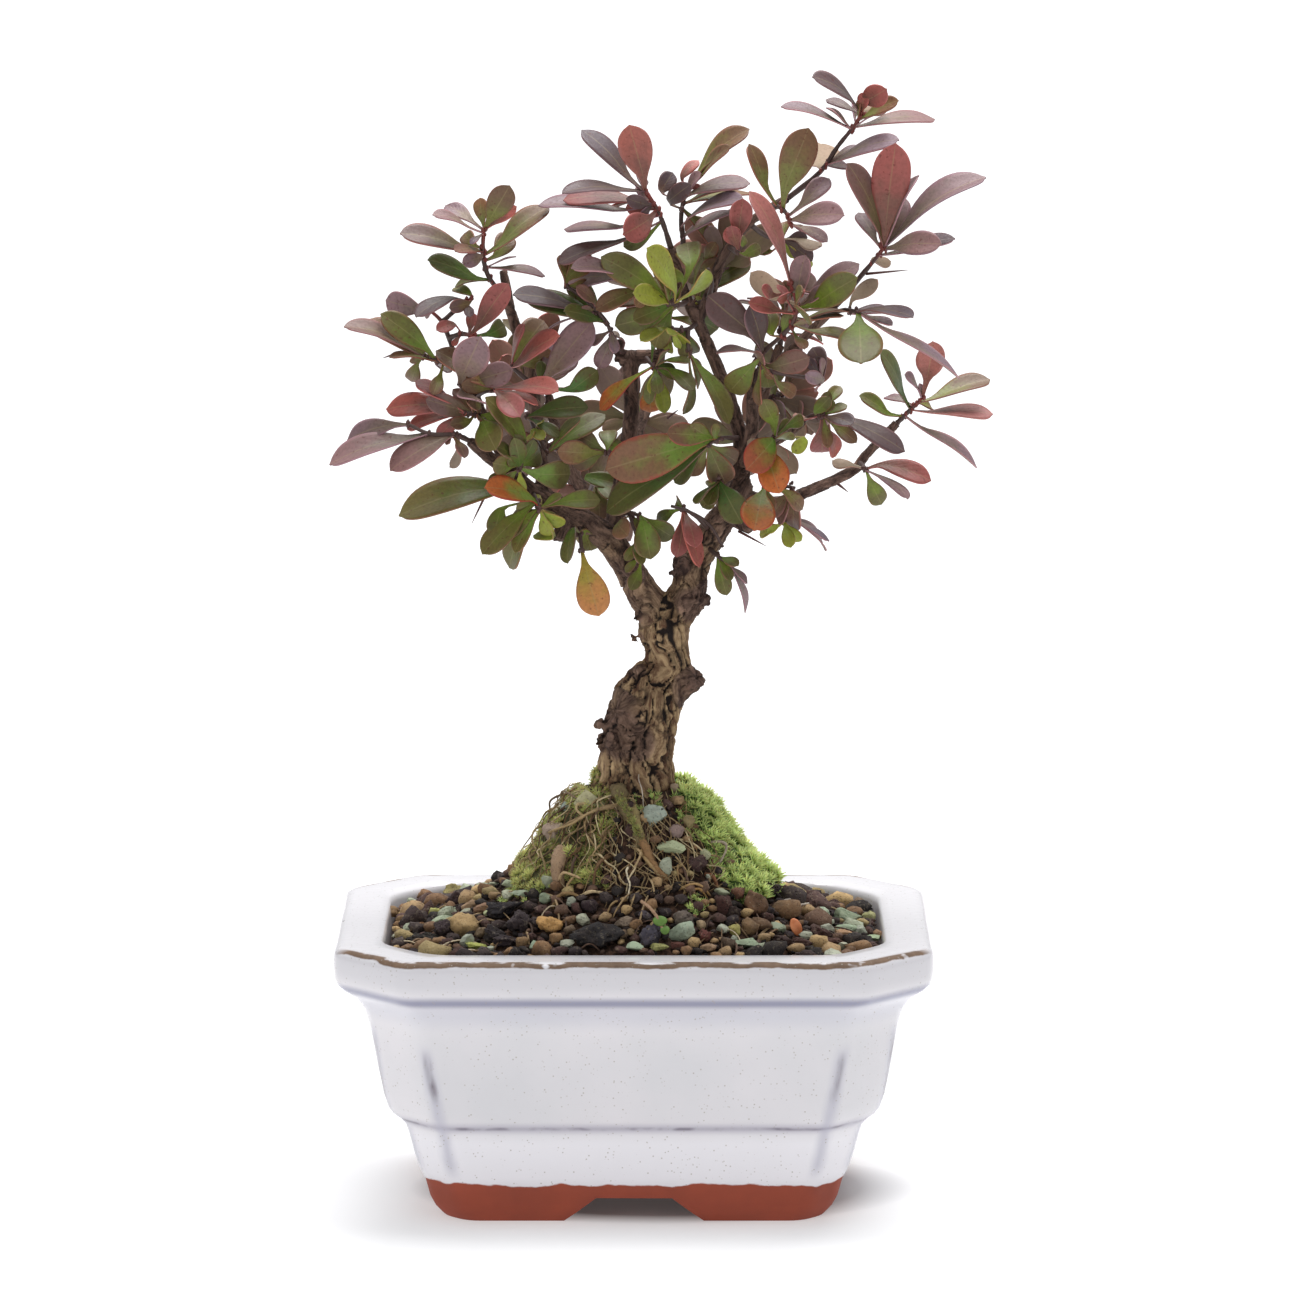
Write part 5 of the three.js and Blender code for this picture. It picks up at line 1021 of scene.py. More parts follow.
# %% Moss
MOSSES = {
    "moss_right": {"seed": 2, "tufts": 1150, "size": (1.7, 3.3), "deep": "#3d5617", "tip": "#d4ea84", "lift": 1.5,
                   "clump": 1.9, "thin": 1},
    "moss_left": {"seed": 3, "tufts": 1300, "size": (1.1, 2.2), "deep": "#4a4825", "tip": "#c2c66e", "lift": 0.2,
                  "clump": 1.3, "thin": 0.24},
}
MOSS_INNER = 12.6
MOSS_STRIPS, MOSS_ACROSS = 44, 18
SPARE_MOSS = [[531, 873, 7], [543, 884, 6], [520, 882, 5], [506, 899, 4], [752, 862, 5], [745, 874, 4], [788, 893, 4],
              [770, 884, 5], [683, 826, 4], [700, 905, 4], [692, 910, 3], [634, 812, 5], [655, 800, 4], [690, 800, 4]]
MOSSY_ROOT = [[619, 794], [622, 806], [630, 820], [637, 834], [641, 844]]
random.seed(43)
tuft = bmesh.new()
for k in range(9):
    blade = bmesh.new()
    bmesh.ops.create_cone(blade, cap_ends=True, segments=3, radius1=0.13, radius2=0, depth=1)
    bmesh.ops.translate(blade, vec=(0, 0, 0.42), verts=blade.verts)
    lean = 0 if k == 0 else random.uniform(0.4, 1.15)
    bmesh.ops.rotate(blade, cent=(0, 0, 0), matrix=Matrix.Rotation(lean, 3, "X"), verts=blade.verts)
    bmesh.ops.rotate(blade, cent=(0, 0, 0), matrix=Matrix.Rotation(k * 2.4, 3, "Z"), verts=blade.verts)
    join_in(tuft, blade)
tuft_pattern = pattern_from(tuft, "tuft_pattern")


def outer_edge(outer, angle, seed):
    return outer + 2.4 * math.sin(3.1 * angle + seed) + 1.2 * math.sin(7.3 * angle)


def add_tuft(bm, foot, slope, size, shade):
    """A tuft of blades that stands off the slope, dark at its foot."""
    way = (slope + Vector((0, 0, 0.35)) + random_way() * 0.28).normalized()
    turn = way.to_track_quat("Z", "Y") @ Quaternion((0, 0, 1), random.uniform(0, 6.28))
    verts, _ = add_copy(bm, tuft_pattern)
    ripe, light = bm.verts.layers.float["ripe"], bm.verts.layers.float["light"]
    for vertex in verts:
        vertex[ripe] = smoothstep(0.0, 0.9, vertex.co.length)
        vertex[light] = shade
        vertex.co = foot + turn @ (vertex.co * size)


def on_moss(name, u, v):
    """A place on a moss cushion: u runs round the mound, v down it. Its sides are rolled in."""
    moss = MOSSES[name]
    low, high, outer = MOSS_SPANS[name]
    angle = math.radians(lerp(low, high, u))
    r = lerp(MOSS_INNER, outer_edge(outer, angle, moss["seed"]) - 0.4, v)
    x, y = r * math.cos(angle), r * math.sin(angle) / MOUND_DEPTH_SCALE
    border = smoothstep(0, 0.09, min(u, 1 - u, v, 1 - v))
    swell = 0.5 + moss["clump"] * noise.noise(Vector((x, y, 0)) / 3.4) + 0.3 * noise.noise(Vector((x, y, 5)) / 1.6)
    return x, y, lerp(-0.9, moss["lift"] + swell, border)


for name, moss in MOSSES.items():
    bm = bmesh.new()
    ripe, light = bm.verts.layers.float.new("ripe"), bm.verts.layers.float.new("light")
    made = bmesh.ops.create_grid(bm, x_segments=MOSS_STRIPS, y_segments=MOSS_ACROSS, size=1)["verts"]
    for vertex in made:
        x, y, lift = on_moss(name, (vertex.co.x + 1) / 2, (vertex.co.y + 1) / 2)
        thin = noise.noise(Vector((x, y, 9)) / 4) > moss["thin"]
        vertex.co = Vector((x, y, ground(x, y))) + ground_normal(x, y) * (lift - (1.5 if thin else 0))
        vertex[ripe], vertex[light] = 0, 0
    for _ in range(moss["tufts"]):
        u, v = random.uniform(-0.01, 1.01), random.random() ** 0.8
        x, y, lift = on_moss(name, u, v)
        if noise.noise(Vector((x, y, 9)) / 4) > moss["thin"]:
            continue
        # Tufts on the raised clumps are made lighter and those between them darker, by the same noise that raises the
        # clumps: painted light and shade, with a random part.
        clump = noise.noise(Vector((x, y, 0)) / 3.4)
        fresh = 0.5 + 1.1 * clump + random.gauss(0, 0.2)
        slope = ground_normal(x, y)
        foot = Vector((x, y, ground(x, y))) + slope * (lift - 0.1)
        add_tuft(bm, foot, slope, random.uniform(*moss["size"]) * (1 + 0.5 * clump), fresh)
    if name == "moss_right":
        for across, down, reach in SPARE_MOSS:
            foot = ground_seen_at(across, down)
            for _ in range(5 * reach):
                x, y = foot.x + random.gauss(0, reach / 4), foot.y + random.gauss(0, reach / 4)
                place = Vector((x, y, ground(x, y) + 0.1))
                add_tuft(bm, place, ground_normal(x, y), random.uniform(0.9, 1.8), random.uniform(0.1, 0.7))
    else:
        for point in smooth_path(along_ground(MOSSY_ROOT, 2.1), 14):
            for _ in range(2):
                place = point + random_way() * 0.9
                add_tuft(bm, place, ground_normal(point.x, point.y), random.uniform(0.7, 1.4), random.uniform(0, 0.5))
    skin, tree, shader = new_finish("fresh_moss" if name == "moss_right" else "old_moss")
    up = add(tree, "Attribute", {"attribute_name": "ripe"}).outputs["Fac"]
    shade = add(tree, "Attribute", {"attribute_name": "light"}).outputs["Fac"]
    fur = add(tree, "TexNoise", Vector=add(tree, "TexCoord").outputs["Object"], Scale=per_mm(2.5), Detail=3)
    lit = add(tree, "Math", {"operation": "MULTIPLY_ADD"}, s0=shade, s1=0.35, s2=up).outputs[0]
    lit = add(tree, "Math", {"operation": "MULTIPLY_ADD"}, s0=fur.outputs["Fac"], s1=0.5, s2=lit).outputs[0]
    lit = add(tree, "MapRange", Value=lit, From_Min=0.55, From_Max=1.35).outputs[0]
    colour = add(tree, "Mix", {"data_type": "RGBA"}, Factor=lit, s6=linear(moss["deep"]), s7=linear(moss["tip"]))
    tree.links.new(colour.outputs[2], shader.inputs["Base Color"])
    shader.inputs["Roughness"].default_value = 0.6
    shader.inputs["Subsurface Weight"].default_value = 0.12
    shader.inputs["Subsurface Scale"].default_value = 1 * MM
    cushion = new_piece(name.replace("moss", "moss_cushion"), bm, [skin], [name])
    print(name, len(cushion.data.polygons), "faces")

# %% [markdown]
# Small things tell the scale: a seedling with two round seed leaves by the front rim, and a curled scrap of an
# orange leaf. Each is a thin sheet with a thickness, bent one by one.

# %% Seedling and fallen leaf
SMALL_FINISHES = {
    "seedling_leaf": ("#4a6b22", "#6d9040", 0.45),
    "dry_orange_leaf": ("#c9632f", "#e39a6a", 0.55),
}
for name, (dark_chip, light_chip, roughness) in SMALL_FINISHES.items():
    _, tree, shader = new_finish(name)
    place = add(tree, "TexCoord").outputs["Object"]
    cells = add(tree, "TexNoise", Vector=place, Scale=per_mm(1.4), Detail=4).outputs["Fac"]
    colour = add(tree, "Mix", {"data_type": "RGBA"}, Factor=cells, s6=linear(dark_chip), s7=linear(light_chip))
    tree.links.new(colour.outputs[2], shader.inputs["Base Color"])
    shader.inputs["Roughness"].default_value = roughness
seedling_green, dry_orange = [bpy.data.materials[name] for name in SMALL_FINISHES]


def small_leaf(name, middle, size, tilt, curl, finish, slot):
    """A round leaf as a filled disc of rings, curled, tilted and given its thickness."""
    bm = bmesh.new()
    bmesh.ops.create_circle(bm, cap_ends=True, cap_tris=False, segments=16, radius=1)
    for share in (0.3, 0.3):
        bmesh.ops.inset_region(bm, faces=[f for f in bm.faces if len(f.verts) == 16], thickness=share)
    for vertex in bm.verts:
        x, y = vertex.co.x, vertex.co.y
        vertex.co = Vector((x * size[0], y * size[1], curl * (x * x + 0.6 * y * y * y) - 0.15 * abs(x)))
    bmesh.ops.rotate(bm, cent=(0, 0, 0), matrix=tilt.to_matrix(), verts=bm.verts)
    bmesh.ops.translate(bm, vec=middle, verts=bm.verts)
    piece = new_piece(name, bm, [finish], slot=slot)
    body = piece.modifiers.new("thickness", "SOLIDIFY")
    body.thickness, body.offset = 0.3 * MM, 0
    rounding = piece.modifiers.new("rounding", "SUBSURF")
    rounding.levels = rounding.render_levels = 1


sprout = ground_seen_at(657, 930) - Vector((0, 4.2, 0))
facing = Quaternion((1, 0, 0), math.radians(55))
small_leaf("seedling_leaf_upper", in_front_view(660, 921, sprout.y - 0.5), (2.0, 1.45), facing, 0.5, seedling_green, "moss_lime")
small_leaf("seedling_leaf_lower", in_front_view(665, 930, sprout.y - 1.2), (1.3, 1.3), facing, 0.4, seedling_green, "moss_lime")
stalk = [in_front_view(641, 901, sprout.y + 2.5), in_front_view(650, 908, sprout.y + 1), in_front_view(657, 917, sprout.y),
         in_front_view(660, 924, sprout.y - 0.5), in_front_view(664, 931, sprout.y - 1)]
bm = tube(smooth_path(stalk, 4), [0.42] * 17, sides=6)
bm.verts.layers.float_color.new("tone")
for vertex in bm.verts:
    vertex[bm.verts.layers.float_color["tone"]] = linear("#a8876a")
stalk_piece = new_piece("seedling_stalk", bm, [root_skin], slot="moss_lime")
scrap = ground_seen_at(796, 934)
small_leaf("fallen_leaf_scrap", Vector((scrap.x, scrap.y, ground(scrap.x, scrap.y) + 1.6)), (1.5, 2.6),
           Quaternion((1, 0, 0), math.radians(70)) @ Quaternion((0, 0, 1), 0.4), 1.2, dry_orange, "leaf_amber")
print("seedling and scrap set")

# %% Trunk, limbs, branches and stubs: [across, down, depth, radius]
TRUNK = [
    [634, 862, 3, 10.2], [634, 832, 2, 10.8], [633, 805, 0, 11.6], [634, 782, 0, 10.4],
    [637, 755, -1, 9.4],
    [641, 725, -1, 9.2], [648, 703, -1, 9.3], [658, 685, 0, 7.9], [667, 667, 0, 6.1], [667, 648, 0, 5.7],
    [664, 630, 0, 6.6], [666, 612, 0, 6.6],
]

BRANCHES = {
    "limb_left": [
        [660, 617, 0, 5.2], [644, 594, -1, 4.3], [627, 564, -3, 3.9], [606, 538, -4, 3.6],
        [580, 519, -5, 3.3],
        [553, 504, -7, 2.9], [529, 490, -9, 2.4], [508, 470, -12, 2], [488, 456, -15, 1.7],
        [470, 441, -18, 1.3],
    ],
    "limb_right": [
        [674, 615, 0, 5.2], [688, 592, 1, 4.6], [692, 570, 2, 4.4], [702, 549, 2, 4.2],
        [716, 527, 1, 3.8],
        [733, 503, 0, 3.4], [744, 482, -1, 2.8],
    ],
    "leader": [
        [612, 543, -4, 2.6], [618, 505, 0, 2.5], [625, 460, 2, 2.4], [631, 420, 2, 2.1], [631, 385, 1, 2],
        [631, 356, 0, 2.1],
    ],
    "left_riser": [
        [545, 499, -8, 2], [541, 462, -4, 1.9], [537, 420, 2, 1.8], [530, 370, 5, 1.7],
        [518, 335, 3, 1.5],
        [511, 312, 1, 1.4], [504, 296, -2, 1.2],
    ],
    "far_left": [[508, 470, -12, 1.5], [488, 425, -10, 1.4], [468, 380, -8, 1.3], [455, 356, -8, 1.2]],
    "centre_right": [
        [742, 487, -1, 2.6], [741, 460, 0, 2.2], [739, 430, 0, 2], [727, 392, 0, 1.8], [711, 352, 0, 1.7],
        [698, 322, -1, 1.6], [686, 297, -2, 1.5], [678, 272, -2, 1.4], [671, 248, -3, 1.3],
    ],
    "diagonal": [
        [698, 322, -1, 1.5], [714, 284, 0, 1.5], [721, 260, 0, 1.4], [739, 233, -1, 1.3],
        [761, 214, -3, 1.2],
        [788, 198, -5, 1.2],
    ],
    "inner_right": [[746, 462, -2, 2], [752, 430, -4, 1.8], [752, 385, -8, 1.5], [751, 368, -11, 1.3]],
    "right_climb": [[752, 400, -7, 1.4], [780, 362, -8, 1.3], [814, 328, -11, 1.2], [836, 306, -12, 1.2]],
    "right_low": [
        [740, 495, -1, 2.3], [774, 503, 4, 1.8], [804, 493, 8, 1.6], [852, 471, 10, 1.5],
        [866, 455, 11, 1.3],
        [897, 423, 12, 1.2],
    ],
    "right_mid": [[748, 470, -3, 1.9], [768, 446, -3, 1.5], [790, 432, -1, 1.3], [804, 420, 0, 1.2]],
    "back_left": [
        [627, 564, -3, 2.6], [610, 540, 10, 2.2], [588, 500, 20, 1.9], [562, 450, 27, 1.6],
        [548, 395, 31, 1.3],
    ],
    "back_right": [
        [716, 527, 1, 2.6], [726, 500, 14, 2.1], [742, 455, 24, 1.8], [762, 400, 31, 1.5],
        [780, 345, 34, 1.3],
    ],
    "back_middle": [[625, 460, 2, 1.9], [640, 425, 14, 1.6], [656, 380, 24, 1.4], [664, 330, 30, 1.3]],
}

STUBS = [
    [[632, 722, -3, 5.6], [615, 710, -6, 3.6]],
    [[680, 686, 0, 4], [697, 677, -3, 3]],
    [[688, 602, 0, 4.6], [701, 590, 0, 3.2]],
    [[692, 572, 2, 3.6], [678, 559, -1, 2.2]],
    [[566, 512, -6, 2.8], [560, 541, -9, 2]],
    [[728, 512, 0, 3], [752, 529, -3, 1.9]],
    [[620, 357, 0, 1.9], [659, 357, 0, 1.9]],
    [[511, 312, 1, 1.4], [503, 270, 3, 1.2]],
    [[620, 556, -3, 3], [636, 577, -6, 2.2]],
]
KNOBBLY = [[618, 735, -9, 6.5], [606, 730, -6, 5], [636, 744, -11, 5], [602, 742, -2, 3.6], [696, 680, -2, 3.2],
           [690, 604, -2, 4.4], [704, 598, 0, 3.0], [640, 576, -6, 2.0], [558, 534, -8, 2.4], [620, 357, 0, 2.6],
           [654, 358, 0, 2.4], [636, 617, -3, 1.8], [634, 638, -3, 2.2], [638, 673, -4, 2.4], [673, 570, -3, 2.2]]
print(len(BRANCHES), "branches and", len(STUBS), "stubs")

# %% [markdown]
# Old barberry wood is ridged: dark fissures flow along it and part it into long, pale plates. Tubes laid
# through each other would meet in creases, so a voxel remesh fuses them into one skin, as the real wood grew.
# Then every point of the skin is moved: pressed in along the fissures and raised on the plates. The same
# pattern is kept as an attribute, so that colour and relief agree.

# %% One rough skin of trunk and branches
VOXEL = 0.5
WOOD_STEP = 1.0


def path_of(route):
    """Points about a millimetre apart along a branch, with the radius at each."""
    places = [in_front_view(*row[:3]) for row in route]
    longest = max((b - a).length for a, b in zip(places, places[1:]))
    steps = max(2, round(longest / WOOD_STEP))
    points = smooth_path(places, steps)
    radii = [lerp(a[3], b[3], k / steps) for a, b in zip(route, route[1:]) for k in range(steps)]
    return points, radii + [route[-1][3]]


random.seed(11)
bm = bmesh.new()
samples = []
for route in [TRUNK, *BRANCHES.values(), *STUBS]:
    points, radii = path_of(route)
    join_in(bm, tube(points, radii, sides=16 if radii[0] > 4 else 9))
    run = 0
    side = Vector((0.1, 1, 0.2))
    for i, (point, radius) in enumerate(zip(points, radii)):
        ahead = (points[min(i + 1, len(points) - 1)] - points[max(i - 1, 0)]).normalized()
        side = (side - ahead * side.dot(ahead)).normalized()
        samples.append((point, radius, run, side.copy(), ahead.cross(side)))
        run += (points[min(i + 1, len(points) - 1)] - point).length
for across, down, depth, size in KNOBBLY:
    middle = in_front_view(across, down, depth)
    for _ in range(9):
        way = Vector([random.uniform(-1, 1) for _ in range(3)]).normalized()
        knob = bmesh.new()
        bmesh.ops.create_icosphere(knob, subdivisions=2, radius=random.uniform(0.16, 0.32) * size)
        bmesh.ops.translate(knob, vec=middle + way * size * 0.5, verts=knob.verts)
        join_in(bm, knob)
wood = new_piece("wood_skin", bm, [], ["wood"])
fuse = wood.modifiers.new("fuse", "REMESH")
fuse.mode, fuse.voxel_size = "VOXEL", VOXEL * MM
skin = bpy.data.meshes.new_from_object(wood.evaluated_get(bpy.context.evaluated_depsgraph_get()))
wood.modifiers.clear()
wood.data = skin
print("fused wood:", len(skin.vertices), "vertices from", len(samples), "centre points")

# %% Fissures and ridges
PLATE, RIDGE = Vector((4.4, 4.4, 24)), Vector((1.25, 1.25, 5.5))
tree_of_centres = kdtree.KDTree(len(samples))
for i, sample in enumerate(samples):
    tree_of_centres.insert(sample[0], i)
tree_of_centres.balance()
SHADED = [(in_front_view(*row[:3]), row[3] * 1.25) for row in KNOBBLY]


def crack_in(grain, cell, narrow, wide):
    """One in the fissures between the cells of a stretched pattern, nought on the plates."""
    place = Vector((grain.x / cell.x, grain.y / cell.y, grain.z / cell.z))
    near = noise.voronoi(place)[0]
    return 1 - smoothstep(narrow, wide, near[1] - near[0])


cracks, ages, grains, moved = [], [], [], []
for vertex, normal in [(v.co.copy(), v.normal.copy()) for v in skin.vertices]:
    place = OUT_OF_FRAME @ vertex
    found = [samples[i] for _, i, _ in tree_of_centres.find_n(place, 6)]
    centre, radius, run, side, other = min(found, key=lambda row: (row[0] - place).length - row[1])
    out = place - centre
    angle = math.atan2(out.dot(other), out.dot(side)) + 0.028 * run
    bend = noise.noise_vector(place / 8) * 3.2 + noise.noise_vector(place / 2.4) * 0.5
    reach = max(radius, 1.6)
    grain = Vector((reach * math.cos(angle) + bend.x, reach * math.sin(angle) + bend.y, run + 3 * bend.z))
    long = crack_in(grain, PLATE, 0.015, 0.1)
    short = crack_in(grain, RIDGE, 0.05, 0.4) * smoothstep(-0.25, 0.3, noise.noise(place / 5 + Vector((9, 0, 0))))
    size = smoothstep(1, 7, radius)
    ridge = noise.fractal(Vector((grain.x / 1.7, grain.y / 1.7, grain.z / 8)), 0.8, 2.0, 4)
    swell = 0.9 * noise.noise(Vector((grain.x / 6, grain.y / 6, grain.z / 20)))
    dark = smoothstep(0, 0.35, max(1 - (place - spot).length / far for spot, far in SHADED))
    knobs = dark * (noise.noise(place / 0.9) * 0.55 + noise.noise(place / 2) * 0.5)
    depth = lerp(0.12, 0.6, size) * (ridge * 0.75 - 1.3 * long - 0.6 * short) + size * swell + knobs
    moved.extend(vertex + normal * MM * depth)
    cracks.append(max(long, 0.6 * short) * lerp(0.6, 1, size))
    ages.append(smoothstep(2.6, 6.4, radius + 1.2 * noise.noise(place / 7)) * (1 - 0.85 * dark))
    grains.extend((grain * MM)[:])
skin.vertices.foreach_set("co", moved)
skin.attributes.new("crack", "FLOAT", "POINT").data.foreach_set("value", cracks)
skin.attributes.new("age", "FLOAT", "POINT").data.foreach_set("value", ages)
skin.attributes.new("grain", "FLOAT_VECTOR", "POINT").data.foreach_set("vector", grains)
for polygon in skin.polygons:
    polygon.use_smooth = True
print("deepest fissures cover", round(sum(c > 0.5 for c in cracks) / len(cracks) * 100), "% of the skin")

# %% Bark
bark, tree, shader = new_finish("barberry_bark")
grain = add(tree, "Attribute", {"attribute_name": "grain"}).outputs["Vector"]
crack = add(tree, "Attribute", {"attribute_name": "crack"}).outputs["Fac"]
age = add(tree, "Attribute", {"attribute_name": "age"}).outputs["Fac"]
drawn = add(tree, "Mapping", Vector=grain, Scale=(1, 1, 0.24)).outputs[0]
fibres = add(tree, "TexNoise", Vector=drawn, Scale=per_mm(0.7), Detail=6, Roughness=0.72).outputs["Fac"]
ridges = add(tree, "TexNoise", Vector=drawn, Scale=per_mm(1.9), Detail=4, Roughness=0.6).outputs["Fac"]
patches = add(tree, "TexNoise", Vector=drawn, Scale=per_mm(7), Detail=3).outputs["Fac"]
light = add(tree, "Math", {"operation": "MULTIPLY_ADD"}, s0=fibres, s1=0.6, s2=ridges).outputs[0]
light = add(tree, "MapRange", Value=light, From_Min=0.66, From_Max=0.98).outputs[0]
old = add(tree, "Mix", {"data_type": "RGBA"}, Factor=light, s6=linear("#5c402e"), s7=linear("#c2a57d")).outputs[2]
damp = add(tree, "MapRange", Value=patches, From_Min=0.5, From_Max=0.7, To_Max=0.75).outputs[0]
old = add(tree, "Mix", {"data_type": "RGBA"}, Factor=damp, s6=old, s7=linear("#563b2b")).outputs[2]
young = add(tree, "Mix", {"data_type": "RGBA"}, Factor=light, s6=linear("#3a2a25"), s7=linear("#84695c")).outputs[2]
rust = add(tree, "MapRange", Value=fibres, From_Min=0.62, From_Max=0.7, To_Max=0.5).outputs[0]
fissure = add(tree, "MapRange", Value=crack, From_Min=0.25, From_Max=0.8).outputs[0]
colour = young
for layer, share in ((old, age), (linear("#7d4030"), rust), (linear("#1c120e"), fissure)):
    colour = add(tree, "Mix", {"data_type": "RGBA"}, Factor=share, s6=colour, s7=layer).outputs[2]
tree.links.new(colour, shader.inputs["Base Color"])
shader.inputs["Roughness"].default_value = 0.85
shader.inputs["Specular IOR Level"].default_value = 0.3
tree.links.new(add(tree, "Bump", Height=light, Strength=0.8, Distance=0.4 * MM).outputs[0], shader.inputs["Normal"])
skin.materials.clear()
skin.materials.append(bark)
print("bark from", len(tree.nodes), "nodes")

# %% Moss on the trunk's foot
FOOT_MOSS_LEVEL, FOOT_TUFTS = 102, 420
random.seed(59)
mossy = []
for vertex in skin.vertices:
    place = OUT_OF_FRAME @ vertex.co
    level = FOOT_MOSS_LEVEL + 8 * smoothstep(2, 13, -place.x) + 3 * noise.noise(place / 4)
    if place.z < level and place.x < 0 and place.xy.length < 20:
        mossy.append((place, vertex.normal.copy()))
bm = bmesh.new()
bm.verts.layers.float.new("ripe"), bm.verts.layers.float.new("light")
for place, normal in random.sample(mossy, min(FOOT_TUFTS, len(mossy))):
    add_tuft(bm, place, normal, random.uniform(1.1, 2.3), random.uniform(0.2, 1.1))
new_piece("moss_on_trunk_foot", bm, [bpy.data.materials["old_moss"]], slot=SLOTS["moss_left"])
print(len(mossy), "points of the foot are mossy")

# %% [markdown]
# A barberry bears its leaves in rosettes on short shoots. Each row gives a leaf's base and tip in
# the front view, the width seen there and its look. How far a leaf leans out of the view isn't seen. The
# solids settle that by trying turns and slopes in a fixed order and keeping the first that is free. The same
# order is walked here, and the try whose tip is a corner of the imported solid is the one that it kept.

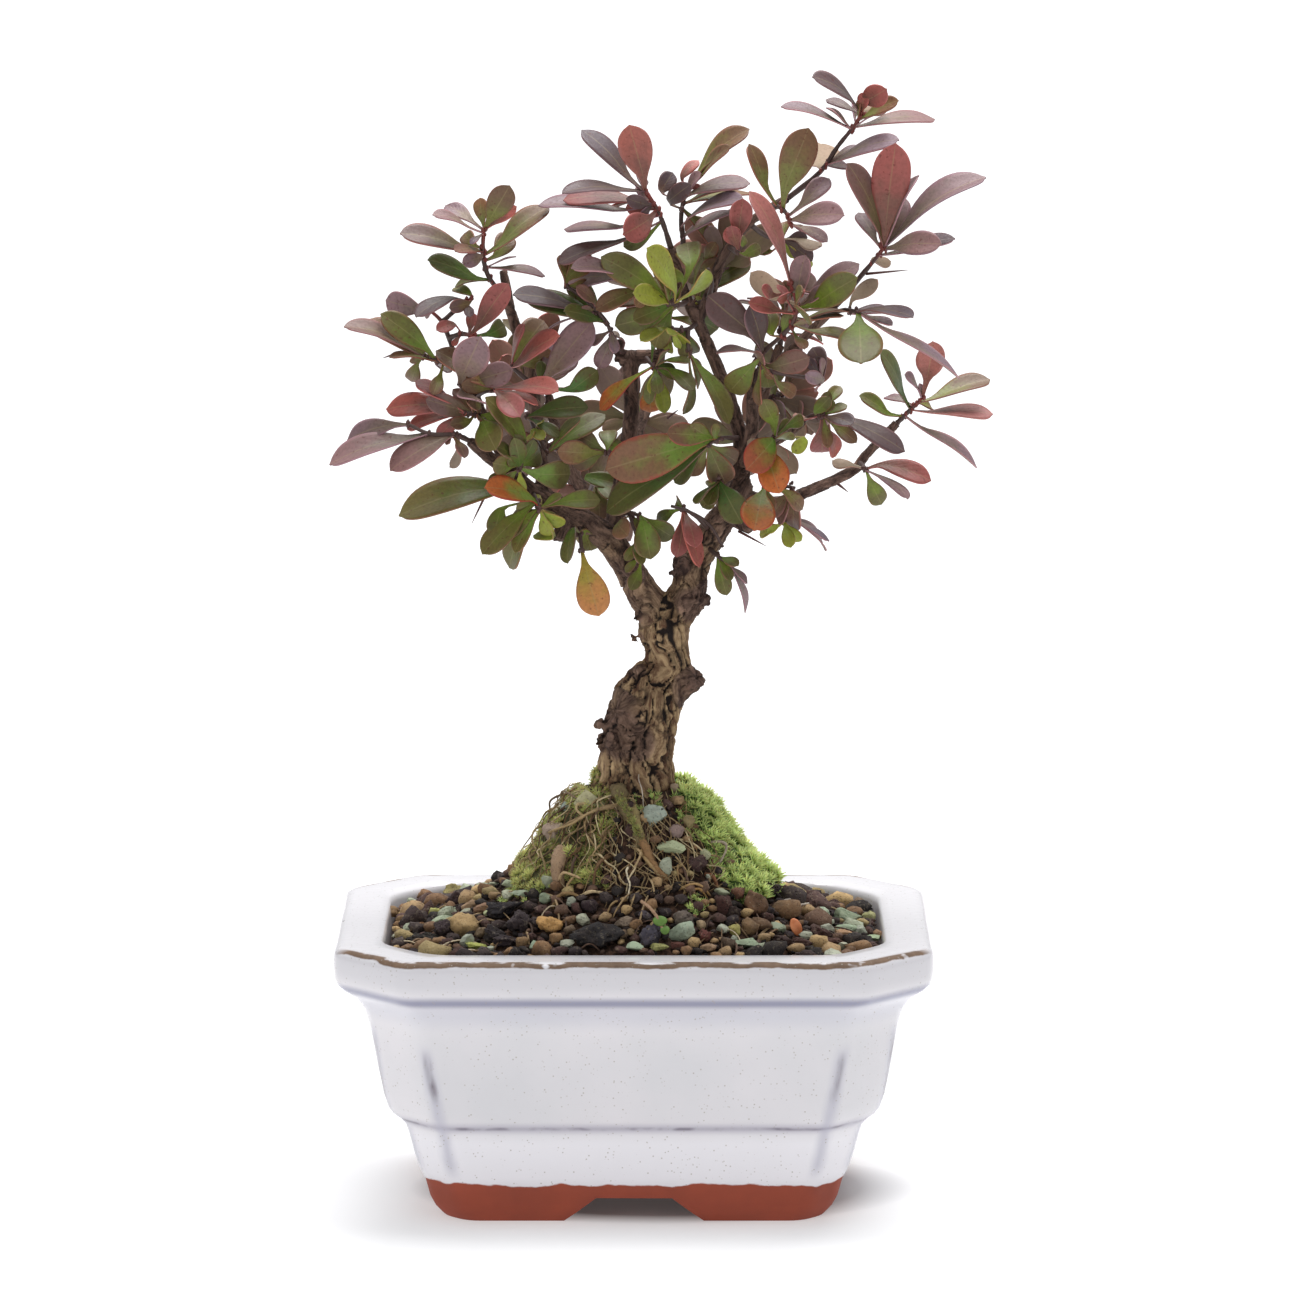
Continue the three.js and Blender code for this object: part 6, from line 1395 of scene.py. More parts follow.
# %% Sprays: shoots as [across, down, depth], leaves as [base across, down, tip across, down, width, look]
SPRAYS = {
    "spray_centre_front": [
        [[[740, 438, 0], [732, 438, -6], [721, 438, -12], [706, 446, -13]]],
        [
            [722, 436, 604, 470, 46, "turning"], [706, 440, 726, 484, 28, "olive"],
            [714, 440, 690, 425, 16, "green"],
            [700, 462, 605, 513, 28, "deep"],
        ],
    ],
    "spray_limb_under": [
        [[[580, 519, -5], [580, 534, -9], [582, 552, -11]]],
        [
            [582, 554, 599, 617, 34, "orange"], [582, 522, 592, 551, 20, "green"],
            [576, 517, 567, 564, 13, "deep"],
        ],
    ],
    "spray_peak_left": [
        [[[671, 248, -3], [664, 226, -4], [656, 207, -6], [645, 191, -8]]],
        [
            [647, 189, 629, 124, 34, "rose"], [636, 190, 581, 129, 18, "dark"],
            [656, 215, 623, 235, 30, "red"],
            [650, 204, 562, 200, 14, "red"], [654, 207, 626, 198, 14, "dark"],
            [635, 192, 561, 193, 9, "dark"],
            [640, 216, 537, 205, 8, "plum"], [638, 230, 563, 229, 6, "plum"],
            [638, 238, 557, 264, 9, "dark"],
            [658, 230, 623, 247, 17, "green"],
        ],
    ],
    "spray_right_top": [
        [[[836, 306, -12], [860, 277, -13], [876, 258, -14], [884, 247, -15]]],
        [
            [884, 245, 896, 142, 39, "red"], [885, 250, 898, 193, 33, "plum"],
            [884, 245, 847, 162, 20, "brown"],
            [884, 250, 987, 176, 14, "plum"], [886, 246, 919, 174, 9, "plum"],
            [878, 247, 858, 212, 15, "plum"],
            [882, 258, 956, 238, 10, "plum"], [868, 258, 891, 262, 8, "pale"],
        ],
    ],
    "spray_right_inner_top": [
        [[[751, 368, -11], [762, 353, -14], [779, 338, -18], [792, 324, -21], [797, 306, -22],
        [790, 282, -23]]],
        [
            [790, 276, 749, 190, 17, "rose"], [792, 307, 750, 272, 22, "pale"],
            [807, 311, 858, 277, 28, "green"],
            [798, 309, 860, 263, 18, "plum"], [784, 313, 748, 302, 14, "red"],
            [775, 298, 762, 288, 10, "red"],
            [803, 307, 827, 287, 10, "plum"], [799, 332, 863, 345, 8, "olive"],
            [794, 336, 805, 349, 8, "olive"],
            [770, 342, 771, 311, 17, "green"],
        ],
    ],
    "spray_right_core": [
        [[[752, 385, -8], [759, 368, -13], [763, 354, -16]], [[759, 368, -13], [795, 376, -15],
        [822, 378, -15]]],
        [
            [763, 342, 707, 295, 34, "dark"], [758, 359, 729, 392, 27, "green"],
            [765, 369, 810, 357, 25, "brown"],
            [828, 374, 812, 347, 20, "dark"], [828, 383, 805, 374, 14, "plum"],
            [771, 380, 796, 395, 14, "olive"],
            [760, 372, 760, 407, 8, "olive"], [752, 350, 715, 352, 5, "dark"],
        ],
    ],
    "spray_upper_mid_left": [
        [[[688, 300, -2], [680, 305, -9], [668, 303, -12]], [[680, 305, -9], [650, 290, -11],
        [634, 279, -11]]],
        [
            [673, 305, 600, 256, 28, "green"], [693, 276, 687, 242, 28, "green"],
            [682, 300, 647, 247, 20, "lime"],
            [679, 308, 614, 326, 29, "green"], [692, 280, 652, 270, 19, "green"],
            [632, 277, 563, 283, 18, "plum"],
            [647, 287, 595, 310, 18, "olive"], [661, 299, 616, 304, 10, "olive"],
            [669, 305, 665, 279, 4, "green"],
        ],
    ],
    "spray_inner_left": [
        [[[532, 385, 4], [537, 388, -3], [540, 386, -8]], [[537, 388, -3], [520, 374, -5],
        [511, 366, -6]]],
        [
            [538, 387, 593, 320, 33, "plum"], [511, 362, 544, 320, 32, "olive"],
            [509, 373, 560, 335, 14, "red"],
            [563, 396, 598, 370, 22, "deep"],
        ],
    ],
    "spray_left_front": [
        [[[532, 492, -9], [537, 501, -15], [540, 510, -17]]],
        [
            [530, 485, 397, 516, 30, "green"], [534, 515, 509, 569, 20, "green"],
            [541, 502, 484, 487, 18, "amber"],
            [548, 504, 601, 500, 18, "green"], [503, 500, 493, 536, 20, "green"],
            [548, 508, 551, 530, 20, "lime"],
            [539, 508, 503, 538, 15, "green"], [562, 540, 533, 535, 9, "lime"],
        ],
    ],
    "spray_left_heart": [
        [[[514, 476, -11], [519, 470, -16], [521, 461, -18]]],
        [
            [534, 458, 485, 396, 20, "green"], [522, 473, 571, 474, 30, "green"],
            [520, 471, 514, 437, 17, "deep"],
            [516, 466, 493, 463, 22, "green"], [512, 475, 488, 482, 12, "green"],
            [522, 476, 518, 496, 15, "lime"],
        ],
    ],
    "spray_right_mid_low": [
        [[[788, 433, -1], [780, 437, -8], [768, 440, -11]]],
        [
            [778, 434, 746, 470, 33, "blush"], [763, 441, 780, 494, 32, "amber"],
            [778, 430, 763, 399, 20, "green"],
            [782, 428, 804, 418, 14, "deep"], [811, 434, 792, 453, 14, "lime"],
            [745, 434, 763, 452, 12, "pale"],
        ],
    ],
    "spray_fork_front": [
        [[[762, 500, 2], [764, 492, -5], [766, 487, -9]], [[764, 492, -5], [780, 486, -6],
        [795, 488, -5]]],
        [
            [763, 487, 754, 531, 36, "amber"], [778, 485, 803, 510, 14, "olive"],
            [797, 490, 794, 530, 17, "brown"],
        ],
    ],
    "spray_fork_left": [
        [[[736, 498, -1], [727, 489, -7], [719, 481, -10]]],
        [[719, 480, 742, 524, 30, "deep"], [722, 484, 702, 508, 16, "green"]],
    ],
    "spray_left_peak": [
        [[[504, 296, -2], [490, 279, -5], [484, 262, -6], [483, 244, -7], [484, 230, -8]]],
        [
            [485, 227, 510, 185, 27, "olive"], [491, 256, 550, 206, 20, "olive"],
            [476, 254, 399, 233, 17, "brown"],
            [493, 262, 510, 234, 22, "olive"], [485, 285, 427, 259, 16, "deep"],
            [478, 226, 445, 205, 13, "plum"],
            [487, 228, 517, 206, 12, "red"], [478, 250, 464, 233, 16, "olive"],
            [486, 255, 462, 263, 15, "plum"],
            [492, 268, 546, 276, 6, "plum"], [475, 232, 432, 214, 4, "plum"],
        ],
    ],
    "spray_far_left": [
        [
            [[455, 356, -8], [449, 338, -9], [442, 322, -10], [432, 312, -11]],
            [[449, 338, -9], [461, 334, -12], [474, 336, -13]],
            [[442, 322, -10], [460, 306, -8], [472, 299, -8]],
        ],
        [
            [471, 338, 509, 283, 24, "red"], [430, 312, 385, 300, 25, "plum"],
            [462, 294, 415, 317, 12, "dark"],
            [476, 297, 453, 288, 8, "green"], [474, 302, 449, 308, 14, "brown"],
            [484, 337, 505, 325, 20, "deep"],
            [460, 323, 436, 330, 11, "red"],
        ],
    ],
    "spray_far_left_low": [
        [[[463, 370, -8], [452, 364, -12], [438, 361, -14], [424, 357, -14]]],
        [
            [436, 356, 380, 313, 25, "green"], [436, 367, 363, 321, 20, "olive"],
            [418, 354, 343, 326, 11, "brown"],
            [418, 359, 411, 382, 16, "olive"], [442, 371, 433, 395, 14, "olive"],
            [453, 378, 437, 360, 10, "dark"],
        ],
    ],
    "spray_left_mid_top": [
        [[[476, 396, -9], [484, 392, -13], [494, 389, -15]], [[476, 396, -9], [466, 390, -14],
        [458, 384, -16]]],
        [
            [458, 384, 481, 336, 36, "plum"], [494, 390, 435, 350, 20, "olive"],
            [501, 388, 559, 391, 12, "red"],
        ],
    ],
    "spray_left_mid": [
        [[[486, 421, -10], [480, 415, -15], [466, 413, -17]]],
        [
            [481, 417, 425, 399, 22, "brown"], [467, 411, 385, 409, 20, "red"],
            [482, 418, 496, 450, 31, "green"],
            [458, 414, 406, 429, 10, "red"], [475, 420, 450, 425, 13, "olive"],
            [484, 406, 469, 404, 10, "olive"],
        ],
    ],
    "spray_left_low": [
        [[[470, 441, -18], [455, 435, -20], [430, 434, -22], [410, 425, -22]]],
        [
            [427, 436, 328, 465, 18, "plum"], [407, 422, 346, 441, 20, "plum"],
            [460, 430, 389, 471, 23, "plum"],
            [462, 440, 450, 468, 8, "pale"], [455, 438, 465, 458, 10, "brown"],
        ],
    ],
    "spray_crotch_left": [
        [[[616, 515, -1], [630, 513, -7], [640, 516, -9]], [[630, 513, -7], [637, 536, -8],
        [640, 556, -8]]],
        [
            [641, 511, 651, 560, 27, "green"], [616, 520, 628, 536, 22, "olive"],
            [632, 541, 642, 565, 10, "green"],
            [642, 566, 630, 590, 15, "green"],
        ],
    ],
    "spray_behind_left": [
        [[[588, 500, 20], [591, 488, 12], [594, 482, 8]]],
        [[573, 475, 621, 485, 16, "deep"], [598, 485, 600, 521, 22, "olive"]],
    ],
    "spray_peak_right": [
        [[[675, 262, -2], [683, 244, 3], [681, 220, 4], [684, 197, 3], [690, 186, 3]]],
        [
            [691, 181, 750, 128, 15, "olive"], [656, 198, 673, 172, 18, "dark"],
            [662, 207, 691, 184, 18, "dark"],
            [676, 184, 699, 160, 10, "red"], [695, 185, 731, 146, 8, "olive"],
            [682, 210, 716, 250, 16, "olive"],
            [678, 198, 751, 183, 12, "plum"], [678, 204, 754, 193, 6, "olive"],
            [676, 227, 744, 198, 6, "plum"],
            [675, 240, 737, 211, 6, "plum"],
        ],
    ],
    "spray_upper_mid_right": [
        [[[708, 300, -1], [698, 303, 6], [690, 303, 9]], [[708, 300, -1], [712, 284, -8],
        [708, 268, -10]]],
        [
            [684, 304, 752, 261, 21, "green"], [684, 309, 718, 330, 30, "deep"],
            [698, 281, 717, 259, 14, "olive"],
            [705, 262, 716, 242, 14, "olive"], [690, 302, 705, 316, 12, "lime"],
        ],
    ],
    "spray_below_mid": [
        [[[698, 322, -1], [688, 329, -6], [672, 329, -9]], [[688, 329, -6], [688, 342, -8],
        [689, 352, -8]]],
        [
            [688, 353, 730, 425, 16, "green"], [686, 330, 690, 355, 22, "green"],
            [670, 326, 640, 341, 10, "lime"],
            [670, 332, 668, 353, 12, "lime"],
        ],
    ],
    "spray_leader_top": [
        [[[626, 356, 0], [614, 338, -5], [608, 325, -7]], [[608, 325, -7], [590, 303, -8],
        [566, 286, -8]]],
        [
            [607, 323, 523, 297, 22, "deep"], [561, 284, 592, 255, 22, "olive"],
            [592, 315, 512, 294, 12, "dark"],
            [615, 330, 598, 369, 18, "plum"], [599, 306, 576, 286, 12, "brown"],
            [628, 336, 612, 353, 14, "dark"],
        ],
    ],
    "spray_inner_left_low": [
        [[[538, 428, 1], [532, 421, -4], [527, 417, -7]], [[532, 421, -4], [540, 440, -8],
        [547, 453, -9]]],
        [
            [524, 416, 589, 407, 20, "deep"], [547, 454, 606, 414, 18, "green"],
            [529, 428, 544, 439, 10, "lime"],
        ],
    ],
    "spray_leader_mid": [
        [[[626, 456, 2], [614, 453, -5], [606, 452, -7]]],
        [[600, 453, 557, 451, 25, "olive"], [608, 451, 608, 430, 19, "green"]],
    ],
    "spray_knob": [
        [[[645, 357, 0], [650, 362, -5], [655, 368, -8]]],
        [
            [656, 370, 665, 414, 16, "lime"], [652, 378, 650, 413, 22, "amber"],
            [664, 364, 694, 391, 13, "green"],
            [640, 372, 599, 410, 14, "amber"], [660, 360, 691, 362, 5, "green"],
            [650, 350, 662, 336, 10, "deep"],
        ],
    ],
    "spray_far_tip": [
        [[[788, 198, -5], [820, 172, -6], [838, 146, -6], [855, 125, -6], [861, 114, -6]]],
        [
            [859, 104, 887, 89, 24, "red"], [821, 167, 817, 143, 44, "pale"],
            [858, 106, 812, 76, 12, "dark"],
            [856, 112, 889, 106, 11, "pale"], [860, 120, 899, 100, 12, "olive"],
            [856, 128, 936, 119, 10, "plum"],
            [850, 128, 780, 106, 6, "plum"], [854, 121, 852, 101, 5, "plum"],
            [827, 167, 900, 139, 10, "plum"],
            [827, 167, 850, 166, 8, "dark"],
        ],
    ],
    "spray_diagonal_top": [
        [[[768, 211, -3], [777, 206, -10], [786, 213, -13], [790, 224, -14]]],
        [
            [778, 204, 809, 127, 36, "olive"], [795, 213, 830, 178, 18, "plum"],
            [786, 221, 845, 215, 20, "plum"],
            [768, 199, 749, 143, 17, "olive"], [793, 224, 828, 242, 10, "plum"],
        ],
    ],
    "spray_diagonal_low": [
        [[[750, 224, -2], [766, 236, 5], [782, 240, 8]]],
        [
            [783, 238, 813, 261, 19, "dark"], [790, 250, 810, 270, 16, "lime"],
            [790, 236, 822, 247, 9, "pale"],
            [774, 260, 752, 236, 22, "olive"],
        ],
    ],
    "spray_diagonal_side": [
        [[[730, 247, -1], [736, 252, -8], [739, 250, -10]]],
        [[737, 244, 743, 198, 23, "red"], [738, 257, 761, 247, 14, "green"]],
    ],
    "spray_right_shoulder": [
        [[[828, 314, -12], [845, 310, -18], [858, 312, -21]]],
        [
            [859, 317, 861, 364, 46, "green"], [845, 303, 878, 279, 15, "pale"],
            [859, 308, 914, 317, 7, "dark"],
            [840, 316, 891, 309, 6, "plum"], [864, 316, 893, 325, 6, "plum"],
            [866, 322, 961, 379, 6, "plum"],
        ],
    ],
    "spray_right_mid_top": [
        [[[804, 420, 0], [814, 415, -3], [823, 416, -5]]],
        [
            [824, 411, 906, 452, 15, "dark"], [822, 422, 822, 453, 25, "red"],
            [811, 416, 830, 397, 15, "green"],
            [822, 408, 841, 386, 12, "green"], [828, 420, 857, 443, 14, "olive"],
            [824, 424, 836, 457, 14, "red"],
        ],
    ],
    "spray_fork_under": [
        [[[784, 501, 5], [784, 512, 2], [784, 522, 1]]],
        [
            [784, 522, 791, 548, 14, "lime"], [782, 524, 759, 535, 10, "lime"],
            [787, 515, 826, 550, 5, "plum"],
        ],
    ],
    "spray_far_right": [
        [[[897, 423, 12], [908, 412, 12], [922, 398, 11]]],
        [
            [926, 384, 933, 341, 30, "rose"], [920, 405, 991, 379, 12, "olive"],
            [904, 403, 880, 351, 14, "deep"],
            [914, 414, 994, 414, 8, "rose"], [893, 420, 859, 395, 12, "green"],
            [908, 422, 978, 468, 6, "plum"],
            [920, 392, 905, 374, 5, "plum"], [910, 403, 884, 397, 6, "plum"],
        ],
    ],
    "spray_right_low_mid": [
        [[[860, 463, 10], [863, 466, 3], [866, 470, 0]]],
        [
            [866, 462, 932, 481, 18, "red"], [866, 473, 882, 505, 20, "green"],
            [868, 471, 909, 499, 5, "plum"],
            [858, 466, 832, 461, 8, "pale"],
        ],
    ],
    "spray_crotch_right": [
        [[[712, 533, 1], [698, 518, -6], [684, 509, -8]]],
        [[678, 509, 700, 568, 15, "red"], [678, 508, 656, 522, 12, "green"]],
    ],
    "spray_limb_right_under": [
        [[[705, 543, 2], [714, 553, -4], [728, 564, -6]]],
        [[716, 557, 727, 596, 17, "green"], [732, 567, 746, 613, 5, "plum"]],
    ],
}

BACK_SPRAYS = {
    "spray_back_left_tip": [[548, 395, 31], [-0.1, 0.35, 0.95], 7, 3],
    "spray_back_left_mid": [[562, 450, 27], [-0.8, 0.6, 0.1], 7, 5],
    "spray_back_left_low": [[588, 500, 20], [0.1, 0.95, -0.1], 6, 8],
    "spray_back_right_tip": [[780, 345, 34], [0.15, 0.3, 0.95], 7, 11],
    "spray_back_right_mid": [[762, 400, 31], [0.7, 0.7, 0.1], 7, 14],
    "spray_back_right_low": [[742, 455, 24], [0.2, 0.9, 0.3], 6, 17],
    "spray_back_middle_tip": [[664, 330, 30], [0.05, 0.4, 0.9], 7, 20],
    "spray_back_middle_low": [[640, 425, 14], [-0.2, 0.95, 0.1], 7, 23],
    "spray_back_riser": [[534, 400, 4], [-0.35, 0.9, 0.25], 6, 26],
    "spray_back_diagonal": [[718, 272, 0], [0.25, 0.95, 0.1], 6, 29],
}

print(sum(len(rows) for _, rows in SPRAYS.values()), "leaves read in", len(SPRAYS), "sprays")


# %% The order in which a leaf's place was tried
LEAST_LEAF, LONGEST_LEAF = 9, 22
WIDTH_OF_LENGTH, BACK_WIDTH_OF_LENGTH = 0.38, 0.42
LEAST_SLOPE = 0.3
TURNS = [0, 9, -9, 18, -18, 27, -27]
STEEPNESS = [[0.2, -0.2, 0.5, -0.5, 0.8, -0.8], [0.5, -0.5, 0.8, -0.8, 0.2, -0.2], [0.8, -0.8, 0.3, -0.3]]
SHOOT_RADIUS, FIT = 0.95, 0.3


def leaf_places(row, depth, order):
    """Base, tip, width and upper side of each place that a listed leaf was tried in."""
    base_across, base_down, tip_across, tip_down, seen, look = row
    base = in_front_view(base_across, base_down, depth)
    da, dd = tip_across - base_across, tip_down - base_down
    flat = math.hypot(da, dd) / UNITS_PER_MM
    fullest = max(LEAST_LEAF, 2 * seen / UNITS_PER_MM)
    least = math.sqrt(max(0, fullest ** 2 - flat ** 2))
    most = max(LEAST_SLOPE * flat, min(flat, math.sqrt(max(0, LONGEST_LEAF ** 2 - flat ** 2))))
    towards = 1 if order % 2 else -1
    for turn in TURNS:
        angle = math.radians(turn)
        across = base_across + da * math.cos(angle) - dd * math.sin(angle)
        down = base_down + da * math.sin(angle) + dd * math.cos(angle)
        for steep in STEEPNESS[order % 3]:
            rise = towards * math.copysign(1, steep) * max(least, abs(steep) * most)
            tip = in_front_view(across, down, depth + rise)
            ahead = (tip - base).normalized()
            width = max(seen / UNITS_PER_MM, WIDTH_OF_LENGTH * (tip - base).length)
            roll = math.acos(min(1, seen / UNITS_PER_MM / width))
            facing = (Vector((0, -1, 0)) + ahead * ahead.y).normalized()
            aside = ahead.cross(facing)
            upper = facing * math.cos(roll) + aside * math.sin(roll) * (-1 if aside.z < 0 else 1)
            yield base, tip, width, -upper if look == "pale" else upper


BACK_SHOOT, BACK_LENGTHS, BACK_SPREAD = 9, (14, 19), (38, 82)
GOLDEN_TURN, BACK_TRIES, BACK_STEP = 137.5, 9, 29


def even_draws(seed):
    """The same even draws every time: a multiplying generator over a prime."""
    prime = 2 ** 31 - 1
    state = seed * 7919 + 17
    while True:
        state = state * 16807 % prime
        yield state / prime


def back_leaf_places(seat, way, draws, order):
    """The places that a far-side leaf was tried in: round the shoot by the golden angle."""
    lean = math.radians(lerp(*BACK_SPREAD, next(draws)))
    length = lerp(*BACK_LENGTHS, next(draws))
    base = seat + way * BACK_SHOOT * (1 - 0.1 * (order % 7))
    side = (Vector((0, 0, 1)) - way * way.z).normalized()
    other = way.cross(side)
    for k in range(BACK_TRIES):
        angle = math.radians(GOLDEN_TURN * order + BACK_STEP * k)
        out = side * math.cos(angle) + other * math.sin(angle)
        ahead = way * math.cos(lean) + out * math.sin(lean)
        upper = way * math.sin(lean) - out * math.cos(lean)
        yield base, base + ahead * length, BACK_WIDTH_OF_LENGTH * length, upper


def wood_distance(point):
    """How far a point is from the wood's surface."""
    nearest = math.inf
    for route in [TRUNK, *BRANCHES.values(), *STUBS]:
        for a, b in zip(route, route[1:]):
            start, end = in_front_view(*a[:3]), in_front_view(*b[:3])
            span = end - start
            share = min(1, max(0, (point - start).dot(span) / span.dot(span)))
            nearest = min(nearest, (start + span * share - point).length - lerp(a[3], b[3], share))
    return nearest


def shoot_samples(shoots):
    """Points along the shoots that lie outside the wood."""
    samples = [a.lerp(b, k / 10) for points in shoots for a, b in zip(points, points[1:]) for k in range(11)]
    clear = [p for p in samples if wood_distance(p) > SHOOT_RADIUS + FIT]
    return clear or [shoots[0][-1]]


# %% Find each leaf's place in the solids
NEAR_ENOUGH = 0.3


def corners_of(node):
    """A search tree over the corners of a solid, in millimetres."""
    vertices = frame["nodes"][node].data.vertices
    corners = kdtree.KDTree(len(vertices))
    for i, vertex in enumerate(vertices):
        corners.insert(OUT_OF_FRAME @ vertex.co, i)
    corners.balance()
    return corners


def kept_place(places, corners):
    """The first try whose tip is a corner of the solid, or None where no try was free."""
    for base, tip, width, upper in places:
        if corners.find(tip)[2] < NEAR_ENOUGH:
            return base, tip, width, upper
    return None


plants = {}
missing = []
for name, (routes, rows) in SPRAYS.items():
    shoots = [[in_front_view(*place) for place in route] for route in routes]
    seats = shoot_samples(shoots)
    corners = corners_of(name)
    leaves = []
    for order, row in enumerate(rows):
        near = in_front_view(row[0], row[1], shoots[0][-1].y)
        seat = min(seats, key=lambda p: (p - near).length)
        found = kept_place(leaf_places(row, seat.y, order), corners)
        if not found:
            missing.append((name, order))
            found = next(leaf_places(row, seat.y, order))
        leaves.append((seat, *found, row[5]))
    plants[name] = (shoots, leaves)
BACK_LOOKS = ["plum", "brown", "plum", "red", "olive", "green", "dark"]
for name, (seat, way, count, seed) in BACK_SPRAYS.items():
    start, ahead = in_front_view(*seat), Vector(way).normalized()
    draws = even_draws(seed)
    corners = corners_of(name)
    leaves = []
    for order in range(count):
        found = kept_place(list(back_leaf_places(start, ahead, draws, order)), corners)
        if found:
            leaves.append((found[0], *found, BACK_LOOKS[(order + seed) % 7]))
        else:
            missing.append((name, order))
    plants[name] = ([[start, start + ahead * BACK_SHOOT]], leaves)
print(sum(len(leaves) for _, leaves in plants.values()), "leaves; with no solid of their own:", missing)

# %% [markdown]
# A barberry leaf is a small spatula: a short stalk, a blade that is widest well past its middle, and a blunt,
# rounded tip. It is folded a little along its rib and arched along its length. One grid of few faces is the
# pattern for all of them. It is bent to each leaf's place, smoothed by a subdivision, and given its third of a
# millimetre of thickness last, so that the under side and the margin can have finishes of their own.

# %% The leaf's form
LEAF_ACROSS, LEAF_ALONG = 4, 9
STALK_SHARE = 0.14
LEAF_THICKNESS = 0.34
STALK_WIDTH = 0.09
FULLEST = 2.48
TIP_REACH = 0.99


def half_width(share):
    """Half the blade's width along the leaf, as a share of its widest."""
    blade = max(0, (share - STALK_SHARE) / (1 - STALK_SHARE))
    return max(STALK_WIDTH, FULLEST * blade ** 0.89 * (1 - blade) ** 0.5)


grid = bmesh.new()
bmesh.ops.create_grid(grid, x_segments=LEAF_ACROSS, y_segments=LEAF_ALONG, size=1)
leaf_pattern = pattern_from(grid, "leaf_pattern")
leaf_shares = []
for vertex in leaf_pattern.vertices:
    along = (vertex.co.y + 1) / 2
    leaf_shares.append((vertex.co.x, 1 - (1 - along) ** 1.7))


def lay_leaf(bm, seat, base, tip, width, upper, habit):
    """Bends a copy of the pattern from its seat to its tip. Habit holds the leaf's own small faults."""
    fold, arch, curl, twist = habit
    run = (tip - base) * TIP_REACH
    length = run.length
    ahead = run.normalized()
    up = (upper - ahead * upper.dot(ahead)).normalized()
    root = seat - ahead * 0.3
    verts, faces = add_copy(bm, leaf_pattern)
    for vertex, (u, v) in zip(verts, leaf_shares):
        turn = twist * (v - 0.5)
        across = (up.cross(ahead) * math.cos(turn) + up * math.sin(turn))
        spine = base + run * v if v > STALK_SHARE else root.lerp(base + run * STALK_SHARE, v / STALK_SHARE)
        half = width / 2 * half_width(v)
        if v == 1:
            half = width * 0.05
        rise = arch * length * math.sin(math.pi * min(1, max(0, v - 0.08) / 0.92) ** 0.9)
        rise += fold * half * abs(u) ** 1.3 - curl * half * u ** 4 + 0.12 * math.sin(9 * v + 5 * fold) * abs(u) ** 2
        round_off = 0.015 * length * u * u if v > 0.9 else 0
        vertex.co = spine - across * u * half + up * rise - ahead * round_off
    return verts, faces


print("a leaf has", len(leaf_pattern.polygons), "faces; widest at",
      max(range(100), key=lambda k: half_width(k / 100)), "% of its length")

# %% [markdown]
# In autumn the leaves of one twig run from green through olive and plum to red, and each changes from its tip
# and margin inwards. So a leaf keeps three colours as attributes, near the stalk, near the tip and on the
# margin, and the finish mixes them along the leaf's own UV map with a wandering edge. The upper face has a
# waxy sheen, a pale rib and faint side veins. The under face is paler, greyer and dull.

# %% Looks: near the stalk, near the tip, the margin
LOOKS = {
    "green": ("#6f8231", "#686234", "#7d5a40"),
    "deep": ("#50682b", "#59592c", "#6b503a"),
    "lime": ("#9aa840", "#8f953c", "#a58d4a"),
    "olive": ("#73743b", "#75573f", "#8f5c4b"),
    "brown": ("#726142", "#73544b", "#96605a"),
    "plum": ("#776659", "#836668", "#a0757a"),
    "dark": ("#5a4943", "#5c484a", "#7d5a5c"),
    "red": ("#7b5449", "#99544e", "#ad5f59"),
    "rose": ("#84564d", "#a4655e", "#b87b75"),
    "amber": ("#7c8a35", "#b4632f", "#9f3a27"),
    "orange": ("#a8913b", "#cb8950", "#b1764a"),
    "blush": ("#668834", "#8c4a30", "#a03426"),
    "turning": ("#6b8232", "#775239", "#9c4236"),
    "pale": ("#97866f", "#a38a76", "#b48f7f"),
}
print(len(LOOKS), "looks")


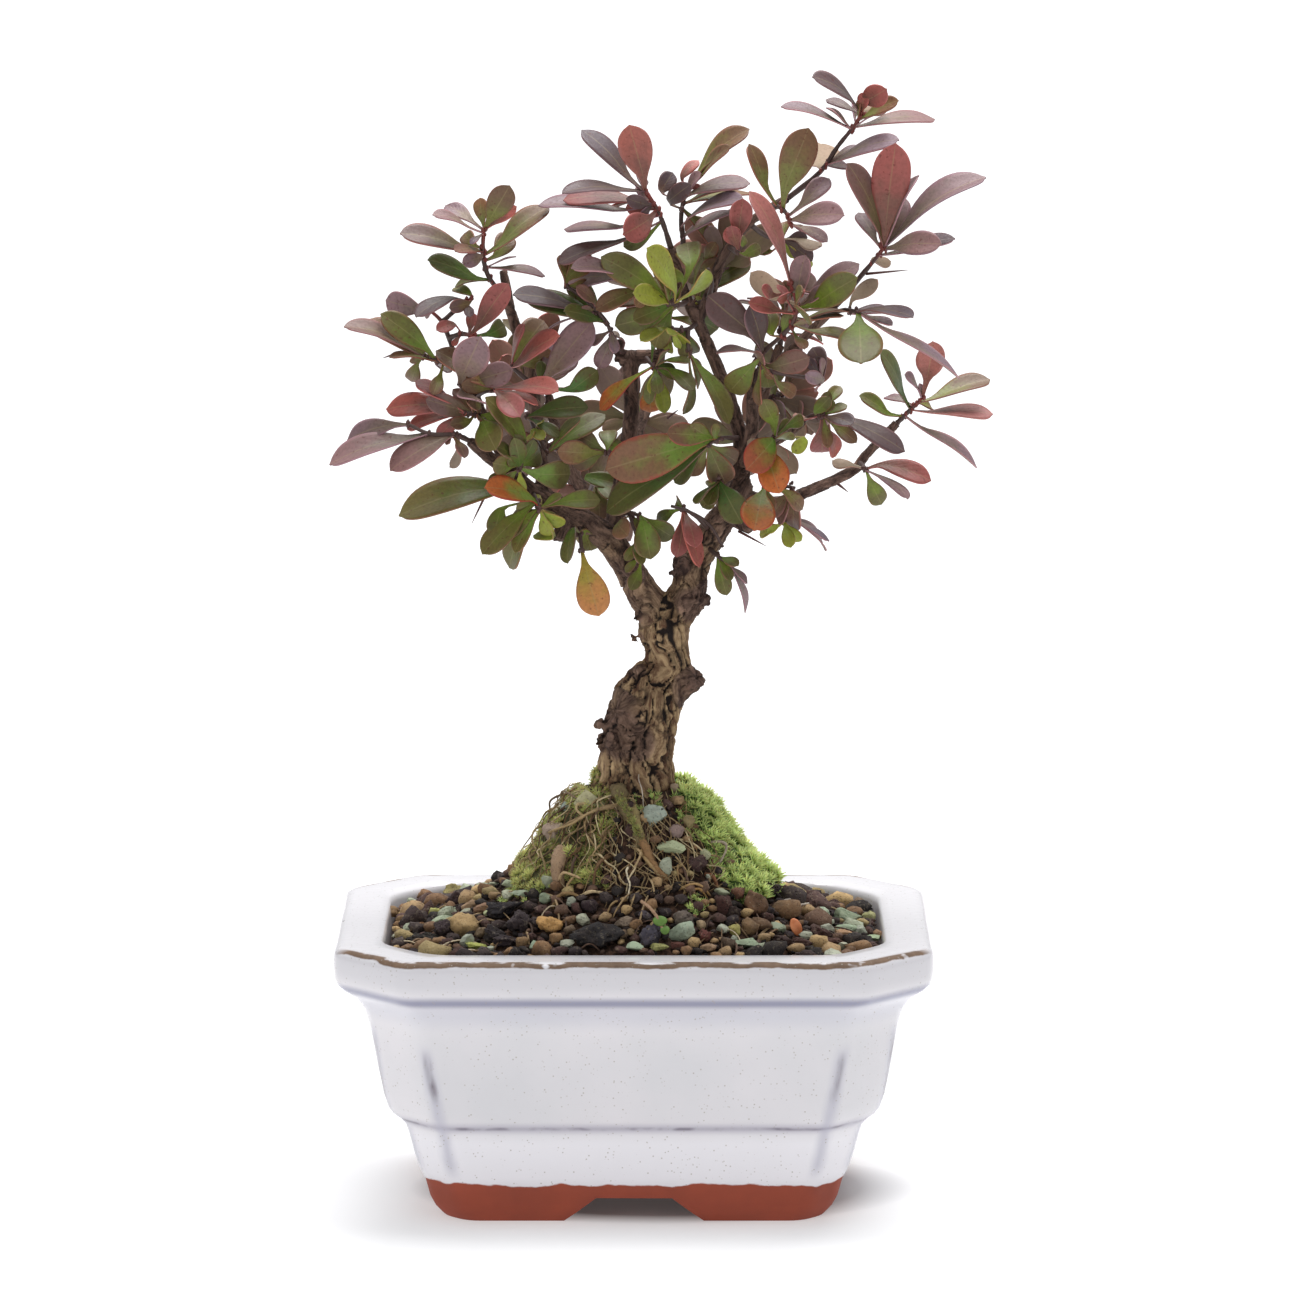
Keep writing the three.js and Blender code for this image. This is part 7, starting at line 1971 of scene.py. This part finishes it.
# %% Leaf finishes
def leaf_finish(name, under):
    material, tree, shader = new_finish(name)
    uv = add(tree, "SeparateXYZ", Vector=add(tree, "UVMap", {"uv_map": "leaf"}).outputs[0])
    place = add(tree, "TexCoord").outputs["Object"]
    near = add(tree, "Attribute", {"attribute_name": "near"}).outputs["Color"]
    far = add(tree, "Attribute", {"attribute_name": "far"}).outputs["Color"]
    margin = add(tree, "Attribute", {"attribute_name": "margin"}).outputs["Color"]
    cloud = add(tree, "TexNoise", Vector=place, Scale=per_mm(3.6), Detail=4).outputs["Fac"]
    mottle = add(tree, "TexNoise", Vector=place, Scale=per_mm(0.8), Detail=3).outputs["Fac"]
    off_rib = add(tree, "Math", {"operation": "ABSOLUTE"}, s0=add(
        tree, "MapRange", Value=uv.outputs["X"], To_Min=-1.0, To_Max=1.0).outputs[0]).outputs[0]
    along = add(tree, "Math", {"operation": "MULTIPLY_ADD"}, s0=cloud, s1=0.9, s2=uv.outputs["Y"]).outputs[0]
    along = add(tree, "Math", {"operation": "MULTIPLY_ADD"}, s0=off_rib, s1=0.16, s2=along).outputs[0]
    change = add(tree, "MapRange", {"interpolation_type": "SMOOTHSTEP"}, Value=along, From_Min=0.72,
                 From_Max=1.35).outputs[0]
    colour = add(tree, "Mix", {"data_type": "RGBA"}, Factor=change, s6=near, s7=far).outputs[2]
    deeper = add(tree, "MapRange", Value=mottle, From_Min=0.4, From_Max=0.8, To_Max=0.3).outputs[0]
    colour = add(tree, "Mix", {"data_type": "RGBA"}, Factor=deeper, s6=colour, s7=linear("#2e2620")).outputs[2]
    edge = add(tree, "Math", {"operation": "MULTIPLY_ADD"}, s0=mottle, s1=0.3, s2=off_rib).outputs[0]
    edge = add(tree, "MapRange", Value=edge, From_Min=0.98, From_Max=1.16, To_Max=0.7).outputs[0]
    colour = add(tree, "Mix", {"data_type": "RGBA"}, Factor=edge, s6=colour, s7=margin).outputs[2]
    rib = add(tree, "MapRange", Value=off_rib, From_Min=0.06, From_Max=0.015, To_Max=0.3).outputs[0]
    colour = add(tree, "Mix", {"data_type": "RGBA"}, Factor=rib, s6=colour, s7=linear("#9c8d62")).outputs[2]
    spots = add(tree, "TexNoise", Vector=place, Scale=per_mm(0.9), Detail=1).outputs["Fac"]
    spots = add(tree, "MapRange", Value=spots, From_Min=0.66, From_Max=0.74, To_Max=0.55).outputs[0]
    colour = add(tree, "Mix", {"data_type": "RGBA"}, Factor=spots, s6=colour, s7=linear("#5a2c22")).outputs[2]
    slant = add(tree, "Math", {"operation": "MULTIPLY_ADD"}, s0=off_rib, s1=-0.35, s2=uv.outputs["Y"]).outputs[0]
    veins = add(tree, "Math", {"operation": "SINE"}, s0=add(
        tree, "Math", {"operation": "MULTIPLY"}, s0=slant, s1=46.0).outputs[0]).outputs[0]
    relief = add(tree, "Math", {"operation": "MULTIPLY_ADD"}, s0=veins, s1=0.18, s2=mottle).outputs[0]
    if under:
        colour = add(tree, "Mix", {"data_type": "RGBA"}, Factor=0.45, s6=colour, s7=linear("#93826f")).outputs[2]
    tree.links.new(colour, shader.inputs["Base Color"])
    sheen = add(tree, "MapRange", Value=mottle, To_Min=0.55 if under else 0.34, To_Max=0.75 if under else 0.55)
    tree.links.new(sheen.outputs[0], shader.inputs["Roughness"])
    bump = add(tree, "Bump", Height=relief, Strength=0.35, Distance=0.12 * MM)
    tree.links.new(bump.outputs[0], shader.inputs["Normal"])
    shader.inputs["Specular IOR Level"].default_value = 0.3
    return material


upper_face = leaf_finish("waxy_leaf_upper_face", False)
under_face = leaf_finish("dull_leaf_under_face", True)
margin_face, tree, shader = new_finish("leaf_margin")
tree.links.new(add(tree, "Attribute", {"attribute_name": "margin"}).outputs["Color"], shader.inputs["Base Color"])
shader.inputs["Roughness"].default_value = 0.5
print("leaf finishes made")

# %% Grow the leaves, one piece to a spray
random.seed(23)


def vary(colour, amount):
    """A leaf's own shade: the look's colour, a little lighter or darker and warmer or cooler."""
    light, warm = random.gauss(1, amount), random.gauss(1, amount * 0.6)
    return [min(1, colour[0] * light * warm), min(1, colour[1] * light), min(1, colour[2] * light / warm), 1]


SISTER_SHARE = {"outer": 0.45, "inner": 1.5}
SISTER_SIZE = {"outer": (0.38, 0.62), "inner": (0.5, 0.85)}
ONE_OFF_LOOKS = ("orange", "amber", "blush", "rose", "pale")
OUTER_SPRAYS = ("far_tip", "right_top", "far_right", "right_shoulder", "left_peak", "peak_left", "peak_right",
                "far_left", "left_low", "far_left_low", "diagonal_top", "right_low_mid")


def sisters(name, leaves):
    """Smaller leaves of the same rosettes, turned away from the ones that were read, in like colours."""
    part = "outer" if name[6:] in OUTER_SPRAYS else "inner"
    share = SISTER_SHARE[part]
    grown = []
    for seat, base, tip, width, upper, look in leaves:
        if look in ONE_OFF_LOOKS or name == "spray_limb_under":
            continue
        for _ in range(int(share) + (random.random() < share % 1)):
            run = tip - base
            away = Quaternion(run.cross(random_way()).normalized(), random.uniform(0.45, 1.0))
            spin = Quaternion(run.normalized(), random.uniform(-0.6, 0.6))
            size = random.uniform(*SISTER_SIZE[part])
            new_run = away @ run * size
            grown.append((seat, seat + new_run * 0.06, seat + new_run, width * size * random.uniform(0.9, 1.15),
                          away @ spin @ upper, look))
    return grown


for name, (shoots, leaves) in plants.items():
    leaves = leaves + sisters(name, leaves)
    bm = bmesh.new()
    layers = {key: bm.verts.layers.float_color.new(key) for key in ("near", "far", "margin")}
    uv = bm.loops.layers.uv.new("leaf")
    for seat, base, tip, width, upper, look in leaves:
        habit = (random.uniform(0.14, 0.34), random.uniform(0.04, 0.09), random.uniform(0, 0.16),
                 random.gauss(0, 0.22))
        verts, faces = lay_leaf(bm, seat, base, tip, width, upper, habit)
        colours = [vary(linear(chip), 0.1) for chip in LOOKS[look]]
        for vertex in verts:
            for layer, colour in zip(layers.values(), colours):
                vertex[layer] = colour
        shares = dict(zip(verts, leaf_shares))
        for face in faces:
            for loop in face.loops:
                u, v = shares[loop.vert]
                loop[uv].uv = ((u + 1) / 2, v)
    piece = new_piece(f"leaves_{name[6:]}", bm, [upper_face, under_face, margin_face], [name])
    rounding = piece.modifiers.new("rounding", "SUBSURF")
    rounding.levels = rounding.render_levels = 1
    body = piece.modifiers.new("thickness", "SOLIDIFY")
    body.thickness, body.offset = LEAF_THICKNESS * MM, -1
    body.material_offset, body.material_offset_rim = 1, 2
print(len(plants), "sprays in leaf")

# %% [markdown]
# The short shoots are red while they are young and brown later, and end in a tuft of bud scales. They are
# tubes through the same points as in the solids, with small swellings where leaves sit.

# %% Shoots
SHOOT_FOOT, SHOOT_TIP = 0.72, 0.42
SPINES = [
    [401, 352, -10, 383, 358, -12], [489, 488, -12, 472, 523, -14], [668, 418, -4, 678, 410, -9],
    [838, 484, 2, 848, 492, -2], [866, 274, -13, 908, 270, -16], [738, 531, -1, 766, 546, -2],
    [560, 470, -6, 548, 462, -10], [628, 394, 0, 614, 386, -5], [742, 330, -9, 752, 322, -13],
]
DRY_TWIG = [[671, 506, -8], [690, 512, -9], [709, 524, -9], [723, 547, -8]]
RED_SHOOTS = ("spray_far_tip", "spray_left_peak", "spray_right_top", "spray_diagonal_top", "spray_far_right",
              "spray_right_inner_top", "spray_far_left", "spray_peak_left")
shoot_skin, tree, shader = new_finish("young_barberry_shoot")
place = add(tree, "TexCoord").outputs["Object"]
ripe = add(tree, "Attribute", {"attribute_name": "ripe"}).outputs["Fac"]
streak = add(tree, "TexNoise", Vector=place, Scale=per_mm(1.1), Detail=4).outputs["Fac"]
fresh = add(tree, "Mix", {"data_type": "RGBA"}, Factor=streak, s6=linear("#6b2620"), s7=linear("#94392e"))
brown = add(tree, "Mix", {"data_type": "RGBA"}, Factor=streak, s6=linear("#33231f"), s7=linear("#57403a"))
colour = add(tree, "Mix", {"data_type": "RGBA"}, Factor=ripe, s6=fresh.outputs[2], s7=brown.outputs[2]).outputs[2]
tree.links.new(colour, shader.inputs["Base Color"])
shader.inputs["Roughness"].default_value = 0.55
bm = bmesh.new()
ripeness = bm.verts.layers.float.new("ripe")
for name, (shoots, leaves) in plants.items():
    for points in shoots:
        path = smooth_path(points, 4)
        radii = [lerp(SHOOT_FOOT, SHOOT_TIP, k / (len(path) - 1)) * random.uniform(0.9, 1.15) for k in range(len(path))]
        verts, _ = join_in(bm, tube(path, radii, sides=7))
        young = name in RED_SHOOTS
        for k, vertex in enumerate(verts):
            vertex[ripeness] = smoothstep(0.95, 0.55, k / len(verts)) if young else 1
    for seat in {tuple(leaf[0]) for leaf in leaves}:
        for _ in range(3):
            bud = bmesh.new()
            bmesh.ops.create_icosphere(bud, subdivisions=1, radius=random.uniform(0.35, 0.62))
            bmesh.ops.scale(bud, vec=(1, 1, 1.5), verts=bud.verts)
            bmesh.ops.translate(bud, vec=Vector(seat) + Vector([random.gauss(0, 0.4) for _ in range(3)]), verts=bud.verts)
            verts, _ = join_in(bm, bud)
            for vertex in verts:
                vertex[ripeness] = 0.35 if name in RED_SHOOTS else 0.9
for x0, y0, depth0, x1, y1, depth1 in SPINES:
    foot, point = in_front_view(x0, y0, depth0), in_front_view(x1, y1, depth1)
    verts, _ = join_in(bm, tube([foot.lerp(point, k / 4) for k in range(5)], [0.4, 0.35, 0.29, 0.2, 0.07], sides=5))
    for vertex in verts:
        vertex[ripeness] = 0.75
verts, _ = join_in(bm, tube(smooth_path([in_front_view(*place) for place in DRY_TWIG], 4), [0.4] * 13, sides=6))
for vertex in verts:
    vertex[ripeness] = 1
shoots_piece = new_piece("young_shoots", bm, [shoot_skin], slot="bark")
print("shoots and buds:", len(shoots_piece.data.polygons), "faces")
